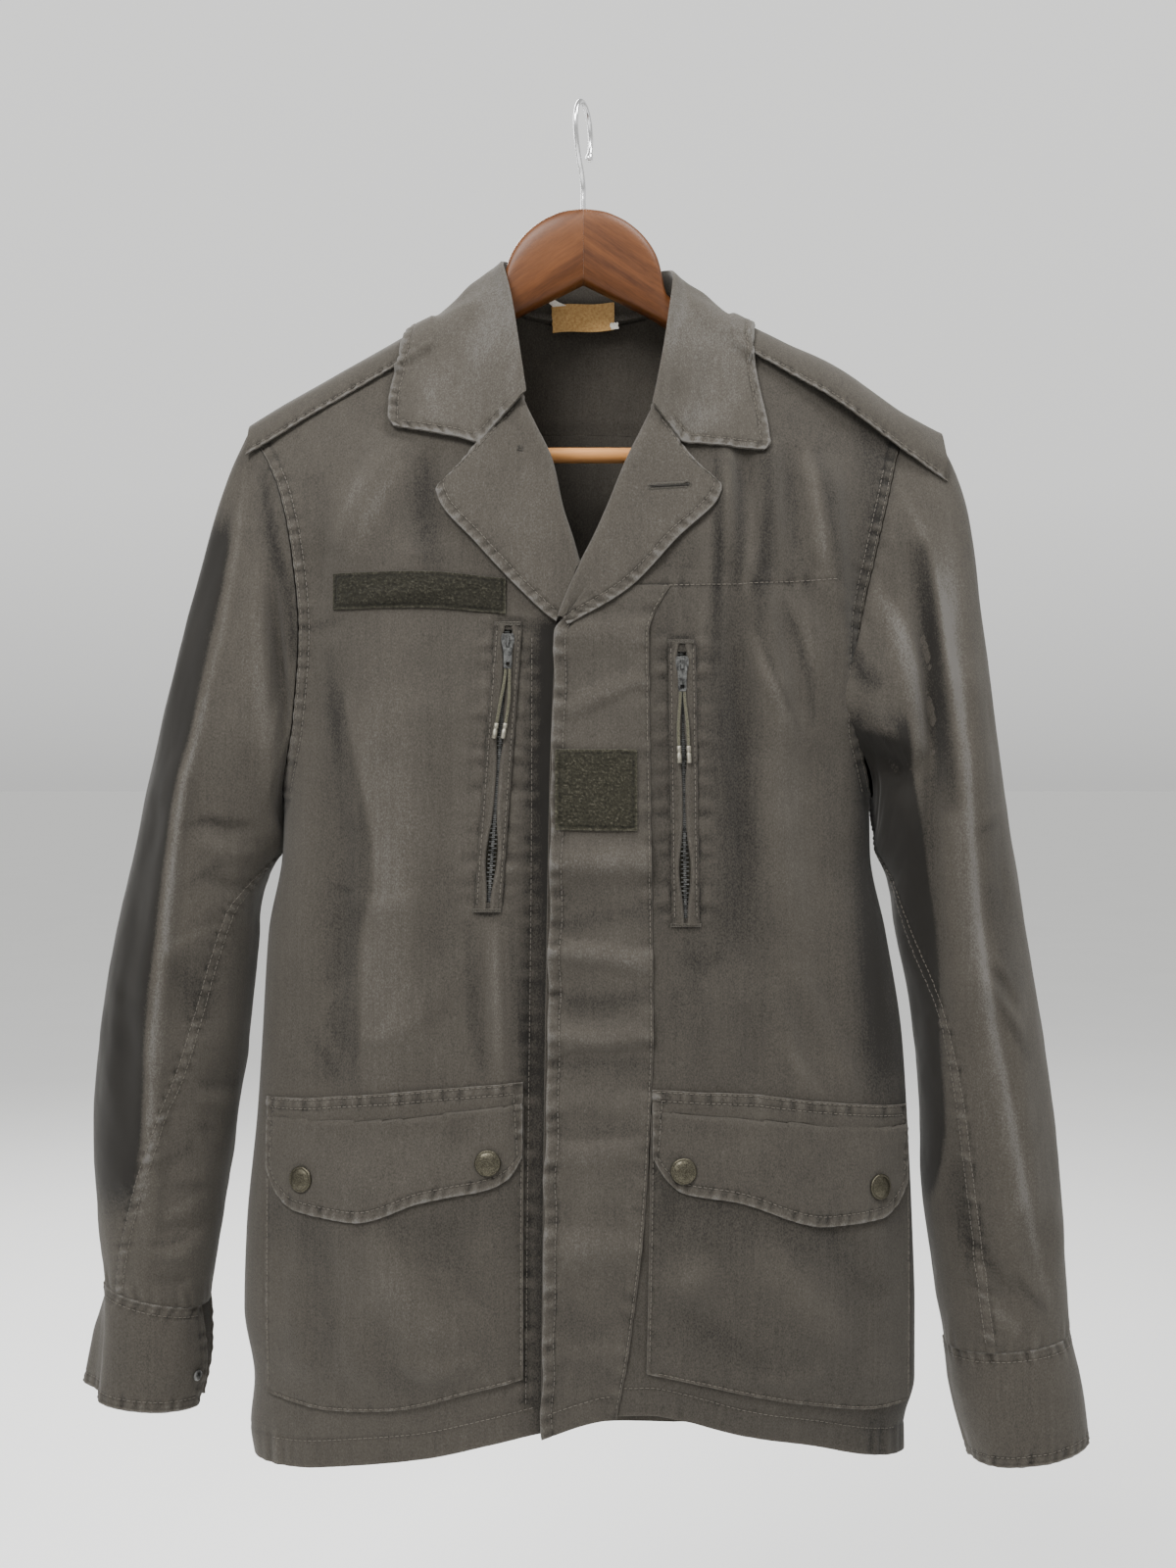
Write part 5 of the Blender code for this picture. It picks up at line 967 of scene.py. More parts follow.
def spread_line(points, step):
    """Points every `step` along a smooth line through a few points."""
    points = np.asarray(points, float)
    keys = np.concatenate([[0], np.cumsum(np.linalg.norm(np.diff(points, axis=0), axis=1))])
    return through(points, keys, np.linspace(0, keys[-1], max(int(keys[-1] / step), 2) + 1))


def through(points, keys, at):
    """Smooth rows through rows of points at the given keys, read at new keys."""
    points, keys, at = np.asarray(points, float), np.asarray(keys, float), np.asarray(at, float)
    wide = (slice(None),) + (None,) * (points.ndim - 1)
    step = np.diff(keys)
    rise = np.diff(points, axis=0) / step[wide]
    slopes = np.empty_like(points)
    slopes[0], slopes[-1] = rise[0], rise[-1]
    weight = (step[:-1] / (step[:-1] + step[1:]))[wide]
    slopes[1:-1] = rise[1:] * weight + rise[:-1] * (1 - weight)
    i = np.clip(np.searchsorted(keys, at, side="right") - 1, 0, len(keys) - 2)
    span = step[i][wide]
    t = (at - keys[i])[wide] / span
    return (
        points[i] * (2 * t**3 - 3 * t**2 + 1)
        + slopes[i] * span * (t**3 - 2 * t**2 + t)
        + points[i + 1] * (3 * t**2 - 2 * t**3)
        + slopes[i + 1] * span * (t**3 - t**2)
    )


def refined(grid, rows=None, cols=None):
    """A grid read again on a smooth surface through its points, evenly spaced."""
    for axis, count in ((0, rows), (1, cols)):
        if count is None:
            continue
        turned_grid = np.swapaxes(grid, 0, axis)
        steps = np.linalg.norm(np.diff(turned_grid, axis=0), axis=2).mean(axis=1)
        keys = np.concatenate([[0], np.cumsum(steps)])
        grid = np.swapaxes(through(turned_grid, keys, np.linspace(0, keys[-1], count)), 0, axis)
    return grid


def crease_height(x, z, table, blunt=0.7):
    total = np.zeros(np.broadcast(x, z).shape)
    for crease in table:
        line = spread_line(crease.points, 25)
        apart, along, hand, length = near_line(x, z, line)
        width = np.where(hand > 0, crease.near, crease.far)
        taper = np.clip(np.sin(math.pi * along / length), 0, 1) ** blunt
        total = total + crease.height * taper * np.exp(-((apart / width) ** 2))
    return total


def value_noise(u, v, seed):
    """Smooth noise between -1 and 1 over a plane."""
    table = np.random.RandomState(seed).uniform(-1, 1, (64, 64))
    iu, iv = np.floor(u).astype(int), np.floor(v).astype(int)
    fu, fv = u - iu, v - iv
    fu, fv = fu * fu * (3 - 2 * fu), fv * fv * (3 - 2 * fv)

    def at(a, b):
        return table[a % 64, b % 64]

    low = at(iu, iv) * (1 - fu) + at(iu + 1, iv) * fu
    high = at(iu, iv + 1) * (1 - fu) + at(iu + 1, iv + 1) * fu
    return low * (1 - fv) + high * fv


def rumple(u, v, seed):
    """Slight unevenness of worn cloth, in millimetres."""
    total = 0
    for k, (size, height) in enumerate(RUMPLE):
        total = total + height * value_noise(u / size, v / (size * 1.6), seed + k)
    return total


def ripple(along, pitch, seed):
    """An uneven wave between about -1 and 1."""
    rng = np.random.RandomState(seed)
    total = 0
    for stretch, weight in ((1.0, 0.6), (1.43, 0.35), (0.71, 0.2), (2.6, 0.25)):
        total = total + weight * np.sin(2 * math.pi * along / (pitch * stretch) + rng.uniform(0, 6.283))
    return total


def smooth_step(value, low, high):
    t = np.clip((value - low) / (high - low), 0, 1)
    return t * t * (3 - 2 * t)


def skin_y(x, z, side):
    """A front's outer face with its creases."""
    drop = np.clip((ridge_z(x) - z) / 40, 0, 1)
    fine = crease_height(x, z, FRONT_CREASES[side]) * FOLD_SCALE + rumple(x, z, 11 + side)
    return front_y(x, z, side) - fine * drop * section_share(x, z)


def back_skin_y(x, z):
    drop = np.clip((ridge_z(x) - z) / 40, 0, 1)
    fine = crease_height(x, z, BACK_CREASES) + rumple(x, z, 31)
    return cloth_y(x, z, BACK) + fine * drop * section_share(x, z)


def border_distance(grid, borders):
    """Distance of a grid's points from its chosen borders, and the place along the nearest one."""
    across = np.linalg.norm(np.diff(grid, axis=1), axis=2)
    down = np.linalg.norm(np.diff(grid, axis=0), axis=2)
    from_left = np.concatenate([np.zeros((len(grid), 1)), np.cumsum(across, axis=1)], axis=1)
    from_top = np.concatenate([np.zeros((1, grid.shape[1])), np.cumsum(down, axis=0)], axis=0)
    ways = {
        "left": (from_left, from_top),
        "right": (from_left[:, -1:] - from_left, from_top + 500),
        "top": (from_top, from_left + 1000),
        "bottom": (from_top[-1:] - from_top, from_left + 1500),
    }
    best, along = np.full(grid.shape[:2], 1e9), np.zeros(grid.shape[:2])
    for name in borders:
        apart, place = ways[name]
        closer = apart < best
        best, along = np.where(closer, apart, best), np.where(closer, place, along)
    return best, along


Sewing = namedtuple("Sewing", "at rise reach pitch seed")


def sewn_relief(apart, along, sewing):
    """Height and tone of the cloth beside lines of stitches that lie at distances `at` from an edge: painted
    light and shade on the puckers, painted shade in the stitch grooves, and a paler edge.
    """
    wave = ripple(along, sewing.pitch, sewing.seed)
    middle = sewing.at[-1] * 0.5
    height = 1.4 * sewing.rise * wave * np.exp(-(((apart - middle) / sewing.reach) ** 2))
    tone = 0.95 * wave * np.exp(-(((apart - middle) / sewing.reach) ** 2))
    for at in sewing.at:
        groove = np.exp(-(((apart - at) / 0.8) ** 2))
        height = height - 0.45 * groove
        tone = tone - 1.1 * groove
    edge = np.exp(-((apart / 1.5) ** 2))
    return height + 0.3 * edge, tone + 1.5 * edge


# ---------------------------------------------------------------- shells


def shell(name, outer, inner, finish, wrap=False, kept=None, stride=3, tone=None):
    """A closed wall between two grids in millimetres, with rounded rims and a coarser inner face."""
    rows, cols = outer.shape[:2]
    last = cols if wrap else cols - 1
    if kept is not None or wrap:
        stride = 1 if kept is not None else stride
    kept = np.ones((rows - 1, last), bool) if kept is None else kept
    count = rows * cols
    points = [outer.reshape(-1, 3), inner.reshape(-1, 3)]
    faces = []
    for i in range(rows - 1):
        for j in range(last):
            if kept[i, j]:
                k = (j + 1) % cols
                faces.append((i * cols + j, i * cols + k, (i + 1) * cols + k, (i + 1) * cols + j))
    if stride == 1:
        faces += [tuple(count + v for v in reversed(face)) for face in faces]
    else:
        steps_i = list(range(0, rows - 1, stride)) + [rows - 1]
        steps_j = list(range(0, last, stride)) + [last]
        for a, b in zip(steps_i[:-1], steps_i[1:]):
            for c, d in zip(steps_j[:-1], steps_j[1:]):
                ring = [(a, c)]
                ring += [(a, j) for j in range(c + 1, d)] if a == 0 else []
                ring += [(a, d)]
                ring += [(i, d) for i in range(a + 1, b)] if d == last and not wrap else []
                ring += [(b, d)]
                ring += [(b, j) for j in range(d - 1, c, -1)] if b == rows - 1 else []
                ring += [(b, c)]
                ring += [(i, c) for i in range(b - 1, a, -1)] if c == 0 and not wrap else []
                faces.append(tuple(count + i * cols + j % cols for i, j in reversed(ring)))
    rim, extra, rim_at = [], [], {}

    def rim_point(i, j, back_i, back_j):
        key = (i, j % cols)
        if key not in rim_at:
            middle = (outer[key] + inner[key]) / 2
            inside = (outer[back_i, back_j % cols] + inner[back_i, back_j % cols]) / 2
            out = middle - inside
            thick = np.linalg.norm(outer[key] - inner[key])
            rim_at[key] = 2 * count + len(extra)
            extra.append(middle + out / max(np.linalg.norm(out), 1e-9) * thick * 0.3)
        return rim_at[key]

    def is_kept(i, j):
        if wrap:
            j %= last
        return 0 <= i < rows - 1 and 0 <= j < last and kept[i, j]

    edge_cells = [(i, j) for i in (0, rows - 2) for j in range(last)]
    edge_cells += [(i, j) for i in range(1, rows - 2) for j in (0, last - 1)]
    if not kept.all():
        holes = np.argwhere(~kept)
        for i, j in holes:
            edge_cells += [(i - 1, j), (i + 1, j), (i, j - 1), (i, j + 1)]
    for i, j in dict.fromkeys(edge_cells):
        if not is_kept(i, j):
            continue
        j = j % last if wrap else j
        ring = [(i, j), (i, j + 1), (i + 1, j + 1), (i + 1, j)]
        beyond = [(i - 1, j), (i, j + 1), (i + 1, j), (i, j - 1)]
        backs = [(i + 1, i + 1, j, j + 1), (i, i + 1, j, j), (i, i, j + 1, j), (i + 1, i, j + 1, j + 1)]
        for k in range(4):
            if is_kept(*beyond[k]):
                continue
            a, b = ring[k], ring[(k + 1) % 4]
            back_a = (backs[k][0], backs[k][2])
            back_b = (backs[k][1], backs[k][3])
            ra = rim_point(*a, *back_a)
            rb = rim_point(*b, *back_b)
            va, vb = a[0] * cols + a[1] % cols, b[0] * cols + b[1] % cols
            rim.append((vb, va, ra, rb))
            rim.append((rb, ra, count + va, count + vb))
    points = np.concatenate(points + ([np.array(extra)] if extra else []))
    tone = np.zeros((rows, cols)) if tone is None else tone
    tones = np.concatenate([tone.ravel(), tone.ravel() * 0.3, np.full(len(extra), 0.35)])
    return mesh_piece(name, points, faces + rim, finish, tones)


def tube_walls(rings, sides, start=0):
    """The faces that join each ring of a tube to the next. Its points begin at `start`."""
    faces = []
    for low in range(start, start + (rings - 1) * sides, sides):
        for k in range(sides):
            m = (k + 1) % sides
            faces.append((low + k, low + m, low + sides + m, low + sides + k))
    return faces


def tube_end(ring, sides, start=0):
    """The face that closes a tube at this ring."""
    return tuple(range(start + ring * sides, start + (ring + 1) * sides))


def mesh_piece(name, points, faces, finish, tones=None, angle=50, flat=False):
    """An object of these points in millimetres, with unused points dropped."""
    used = np.zeros(len(points), bool)
    for face in faces:
        used[list(face)] = True
    place = np.cumsum(used) - 1
    mesh = bpy.data.meshes.new(name)
    faces = [[int(place[v]) for v in face] for face in faces]
    mesh.from_pydata((np.asarray(points)[used] * MM).tolist(), [], faces)
    if tones is not None:
        layer = mesh.attributes.new("tone", "FLOAT", "POINT")
        layer.data.foreach_set("value", np.asarray(tones, np.float32)[used])
    body = bmesh.new()
    body.from_mesh(mesh)
    bmesh.ops.recalc_face_normals(body, faces=body.faces)
    body.to_mesh(mesh)
    body.free()
    mesh.materials.append(finish)
    if not flat:
        mesh.shade_smooth()
        mesh.set_sharp_from_angle(angle=math.radians(angle))
    item = bpy.data.objects.new(name, mesh)
    bpy.context.scene.collection.objects.link(item)
    return item


def cloth(name, grid, away, finish, height=None, tone=None, thickness=WALL, wrap=False, kept=None, stride=3,
          middle=False):
    """A cloth wall under (or about) a grid whose relief stands out along its normals."""
    normals = grid_normals(grid, np.asarray(away, float), wrap)
    if height is not None:
        grid = grid + normals * height[..., None]
        normals = grid_normals(grid, normals, wrap)
    lift = thickness / 2 if middle else 0.0
    outer = grid + normals * lift
    inner = outer - normals * thickness
    item = shell(name, outer, inner, finish, wrap, kept, stride, tone)
    return item, outer, normals


def facets(grid):
    rows, cols = grid.shape[:2]
    quads = [
        (i * cols + j, i * cols + j + 1, (i + 1) * cols + j + 1, (i + 1) * cols + j)
        for i in range(rows - 1)
        for j in range(cols - 1)
    ]
    return BVHTree.FromPolygons([Vector(point) for point in grid.reshape(-1, 3)], quads)


def settle(grid, bases, gap, start=-400.0):
    """Moves each point of a grid towards -Y until it stands `gap` before every base."""
    grid = grid.copy()
    for index in np.ndindex(grid.shape[:2]):
        x, y, z = grid[index]
        for base in bases:
            hit = base.ray_cast(Vector((x, start, z)), Vector((0, 1, 0)))[0]
            if hit is not None:
                y = min(y, hit.y - gap)
        grid[index][1] = y
    return grid


# Nearer the shoulder ridge than this, laid cloth keeps its own form.
RIDGE_REACH = 5.0


def float_off(grid, bases, gap, first=0, rounds=2):
    """Moves a grid's points off the nearest base along its outward normal, and evens out the moves."""
    grid = grid.copy()
    for _ in range(rounds):
        push = np.zeros(grid.shape)
        for i in range(grid.shape[0]):
            for j in range(first, grid.shape[1]):
                point = Vector(grid[i, j])
                for base in bases:
                    place, normal, _, _ = base.find_nearest(point, 25.0)
                    if place is None or abs(place.y) < RIDGE_REACH:
                        continue
                    if normal.dot(Vector((0, place.y, 12.0))) < 0:
                        normal = -normal
                    apart = point - place
                    height = apart.dot(normal)
                    if apart.length > abs(height) + 1.5 or height >= gap:
                        continue
                    move = np.array(normal) * (gap - height)
                    if np.linalg.norm(move) > np.linalg.norm(push[i, j]):
                        push[i, j] = move
        size = np.linalg.norm(push, axis=2)
        for _ in range(4):
            padded_push = np.pad(push, ((1, 1), (1, 1), (0, 0)), mode="edge")
            even = (
                padded_push[:-2, 1:-1] + padded_push[2:, 1:-1]
                + padded_push[1:-1, :-2] + padded_push[1:-1, 2:]
            ) / 4
            longer = np.linalg.norm(even, axis=2) > np.linalg.norm(push, axis=2)
            push = np.where(longer[..., None], even, push)
        push[:, :first] = 0
        grid = grid + push
        if size.max() < 0.02:
            break
    return grid


# ---------------------------------------------------------------- finishes


class Nodes:
    """A material's nodes, added and linked by short calls."""

    def __init__(self, name):
        self.material = bpy.data.materials.new(name)
        self.material.use_nodes = True
        self.tree = self.material.node_tree
        self.shader = self.tree.nodes["Principled BSDF"]

    def add(self, kind, settings=None, **inputs):
        node = self.tree.nodes.new(kind)
        for key, value in (settings or {}).items():
            setattr(node, key, value)
        for key, value in inputs.items():
            socket = node.inputs[key.replace("_", " ")]
            if isinstance(value, bpy.types.NodeSocket):
                self.tree.links.new(value, socket)
            else:
                socket.default_value = value
        return node

    def place(self, scale=(1, 1, 1), rotation=(0, 0, 0)):
        texture = self.add("ShaderNodeTexCoord")
        mapping = self.add("ShaderNodeMapping", Vector=texture.outputs["Object"])
        mapping.inputs["Scale"].default_value = scale
        mapping.inputs["Rotation"].default_value = rotation
        return mapping.outputs["Vector"]

    def noise(self, vector, scale, detail=3.0, roughness=0.55):
        node = self.add("ShaderNodeTexNoise", Vector=vector, Scale=scale, Detail=detail, Roughness=roughness)
        return node.outputs["Fac"]

    def ramp(self, value, stops):
        node = self.add("ShaderNodeValToRGB", Fac=value)
        ramp = node.color_ramp
        while len(ramp.elements) < len(stops):
            ramp.elements.new(0.5)
        for element, (place, colour) in zip(ramp.elements, stops):
            element.position = place
            element.color = (*colour, 1)
        return node.outputs["Color"]

    def math(self, operation, a, b=0.0):
        node = self.tree.nodes.new("ShaderNodeMath")
        node.operation = operation
        for socket, value in zip(node.inputs, (a, b)):
            if isinstance(value, bpy.types.NodeSocket):
                self.tree.links.new(value, socket)
            else:
                socket.default_value = value
        return node.outputs[0]

    def finish(self, colour, roughness=None, bump=None, distance=0.0002, strength=1.0, **sockets):
        self.tree.links.new(colour, self.shader.inputs["Base Color"])
        if roughness is not None:
            if isinstance(roughness, bpy.types.NodeSocket):
                self.tree.links.new(roughness, self.shader.inputs["Roughness"])
            else:
                self.shader.inputs["Roughness"].default_value = roughness
        if bump is not None:
            node = self.add("ShaderNodeBump", Height=bump, Distance=distance, Strength=strength)
            self.tree.links.new(node.outputs["Normal"], self.shader.inputs["Normal"])
        for key, value in sockets.items():
            self.shader.inputs[key.replace("_", " ")].default_value = value
        return self.material


def scaled(colour, factor):
    return tuple(min(value * factor, 1.0) for value in colour)


def twill(name, colour, tilt=0.0):
    """Worn twill: fine diagonal ribs and soft blotches; the tone attribute makes worn edges paler and carries
    painted highlights on ridges and painted shade in grooves, folds and turned-away parts.
    """
    nodes = Nodes(name)
    place = nodes.place()
    tone = nodes.add("ShaderNodeAttribute", {"attribute_name": "tone"}).outputs["Fac"]
    blotch = nodes.noise(place, 22.0, 4.0, 0.6)
    grain = nodes.noise(nodes.place((1, 1, 0.6)), 1300.0, 2.0, 0.6)
    streak = nodes.noise(nodes.place((1, 1, 0.035)), 380.0, 3.0, 0.6)
    level = nodes.math("MULTIPLY_ADD", tone, 0.26)
    nodes.tree.nodes[-1].inputs[2].default_value = 0.5
    level = nodes.math("ADD", level, nodes.math("MULTIPLY", nodes.math("SUBTRACT", blotch, 0.5), 0.32))
    level = nodes.math("ADD", level, nodes.math("MULTIPLY", nodes.math("SUBTRACT", grain, 0.5), 1.05))
    level = nodes.math("ADD", level, nodes.math("MULTIPLY", nodes.math("SUBTRACT", streak, 0.5), 0.26))
    pale = sum(colour) / 3
    stops = (
        (0.0, scaled(colour, 0.22)),
        (0.3, scaled(colour, 0.72)),
        (0.5, colour),
        (0.68, scaled(colour, 1.25)),
        (1.0, tuple(value + pale * 1.25 for value in colour)),
    )
    shade = nodes.ramp(level, stops)
    ribs_place = nodes.place(rotation=(0.0, math.radians(58) + tilt, 0.0))
    ribs = nodes.add("ShaderNodeTexWave", {"bands_direction": "X"}, Vector=ribs_place, Scale=640.0,
                     Distortion=1.6, Detail=1.0).outputs["Fac"]
    fuzz = nodes.noise(place, 1700.0, 2.0, 0.6)
    relief = nodes.math("ADD", nodes.math("MULTIPLY", ribs, 0.6), nodes.math("MULTIPLY", fuzz, 0.6))
    return nodes.finish(shade, 0.92, relief, 0.00016, 0.7, Sheen_Weight=0.10, Sheen_Roughness=0.5,
                        Sheen_Tint=(0.86, 0.84, 0.80, 1), Specular_IOR_Level=0.18)


def pile_cloth(name, bright=1.0):
    """Loop fastener: dark olive ground under paler loops."""
    nodes = Nodes(name)
    place = nodes.place()
    tone = nodes.add("ShaderNodeAttribute", {"attribute_name": "tone"}).outputs["Fac"]
    loops = nodes.noise(place, 620.0, 2.0, 0.75)
    level = nodes.math("ADD", nodes.math("MULTIPLY", tone, 0.22), nodes.math("MULTIPLY", loops, 0.95))
    shade = nodes.ramp(level, ((0.12, scaled((0.0040, 0.0038, 0.0024), bright)),
                               (0.5, scaled((0.014, 0.013, 0.0085), bright)),
                               (0.95, scaled((0.060, 0.056, 0.041), bright))))
    return nodes.finish(shade, 0.95, loops, 0.0005, 0.8, Sheen_Weight=0.08, Specular_IOR_Level=0.15)


def wood(name, dark, light, tilt, scale=9.0, gloss=0.42):
    """Smooth wood with grain along a direction `tilt` radians up from +X."""
    nodes = Nodes(name)
    turned_place = nodes.place(rotation=(0.0, tilt, 0.0))
    stretch = nodes.add("ShaderNodeMapping", Vector=turned_place)
    stretch.inputs["Scale"].default_value = (1.0, 7.0, 13.0)
    drawn = stretch.outputs["Vector"]
    broad = nodes.noise(drawn, scale, 3.0, 0.55)
    fine = nodes.noise(drawn, scale * 9.0, 4.0, 0.7)
    pores = nodes.noise(drawn, scale * 34.0, 2.0, 0.6)
    level = nodes.math("ADD", nodes.math("MULTIPLY", broad, 0.75), nodes.math("MULTIPLY", fine, 0.38))
    level = nodes.math("SUBTRACT", level, nodes.math("MULTIPLY", pores, 0.12))
    middle = tuple((a + b) / 2 for a, b in zip(dark, light))
    shade = nodes.ramp(level, ((0.3, dark), (0.5, middle), (0.72, light)))
    rough = nodes.math("MULTIPLY_ADD", fine, 0.2)
    nodes.tree.nodes[-1].inputs[2].default_value = gloss - 0.1
    return nodes.finish(shade, rough, pores, 0.00006, 0.5, Specular_IOR_Level=0.22)


def metal(name, colour, worn, roughness, wear_scale=260.0, metallic=1.0):
    nodes = Nodes(name)
    place = nodes.place()
    spots = nodes.noise(place, wear_scale, 4.0, 0.6)
    shade = nodes.ramp(spots, ((0.35, colour), (0.65, worn)))
    rough = nodes.math("MULTIPLY_ADD", spots, 0.25)
    nodes.tree.nodes[-1].inputs[2].default_value = roughness - 0.12
    return nodes.finish(shade, rough, spots, 0.00008, 0.4, Metallic=metallic)


def woven(name, dark, light, scale=900.0, roughness=0.9):
    """A narrow woven or braided finish."""
    nodes = Nodes(name)
    place = nodes.place()
    speck = nodes.noise(place, scale, 2.0, 0.7)
    shade = nodes.ramp(speck, ((0.3, dark), (0.7, light)))
    return nodes.finish(shade, roughness, speck, 0.0002, 0.7, Sheen_Weight=0.15, Specular_IOR_Level=0.2)


# ---------------------------------------------------------------- thread


class Thread:
    """Stitches gathered into one piece."""

    def __init__(self):
        self.points, self.faces = [], []

    def bar(self, a, b, radius, sides=4):
        a, b = np.asarray(a, float), np.asarray(b, float)
        along = unit(b - a)
        side = unit(np.cross(along, [0.31, 0.9, 0.23]))
        other = np.cross(along, side)
        start = len(self.points)
        ring_at = ((a, 0.45), (a * 0.8 + b * 0.2, 1.0), (a * 0.2 + b * 0.8, 1.0), (b, 0.45))
        for centre, share in ring_at:
            for k in range(sides):
                turn = 2 * math.pi * k / sides
                self.points.append(centre + (side * math.cos(turn) + other * math.sin(turn)) * radius * share)
        ends = [tube_end(0, sides, start), tube_end(len(ring_at) - 1, sides, start)[::-1]]
        self.faces += tube_walls(len(ring_at), sides, start) + ends

    def line(self, path, length=2.5, gap=0.9, radius=0.27, start=0.0):
        """Stitches laid end to end along a path."""
        path = np.asarray(path, float)
        keys = np.concatenate([[0], np.cumsum(np.linalg.norm(np.diff(path, axis=0), axis=1))])
        at = start
        while at + length < keys[-1]:
            ends = [np.array([np.interp(s, keys, path[:, k]) for k in range(3)]) for s in (at, at + length)]
            self.bar(*ends, radius)
            at += length + gap

    def piece(self, name, finish):
        return mesh_piece(name, np.array(self.points), self.faces, finish, angle=60)


def path_at(grid, border, apart, lift=0.1, normals=None):
    """Points of a grid's surface at a distance from one of its borders."""
    if border in ("top", "bottom"):
        grid = np.swapaxes(grid, 0, 1)
        normals = None if normals is None else np.swapaxes(normals, 0, 1)
    if border in ("right", "bottom"):
        grid = grid[:, ::-1]
        normals = None if normals is None else normals[:, ::-1]
    path = []
    for i, row in enumerate(grid):
        keys = np.concatenate([[0], np.cumsum(np.linalg.norm(np.diff(row, axis=0), axis=1))])
        point = np.array([np.interp(apart, keys, row[:, k]) for k in range(3)])
        if normals is not None:
            out = np.array([np.interp(apart, keys, normals[i][:, k]) for k in range(3)])
            point = point + unit(out) * lift
        path.append(point)
    return np.array(path)


def sew(thread, outer, normals, border, at, cuts=(4, 4), lift=0.12):
    """Lines of stitches on a surface, at distances from one of its borders."""
    for apart in at:
        thread.line(cut_path(path_at(outer, border, apart, lift, normals), *cuts))


def cut_path(path, start, end):
    """A path without its first and last stretches."""
    keys = np.concatenate([[0], np.cumsum(np.linalg.norm(np.diff(path, axis=0), axis=1))])
    inside = (keys >= start) & (keys <= keys[-1] - end)
    return path[inside]


def laid_path(points, bases, step=1.5, lift=0.1):
    """A line of (x, z) points laid on the first face met from the front."""
    path = []
    for x, z in spread_line(points, step):
        y = None
        for base in bases:
            hit = base.ray_cast(Vector((x, -400.0, z)), Vector((0, 1, 0)))[0]
            if hit is not None:
                y = hit.y if y is None else min(y, hit.y)
        if y is not None:
            path.append((x, y - lift, z))
    return np.array(path)


# ---------------------------------------------------------------- body panels

FRONT_ROW_STEP = 2.3
RIDGE_PART = 0.93
LEFT_OF_SLOT = {-1: 34, 1: 40}
RIGHT_OF_SLOT = {-1: 64, 1: 58}
SEWN_FELL = Sewing((0.9, 6.0), 0.42, 5.0, 8.5, 3)
WELT_HALF = 8.6
ZIP_MARGIN = 2.0


def front_rows(table):
    parts = np.linspace(0, 1, 1500)
    inner_z = column(table, "part", "inner_z")(parts)
    outer_z = column(table, "part", "outer_z")(parts)
    run = np.concatenate([[0], np.cumsum(np.hypot(np.diff(inner_z), np.diff(outer_z)) / math.sqrt(2))])
    end = float(np.interp(RIDGE_PART, parts, run))
    even = np.interp(np.linspace(0, end, int(end / FRONT_ROW_STEP)), run, parts)
    ridge = RIDGE_PART + (1 - RIDGE_PART) * np.sin(np.linspace(0, math.pi / 2, 22))[1:]
    return np.concatenate([even, ridge])


def front_points(table, side, slot):
    """A front's points over (x, z), with two columns along the slot's edges, and the cells that are kept."""
    parts = front_rows(table)
    inner_z = column(table, "part", "inner_z")(parts)
    outer_z = column(table, "part", "outer_z")(parts)
    inner_x = (inner_left if side < 0 else inner_right)(inner_z)
    outer_x = outer_edge_x(outer_z, side)
    down = (inner_z - slot.top_z) / (slot.bottom_z - slot.top_z)
    in_slot = (down > 0) & (down < 1)
    half = np.where(in_slot, lip_half_width(np.clip(down, 0, 1)), 0.35)
    slot_x, _ = slot_line(slot, down)
    edges = []
    for hand in (-1, 1):
        share = (slot_x + side * hand * half - inner_x) / (outer_x - inner_x)
        rows = np.arange(len(parts))
        middle_share = (slot_x - inner_x) / (outer_x - inner_x)
        held = np.interp(rows, rows[in_slot], middle_share[in_slot])
        edges.append(np.where(in_slot, share, held + hand * half / np.abs(outer_x - inner_x)))
    before = np.linspace(0, 1, LEFT_OF_SLOT[side])[None, :] * edges[0][:, None]
    after = 1 - (1 - np.linspace(0, 1, RIGHT_OF_SLOT[side])) ** 1.45
    after = edges[1][:, None] + (1 - edges[1])[:, None] * after[None, :]
    share = np.concatenate([before, after], axis=1)
    x = inner_x[:, None] + (outer_x - inner_x)[:, None] * share
    z = inner_z[:, None] + (outer_z - inner_z)[:, None] * share
    weight = np.clip(1 - parts / HEM_WARP, 0, 1)[:, None] ** 2
    z = z + (hem_front(x) - z[:1]) * weight
    kept = np.ones((len(parts) - 1, x.shape[1] - 1), bool)
    kept[:, LEFT_OF_SLOT[side] - 1] = ~(in_slot[1:] & in_slot[:-1])
    return x, z, kept


def lip_half_width(share):
    """Half the gap between the welts: parted round the slider, shut, and gaping again low down."""
    wide = 2.4 * np.exp(-(((share - 0.05) / 0.055) ** 2))
    gape = 2.9 * np.exp(-(((share - 0.82) / 0.11) ** 2))
    near_mid = 1.3 * np.exp(-(((share - 0.40) / 0.06) ** 2))
    return 1.0 + wide + gape + near_mid


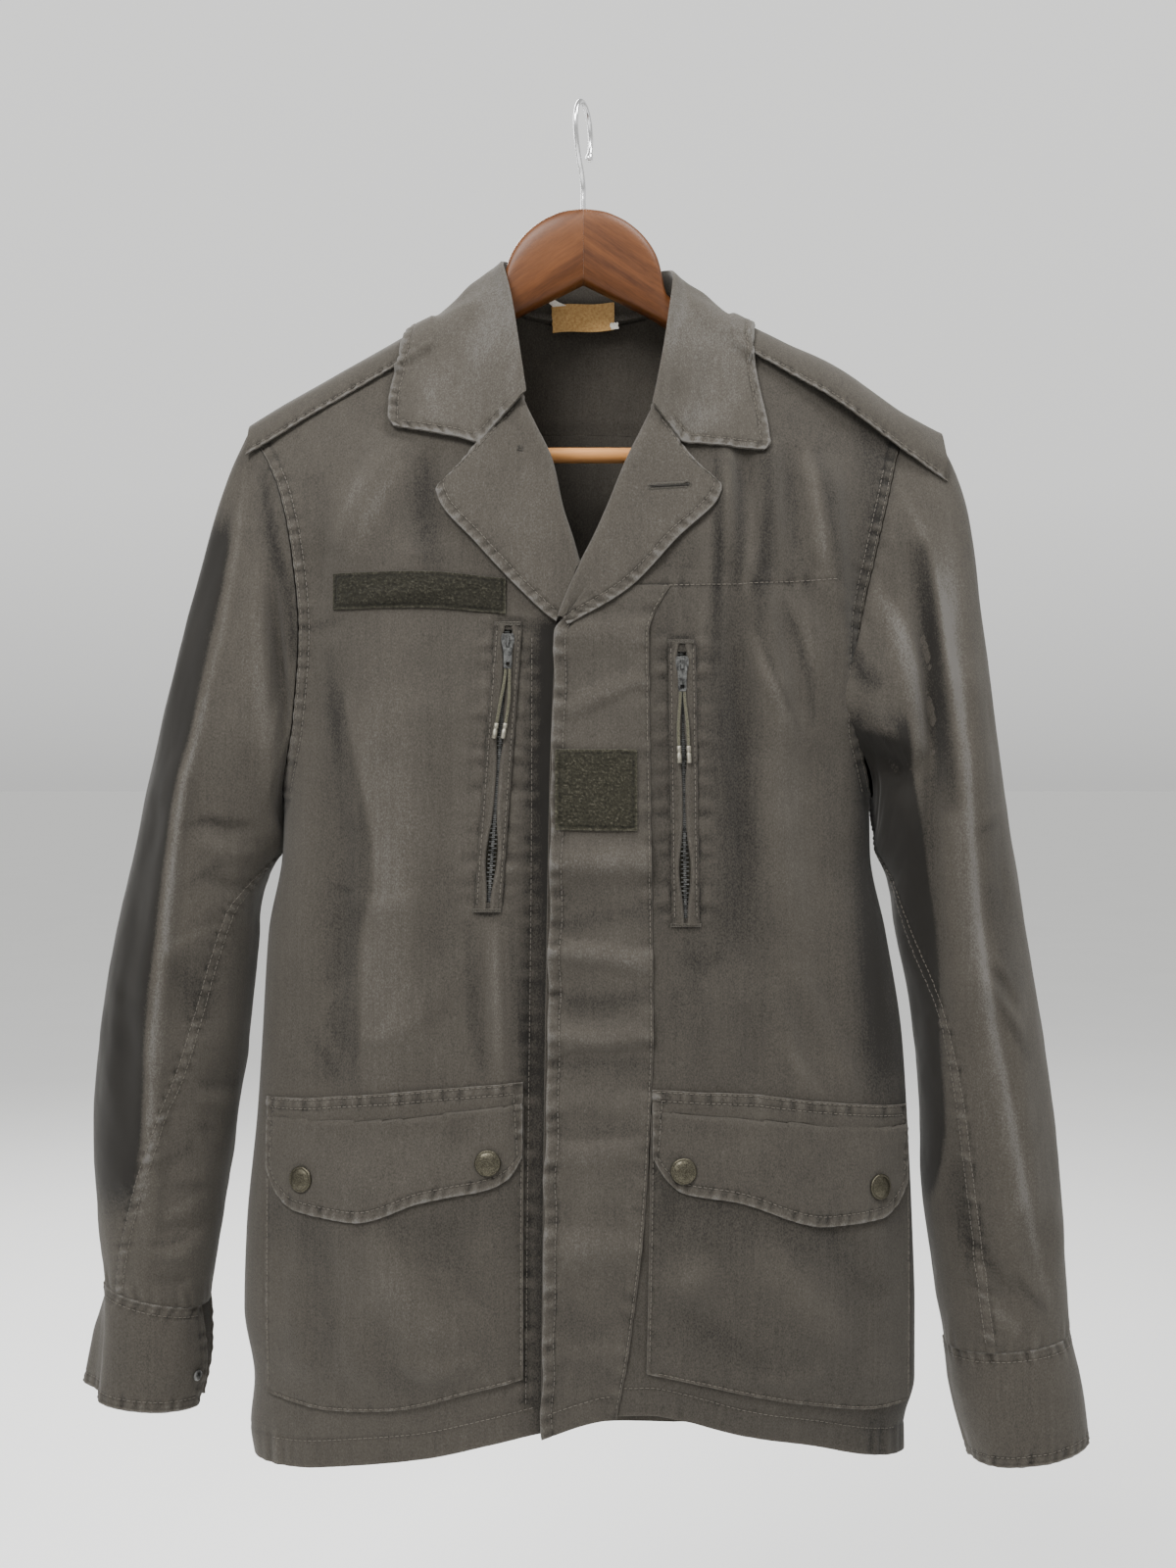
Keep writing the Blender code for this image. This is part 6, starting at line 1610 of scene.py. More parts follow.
def zip_frame(x, z, slot):
    """Relief of the welts, their stitched frame and the puckers about it, with painted light and shade on the
    puckers and painted shade in the groove and inside the frame.
    """
    length = slot.top_z - slot.bottom_z
    down = (slot.top_z - z) / length
    slot_x = slot.top_x + (slot.bottom_x - slot.top_x) * np.clip(down, -0.3, 1.3)
    off = np.abs(x - slot_x)
    beyond = np.maximum(np.maximum(z - slot.top_z, slot.bottom_z - z), 0)
    across = off - WELT_HALF
    ends = beyond - ZIP_MARGIN - 3.0
    outside = np.maximum(across, ends)
    groove = np.exp(-((outside / 0.9) ** 2)) * (1 - 0.6 * np.exp(-(((across - ends) / 4) ** 2)))
    inside = smooth_step(-outside, 0.0, 1.6)
    seed = 7 if slot.top_x < 0 else 17
    wave = ripple(z + 0.3 * off, 14.0, seed) * 0.6 + ripple(z, 8.5, seed + 1) * 0.4
    reach = np.exp(-((np.maximum(outside, 0) / 9.0) ** 2)) * smooth_step(outside, -0.5, 2.0)
    pull = wave * reach * smooth_step(length / 2 + 22 - np.abs(z - (slot.top_z + slot.bottom_z) / 2), 0, 25)
    height = 1.25 * pull - 0.7 * groove
    return height, pull - 1.5 * groove - 0.6 * inside


FRONT_LINES = {
    -1: (((-31.5, -350), (-31.8, -470), (-33.5, -640), (-35, -822)),),
    1: (((36, -318), (60, -317.2), (110, -315.5), (158, -312.5)),),
}
HEM_STITCH = 17.0


def front_relief(x, z, side):
    slot = SLOTS["left" if side < 0 else "right"]
    height, tone = zip_frame(x, z, slot)
    edge_z = np.linspace(-452, ridge_z(TIP_LEFT if side < 0 else TIP_RIGHT) - 2, 60)
    seam = np.stack([outer_edge_x(edge_z, side), edge_z], axis=1)
    apart, along, _, _ = near_line(x, z, seam)
    more, shade = sewn_relief(apart, along, SEWN_FELL)
    fell = 0.5 * (1 - smooth_step(apart, 5.6, 7.0))
    height, tone = height + more + fell, tone + shade
    # Along these stitch lines, painted shade in the groove and painted light and shade on the puckers.
    for k, points in enumerate(FRONT_LINES[side]):
        apart, along, _, _ = near_line(x, z, spread_line(points, 12))
        wave = ripple(along, 11.0, 40 + k) * np.exp(-((apart / 6) ** 2))
        height = height - 0.4 * np.exp(-((apart / 0.8) ** 2)) + 0.4 * wave
        tone = tone - 1.0 * np.exp(-((apart / 0.8) ** 2)) + 0.7 * wave
    # Painted light and shade: the tone follows the creases' height and the FRONT_SHADES lines.
    folds = crease_height(x, z, FRONT_CREASES[side])
    tone = tone + np.clip(0.6 * RELIEF_PAINTED_SHADE * folds, -0.6, 0.5)
    tone = tone + crease_height(x, z, FRONT_SHADES[side], 0.4)
    # A painted shadow darkens the left front's strip beside the band; painted shade darkens the right front
    # overall and towards its side.
    if side < 0:
        strip = 0.7 * smooth_step(x, -40, -34) + 2.4 * smooth_step(x, -34, -19)
        tone = tone - strip * smooth_step(-z, 332, 348) * (1 - 0.42 * smooth_step(-z, 440, 560))
    else:
        tone = tone - 0.35 - 0.8 * smooth_step(x, 165, 185)
    # At the hem, painted shade in the stitch groove and painted light and shade on the puckers; the hem's
    # edge is paler.
    above_hem = z - hem_front(x)
    gather = np.exp(-(((np.abs(x) - 192) / 11) ** 2)) + 0.25
    wave = ripple(x, 7.5, 60 + side) * np.exp(-(((above_hem - HEM_STITCH / 2) / 12) ** 2)) * gather
    groove = np.exp(-(((above_hem - HEM_STITCH) / 0.9) ** 2))
    height = height - 0.35 * groove + 0.8 * wave
    tone = tone - 0.6 * groove + 0.6 * wave + 0.5 * np.exp(-((above_hem / 1.5) ** 2))
    return height, tone


def build_front(name, table, side, finish):
    slot = SLOTS["left" if side < 0 else "right"]
    x, z, kept = front_points(table, side, slot)
    grid = np.stack([x, skin_y(x, z, side), z], axis=2)
    height, tone = front_relief(x, z, side)
    normals = grid_normals(grid, np.array([0.0, -1.0, 0.0]))
    meeting = np.abs(grid[:, :, 1]) < 2.5
    height = np.where(meeting, 0, height) * smooth_step(np.abs(grid[:, :, 1]), 2.0, 8.0)
    outer = grid + normals * height[..., None]
    normals[np.abs(grid[:, :, 1]) < SEAM, 1] = 0
    inner = outer - unit(normals) * WALL
    item = shell(name, outer, inner, finish, kept=kept, tone=tone)
    return item, outer


def build_back(finish):
    """The back below its yoke, and the yoke."""
    pieces = []
    share = (0.5 + 0.5 * np.sin(np.linspace(-math.pi / 2, math.pi / 2, 130)))[None, :]
    part = np.linspace(0, 1, 190)[:, None]
    top = float(yoke_z(outer_edge_x(np.array(-248.0), -1))) - SEAM
    edge_z = BACK_HEM + (top - BACK_HEM) * part
    left_x, right_x = outer_edge_x(edge_z, -1), outer_edge_x(edge_z, 1)
    x = left_x + (right_x - left_x) * share
    rise = yoke_z(x) - SEAM - top
    z = edge_z + rise * np.clip((part - 0.55) / 0.45, 0, 1)
    grid = np.stack([x, back_skin_y(x, z), z], axis=2)
    pieces.append(("back_cloth", grid, ("top",), 20))
    share = back_columns(120)[None, :]
    rounded = 0.9 + 0.1 * np.sin(np.linspace(0, math.pi / 2, 18))[1:]
    part = np.concatenate([np.linspace(0, 0.9, 34), rounded])[:, None]
    top_z = back_top_z(share, TIP_LEFT, TIP_RIGHT)
    low_left = yoke_z(outer_edge_x(np.array(-248.0), -1))
    low_right = yoke_z(outer_edge_x(np.array(-248.0), 1))
    edge_left = low_left + (ridge_z(TIP_LEFT) - low_left) * part
    edge_right = low_right + (ridge_z(TIP_RIGHT) - low_right) * part
    left_x, right_x = outer_edge_x(edge_left, -1), outer_edge_x(edge_right, 1)
    x = left_x + (right_x - left_x) * share
    low_z = yoke_z(x[:1])
    z = low_z + (top_z - low_z) * part
    grid = np.stack([x, back_skin_y(x, z), z], axis=2)
    pieces.append(("yoke_cloth", grid, ("top",), 21))
    built = {}
    for name, grid, borders, seed in pieces:
        normals = grid_normals(grid, np.array([0.0, 1.0, 0.0]))
        apart, along = border_distance(grid, borders)
        height, tone = sewn_relief(apart, along, Sewing((1.0, 6.0), 0.35, 5.0, 9.0, seed))
        sides, place = border_distance(grid, ("left", "right"))
        more, shade = sewn_relief(sides, place, Sewing((0.9, 6.0), 0.4, 5.0, 8.5, seed + 5))
        fade = smooth_step(np.abs(grid[:, :, 1]), 2.0, 8.0)
        outer = grid + normals * ((height + more) * fade)[..., None]
        normals[np.abs(grid[:, :, 1]) < SEAM, 1] = 0
        inner = outer - unit(normals) * WALL
        built[name] = (shell(name, outer, inner, finish, tone=tone + shade), outer, inner)
    return built


def back_columns(count):
    near = 0.5 + 0.5 * np.sin(np.linspace(-math.pi / 2, math.pi / 2, count))
    return np.unique(np.round(np.concatenate([near, NECK_SHARES]), 4))


# ---------------------------------------------------------------- sleeves and cuffs


def build_sleeve(name, table, creases, seams, side, finish):
    """The whole tube of a sleeve, with its two long seams and its gathered head."""
    part = np.linspace(0, 1, 236)[:, None]
    angle = np.linspace(0, 360, 144, endpoint=False)[None, :]
    rows = part + 0 * angle
    turn = angle + 0 * part
    grid = sleeve_grid(table, creases[0], side, rows, turn)
    centre = tube_centre(table, rows)
    face = np.sin(np.radians(turn))
    share = np.where(face > 0, 1.0, -0.55) * np.abs(face) ** 0.7
    fade = smooth_step(rows, 0.0, 0.1)
    fine = crease_height(grid[..., 0], grid[..., 2], creases[1]) * share * fade
    grid[..., 1] -= fine
    facing_front = smooth_step(face, -0.75, 0.1)
    for x, z, wide, tall, dx, dy, dz in SLEEVE_BULGES[side]:
        near = np.exp(-(((grid[..., 0] - x) / wide) ** 2) - (((grid[..., 2] - z) / tall) ** 2)) * facing_front
        grid = grid + near[..., None] * np.array([dx, dy, dz], float)
    girth = np.linalg.norm(np.roll(grid, -1, axis=1) - grid, axis=2)
    arc = np.cumsum(girth, axis=1) - girth
    total = girth.sum(axis=1, keepdims=True)
    step = np.linalg.norm(np.diff(grid, axis=0), axis=2).mean(axis=1)
    length = np.concatenate([[0], np.cumsum(step)])[:, None]
    height = rumple(arc, length + 0 * arc, 71 + side) * fade
    line, reach, hand_wanted, shade = SLEEVE_TURNS[side]
    off_line, _, hand, _ = near_line(grid[..., 0], grid[..., 2], spread_line(line, 20))
    ends = smooth_step(grid[..., 2], line[-1][1] - 10, line[-1][1] + 40)
    ends = ends * smooth_step(-grid[..., 2], -line[0][1], 40 - line[0][1])
    # Painted light and shade: the tone follows the creases, the SLEEVE_SHADES lines, and the turned-away side
    # past the SLEEVE_TURNS line.
    tone = np.clip(RELIEF_PAINTED_SHADE * fine, -0.8, 0.7)
    shades = crease_height(grid[..., 0], grid[..., 2], SLEEVE_SHADES[side], 0.35)
    tone = tone + shades * smooth_step(face, -0.35, 0.1)
    beyond = smooth_step(off_line * hand * hand_wanted, 0, reach)
    tone = tone + shade * beyond * smooth_step(face, -0.4, 0.2) * ends
    # Painted highlight on the right sleeve's ridge.
    if side > 0:
        tone = tone + 1.7 * np.exp(-(((grid[..., 0] - 230) / 9) ** 2) - (((grid[..., 2] + 345) / 60) ** 2))
    # Along the seams, painted light and shade on the puckers and painted shade in the stitch grooves; the
    # felled band is paler.
    for k, key in enumerate(("near", "far")):
        seam = column(seams, "part", key)(part[:, 0]) % 360
        seam_arc = np.array([np.interp(a, angle[0], row) for a, row in zip(seam, arc)])[:, None]
        apart = arc - seam_arc
        apart = (apart + total / 2) % total - total / 2
        wave = ripple(length + 0.4 * apart, 9.0, 80 + k + side)
        band = smooth_step(apart, -0.6, 0.4) * (1 - smooth_step(apart, 6.4, 7.4))
        reach = np.exp(-(((apart - 3.4) / 5.5) ** 2))
        grooves = np.exp(-((apart / 0.8) ** 2)) + 0.8 * np.exp(-(((apart - 6.2) / 0.8) ** 2))
        height = height + 0.5 * band + 0.55 * wave * reach - 0.5 * grooves
        tone = tone + 0.9 * wave * reach - 1.1 * grooves + 0.4 * band
    # At the head and the foot, painted light and shade on the puckers, and darker cloth right at the joins.
    head = np.exp(-((length / 7.0) ** 2))
    height = height + 0.5 * ripple(arc, 8.0, 90 + side) * head * smooth_step(length, 0.5, 3)
    tone = tone + 0.4 * ripple(arc, 8.0, 90 + side) * head - 0.6 * np.exp(-((length / 1.4) ** 2))
    foot = length[-1] - length
    gather = np.exp(-((foot / 9.0) ** 2))
    height = height + 0.6 * ripple(arc, 8.5, 95 + side) * gather * smooth_step(foot, 0.5, 3)
    tone = tone + 0.45 * ripple(arc, 8.5, 95 + side) * gather - 0.5 * np.exp(-((foot / 1.2) ** 2))
    item, outer, normals = cloth(name, grid, grid - centre, finish, height, tone, wrap=True)
    seams_at = []
    closed = np.concatenate([arc, total], axis=1)
    for key in ("near", "far"):
        seam = column(seams, "part", key)(part[:, 0]) % 360
        for apart in (0.9, 6.2):
            line = []
            for a, keys, points, out, row in zip(seam, closed, outer, normals, arc):
                at = (np.interp(a, angle[0], row) + apart) % keys[-1]
                ring = np.concatenate([points, points[:1]]) + np.concatenate([out, out[:1]]) * 0.12
                line.append([np.interp(at, keys, ring[:, k]) for k in range(3)])
            seams_at.append(cut_path(np.array(line), 4, 4))
    return item, outer, seams_at


def tube_centre(table, part):
    middle = (tube_ring(table, part, 0 * part) + tube_ring(table, part, 0 * part + 180)) / 2
    middle[..., 1] = 0
    return middle


def build_cuff(name, table, sleeve, folds, side, opening, finish):
    """The band at a sleeve's end."""
    rows = np.linspace(0, 1, 46)[:, None]
    columns = 150
    if opening:
        angle = np.linspace(opening - 180, 180 - opening, columns)[None, :] + 0 * rows
    else:
        angle = np.linspace(-180, 180, columns + 1)[None, :-1] + 0 * rows
    part = rows + 0 * angle
    ring = tube_ring(table, part, angle)
    end = sleeve_grid(sleeve, folds, side, 0 * part + 1, angle)
    before = sleeve_grid(sleeve, folds, side, 0 * part + 0.97, angle)
    end = end + unit(end - before) * CUFF_GAP
    blend = np.clip(1 - part / 0.3, 0, 1)[..., None]
    grid = ring + (end - tube_ring(table, 0 * part, angle)) * blend
    lobe = column(table, "part", "lobe")(part)
    hind = np.exp(-(((angle - LOBE_ANGLE) / LOBE_SPREAD) ** 2))
    notch = np.exp(-(((angle - NOTCH_ANGLE) / NOTCH_SPREAD) ** 2))
    grid[..., 0] += side * lobe * (hind - NOTCH_SHARE * notch)
    borders = ("top", "bottom") + (("left", "right") if opening else ())
    apart, along = border_distance(grid, borders)
    height, tone = sewn_relief(apart, along, Sewing((1.2, 6.2), 0.42, 5.0, 8.0, 120 + side))
    height = height + rumple(angle * 0.8, part * 70, 130 + side) * 0.9
    away = grid - tube_centre(table, part)
    return cloth(name, grid, away, finish, height, tone, DOUBLE_WALL, wrap=not opening)


# ---------------------------------------------------------------- collar and lapels


def build_collar(finish, bases):
    stations = np.concatenate([[0, 0.015], np.linspace(0.05, 0.95, 19), [0.985, 1]])
    grid = np.array([collar_profile(part) for part in stations])
    smooth = grid.copy()
    smooth[2:-2] = (grid[1:-3] + 2 * grid[2:-2] + grid[3:-1]) / 4
    fine = refined(smooth, 190, 62)
    fine = float_off(fine, bases, DOUBLE_WALL / 2 + 1.0, first=22, rounds=3)
    normals = grid_normals(fine, np.array([0.0, -1.0, 0.4]))
    apart, along = border_distance(fine, ("top", "bottom", "right"))
    height, tone = sewn_relief(apart, along, Sewing((6.0,), 0.5, 4.0, 7.0, 140))
    from_neck, place = border_distance(fine, ("left",))
    on_fall = smooth_step(from_neck, 24, 34)
    waves = 0.8 * value_noise(place / 45.0, from_neck / 22.0, 141)
    waves = waves + 0.4 * value_noise(place / 16.0, from_neck / 20, 142)
    height = height * on_fall + waves * on_fall
    # The tone paints light and shade onto the waves, and painted light makes the whole collar lighter, paler
    # still along the roll; it also varies at random.
    tone = tone * on_fall + 0.3 * value_noise(place / 30.0, from_neck / 16.0, 143) + 0.3 * waves
    roll = np.exp(-(((from_neck - 20) / 3.0) ** 2))
    tone = tone + 0.3 * roll + 0.7
    return cloth("collar_cloth", fine, normals, finish, height, tone, DOUBLE_WALL, middle=True)


def lapel_points(table, side, parts):
    rows = []
    for part in parts:
        row = {key: float(column(table, "part", key)(part)) for key in Lapel._fields[1:]}
        z = row["roll_z"]
        seam_x = float((inner_left if side < 0 else inner_right)(z))
        panel_y = float(front_y(seam_x, z, side))
        turn = [
            (seam_x - side * 1.3, panel_y + 0.6, z),
            (seam_x - side * 2.2, panel_y + 0.1, z),
            (seam_x - side * ROLL_SET, panel_y - 1.8, z),
            (seam_x - side * 1.9, panel_y - 4.0, z),
        ]
        start = np.array([seam_x, z])
        mid = np.array([row["mid_x"], row["mid_z"]])
        edge = np.array([row["edge_x"], row["edge_z"]])
        flat = [start + (mid - start) * share for share in (0.35, 0.7, 1)]
        flat += [mid + (edge - mid) * share for share in (0.5, 1)]
        for (x, height), lift in zip(flat, (4.8, 4.2, 3.7, 3.3, 3.0)):
            turn.append((x, float(front_y(x, height, side)) - lift, height))
        rows.append(turn)
    return np.array(rows)


# The left lapel goes on under the right one.
LAPEL_UNDER = Lapel(1.2, -305, -8, -322, -16.5, -340)


def build_lapel(name, table, side, finish, bases):
    if side < 0:
        table = table + (LAPEL_UNDER,)
    rows = lapel_points(table, side, np.linspace(0, table[-1].part, 28))
    tuck = np.array([0.3, 0.3, 0.6, 1, 1, 1, 0.9, 0.15, 0.1])[:, None] * np.array([0, 2.2, 3.4])
    grid = refined(np.concatenate([rows[:1] + tuck, rows]), 100, 46)
    front = grid[:, 14:]
    grid[:, 14:] = settle(front, bases, WALL / 2 + 0.4)
    apart, along = border_distance(grid, ("top", "right"))
    height, tone = sewn_relief(apart, along, Sewing((6.0,), 0.42, 4.0, 7.0, 150 + side))
    from_left, place = border_distance(grid, ("left",))
    on_face = smooth_step(from_left, 6, 14)
    waves = 0.7 * value_noise(place / 34.0, from_left / 24.0, 151 + side)
    height = (height + waves) * on_face
    # Painted light makes the lapel lighter overall and the tone paints light and shade onto its waves; it is
    # also paler along its turning line.
    tone = tone * on_face + 0.5 * np.exp(-(((from_left - 4) / 2.5) ** 2)) + 0.35 + 0.35 * waves
    return cloth(name, grid, (0, -1, 0), finish, height, tone, WALL, middle=True)


# ---------------------------------------------------------------- pieces that lie on the fronts


def patch_points(patch, spacing, side):
    width = patch.right - patch.left
    share = np.linspace(0, 1, int(width / spacing) + 1)
    top = column(patch.outline, "across", "top")(share)
    bottom = column(patch.outline, "across", "bottom")(share)
    down = np.linspace(0, 1, int((top - bottom).max() / spacing) + 1)[:, None]
    z = top[None, :] + (bottom - top)[None, :] * down
    x = patch.left + width * share[None, :] + patch.lean * down * (1 - share)[None, :]
    return np.stack([x, skin_y(x, z, side), z], axis=2)


def laid_cloth(name, grid, bases, finish, height, tone, thickness=WALL, gap=LAID, stride=3):
    """A piece laid on others. Its relief is part of both faces."""
    inner = settle(grid, bases, gap)
    normals = grid_normals(inner, np.array([0.0, -1.0, 0.0]))
    outer = inner + normals * (thickness + np.maximum(height, -thickness * 0.6))[..., None]
    item = shell(name, outer, inner, finish, stride=stride, tone=tone)
    return item, outer, normals


def build_pocket(name, patch, side, bases, finish):
    grid = patch_points(patch, 1.7, side)
    apart, along = border_distance(grid, ("left", "right", "bottom"))
    seed = 160 + side
    height, tone = sewn_relief(apart, along, Sewing((1.4,), 0.2, 3.0, 9.0, seed))
    tone = 0.6 * tone
    body = smooth_step(apart, 5, 34)
    grid[..., 1] -= 2.0 * body * smooth_step(-grid[..., 2], 640, 690)
    folds = crease_height(grid[..., 0], grid[..., 2], POCKET_CREASES[side]) * smooth_step(apart, 0, 14)
    grid[..., 1] -= folds
    # Painted shade: darker under the flap and over the whole right pocket; the tone also follows the folds as
    # painted light and shade.
    tone = tone + RELIEF_PAINTED_SHADE * folds - 0.5 * smooth_step(grid[..., 2], -745, -700) - 0.35 * (side > 0)
    fold = 1.1 * value_noise(grid[..., 0] / 42, grid[..., 2] / 30, seed) + 0.5 * value_noise(
        grid[..., 0] / 17, grid[..., 2] / 14, seed + 3)
    height = height + fold * smooth_step(apart, 2, 16)
    return laid_cloth(name, grid, bases, finish, height, tone, gap=FLAP_GAP)


def build_flap(name, patch, side, bases, finish):
    grid = patch_points(patch, 1.25, side)
    apart, along = border_distance(grid, ("left", "right", "bottom"))
    seed = 170 + side
    height, tone = sewn_relief(apart, along, Sewing((6.0,), 0.38, 4.2, 7.5, seed))
    top, place = border_distance(grid, ("top",))
    more, shade = sewn_relief(top, place, Sewing((1.0, 6.5), 0.32, 4.5, 9.0, seed + 4))
    grid[..., 1] -= 1.6 * smooth_step(top, 8, 60) + 0.9 * value_noise(place / 38, top / 30, seed + 6)
    height = height + more + 0.5 * value_noise(place / 14, top / 16, seed + 7) * smooth_step(apart, 2, 9)
    # Painted shade: the right flap is darker.
    shade = shade - 0.15 * (side > 0)
    return laid_cloth(name, grid, bases, finish, height, tone + shade, gap=FLAP_GAP)


WELT_REACH = 8.4
# The share of a pair of facings that is cloth. The rest is the opening between them.
WELT_CLOTH_SHARE = 0.82


def build_welts(name, slot, side, bases, finish):
    """The two narrow facings beside a zip opening."""
    share = np.linspace(-0.012, 1.016, 170)
    lip = lip_half_width(share)[:, None] + 0.1
    across = np.concatenate([np.linspace(-1, 0, 12), np.linspace(0, 1, 12)])[None, :]
    hand = np.repeat([-1, 1], 12)[None, :]
    x, z = slot_line(slot, share)
    off = lip + (WELT_REACH - lip) * np.abs(across)
    x = x[:, None] + hand * off
    z = z[:, None] + 0 * x
    grid = np.stack([x, front_y(x, z, side), z], axis=2)
    from_lip, from_edge = off - lip, WELT_REACH - off
    wave = ripple(z + 20 * hand, 10.5, 301 + side) * np.exp(-((from_edge / 4) ** 2))
    stitched = np.exp(-(((from_edge - 1.6) / 0.55) ** 2))
    height = 0.3 * wave - 0.4 * np.exp(-((from_edge / 0.6) ** 2)) - 0.3 * stitched
    height = height - 0.35 * np.exp(-((from_lip / 0.6) ** 2))
    height = height + 0.25 * np.exp(-(((from_lip - 1.6) / 1.0) ** 2))
    # The tone paints light and shade onto the puckers and painted shade into the stitched groove and along
    # the outer edge; the lip is paler and the welts a little darker overall.
    tone = 0.4 * wave - 0.9 * stitched + 0.8 * np.exp(-(((from_lip - 0.9) / 0.9) ** 2))
    tone = tone - 0.8 * np.exp(-((from_edge / 0.5) ** 2)) - 0.25
    inner = settle(grid, bases, 0.12)
    normals = grid_normals(inner, np.array([0.0, -1.0, 0.0]))
    outer = inner + normals * (0.8 + np.maximum(height, -0.5))[..., None]
    kept = np.ones((len(share) - 1, 23), bool)
    kept[:, 11] = False
    return shell(name, outer, inner, finish, kept=kept, tone=tone), outer, normals


# The band's head, up to the seam across the chest.
BAND_HEAD = (Band(-317.8, 4, 54), Band(-325, -1.5, 49), Band(-335, -9, 43.5))


def build_band(bases, finish):
    rows = BAND_HEAD + FLY_BAND
    z = np.linspace(rows[0].z, rows[-1].z, 320)[:, None]
    left = column(rows, "z", "left")(z)
    right = column(rows, "z", "right")(z)
    share = np.linspace(0, 1, 40)[None, :]
    wave = 0.7 * ripple(z, 46, 181) * np.exp(-((share / 0.12) ** 2))
    x = left + (right - left) * share + wave
    z = z + (hem_front(x) - 2.5 - FLY_BAND[-1].z) * np.clip((-700 - z) / 129, 0, 1)
    folds = crease_height(x, z, BAND_CREASES)
    grid = np.stack([x, skin_y(x, z, 1) - folds, z], axis=2)
    apart, along = border_distance(grid, ("left",))
    grid[..., 1] -= 2.4 * np.exp(-((apart / 9) ** 2))
    height, tone = sewn_relief(apart, along, Sewing((7.0,), 0.45, 5.0, 11.0, 182))
    # Painted light and shade: the tone follows the band's folds, its puckers and its soft swells, with
    # painted shade in the stitch grooves; its edges are paler.
    tone = tone + RELIEF_PAINTED_SHADE * folds
    far, place = border_distance(grid, ("right",))
    wave = ripple(place, 13.0, 183) * np.exp(-((far / 8) ** 2))
    height = height + 0.5 * wave - 0.4 * np.exp(-(((far - 1.2) / 0.9) ** 2))
    tone = tone + 0.5 * wave - 0.7 * np.exp(-(((far - 1.2) / 0.9) ** 2))
    soft = value_noise(grid[..., 0] / 26, grid[..., 2] / 34, 184) + 0.5 * value_noise(
        grid[..., 0] / 13, grid[..., 2] / 19, 185)
    height = height + 0.9 * soft * smooth_step(apart, 4, 14) * smooth_step(far, 2, 10)
    tone = tone + 0.2 * soft
    end, place = border_distance(grid, ("bottom",))
    height = height - 0.35 * np.exp(-(((end - 15) / 0.9) ** 2))
    tone = tone - 0.6 * np.exp(-(((end - 15) / 0.9) ** 2)) + 0.5 * np.exp(-((end / 1.5) ** 2))
    head, place = border_distance(grid, ("top",))
    height = height - 0.6 * np.exp(-((head / 7) ** 2))
    height = height - 0.5 * smooth_step(z, -345, -330) * np.exp(-((far / 5) ** 2))
    return laid_cloth("fly_band_cloth", grid, bases, finish, height, tone)


def build_pile(name, patch, side, bases, finish, thickness):
    """A woven base covered with short loops, stitched down near its edges."""
    grid = patch_points(patch, 0.62, side)
    apart, _ = border_distance(grid, ("left", "right", "top", "bottom"))
    rng = np.random.RandomState(int(abs(patch.left)))
    loops = rng.uniform(0, 1, grid.shape[:2])
    across = value_noise(grid[..., 0] / 1.1, grid[..., 2] / 0.9, 191) * 0.5 + 0.5
    height = (0.75 * loops * across + 0.35 * across) * smooth_step(apart, 1.2, 2.2)
    height = height + 0.3 * value_noise(grid[..., 0] / 18, grid[..., 2] / 14, 193)
    stitch = np.exp(-(((apart - 2.2) / 0.7) ** 2))
    # The loops are paler than the ground; painted shade darkens the stitch groove, and the edge is paler.
    tone = (loops * across - 0.3) * 1.5 - 0.8 * stitch + 0.6 * np.exp(-((apart / 0.8) ** 2))
    return laid_cloth(name, grid, bases, finish, height - 0.4 * stitch, tone, thickness, stride=2)


def build_strap(name, table, side, bases, finish):
    grid = refined(strap_points(table, side), 90, 44)
    grid = float_off(grid, bases, WALL / 2 + 0.4)
    apart, along = border_distance(grid, ("left", "right"))
    height, tone = sewn_relief(apart, along, Sewing((3.2,), 0.35, 3.2, 7.0, 200 + side))
    height = height + 0.4 * value_noise(along / 22, apart / 12, 201 + side)
    return cloth(name, grid, (0, 0, 1), finish, height, tone, WALL, middle=True)


def strap_points(table, side):
    rows = []
    tip = TIP_RIGHT if side > 0 else TIP_LEFT
    for part in np.linspace(0, 1, 16):
        row = {key: float(column(table, "part", key)(part)) for key in Strap._fields[1:]}
        x = row["x"]
        ridge = float(ridge_z(np.clip(x, TIP_LEFT, TIP_RIGHT)))
        ridge -= max(abs(x) - abs(tip), 0) * 0.62
        across = []
        for reach in (-1, -0.7, -0.35, 0, 0.35, 0.7, 1):
            fall = (row["front"] if reach < 0 else row["back"]) * abs(reach) ** 1.7
            z = ridge - fall
            y = float(cloth_y(x, z - 0.01, FRONT if reach < 0 else BACK)) if reach else 0.0
            tilt = unit(np.array([0, y, 7.0 * (1 - abs(reach)) + 1.5]))
            across.append(np.array([x, y, z]) + tilt * (row["rise"] + WALL / 2 + LAID))
        rows.append(across)
    return np.array(rows)


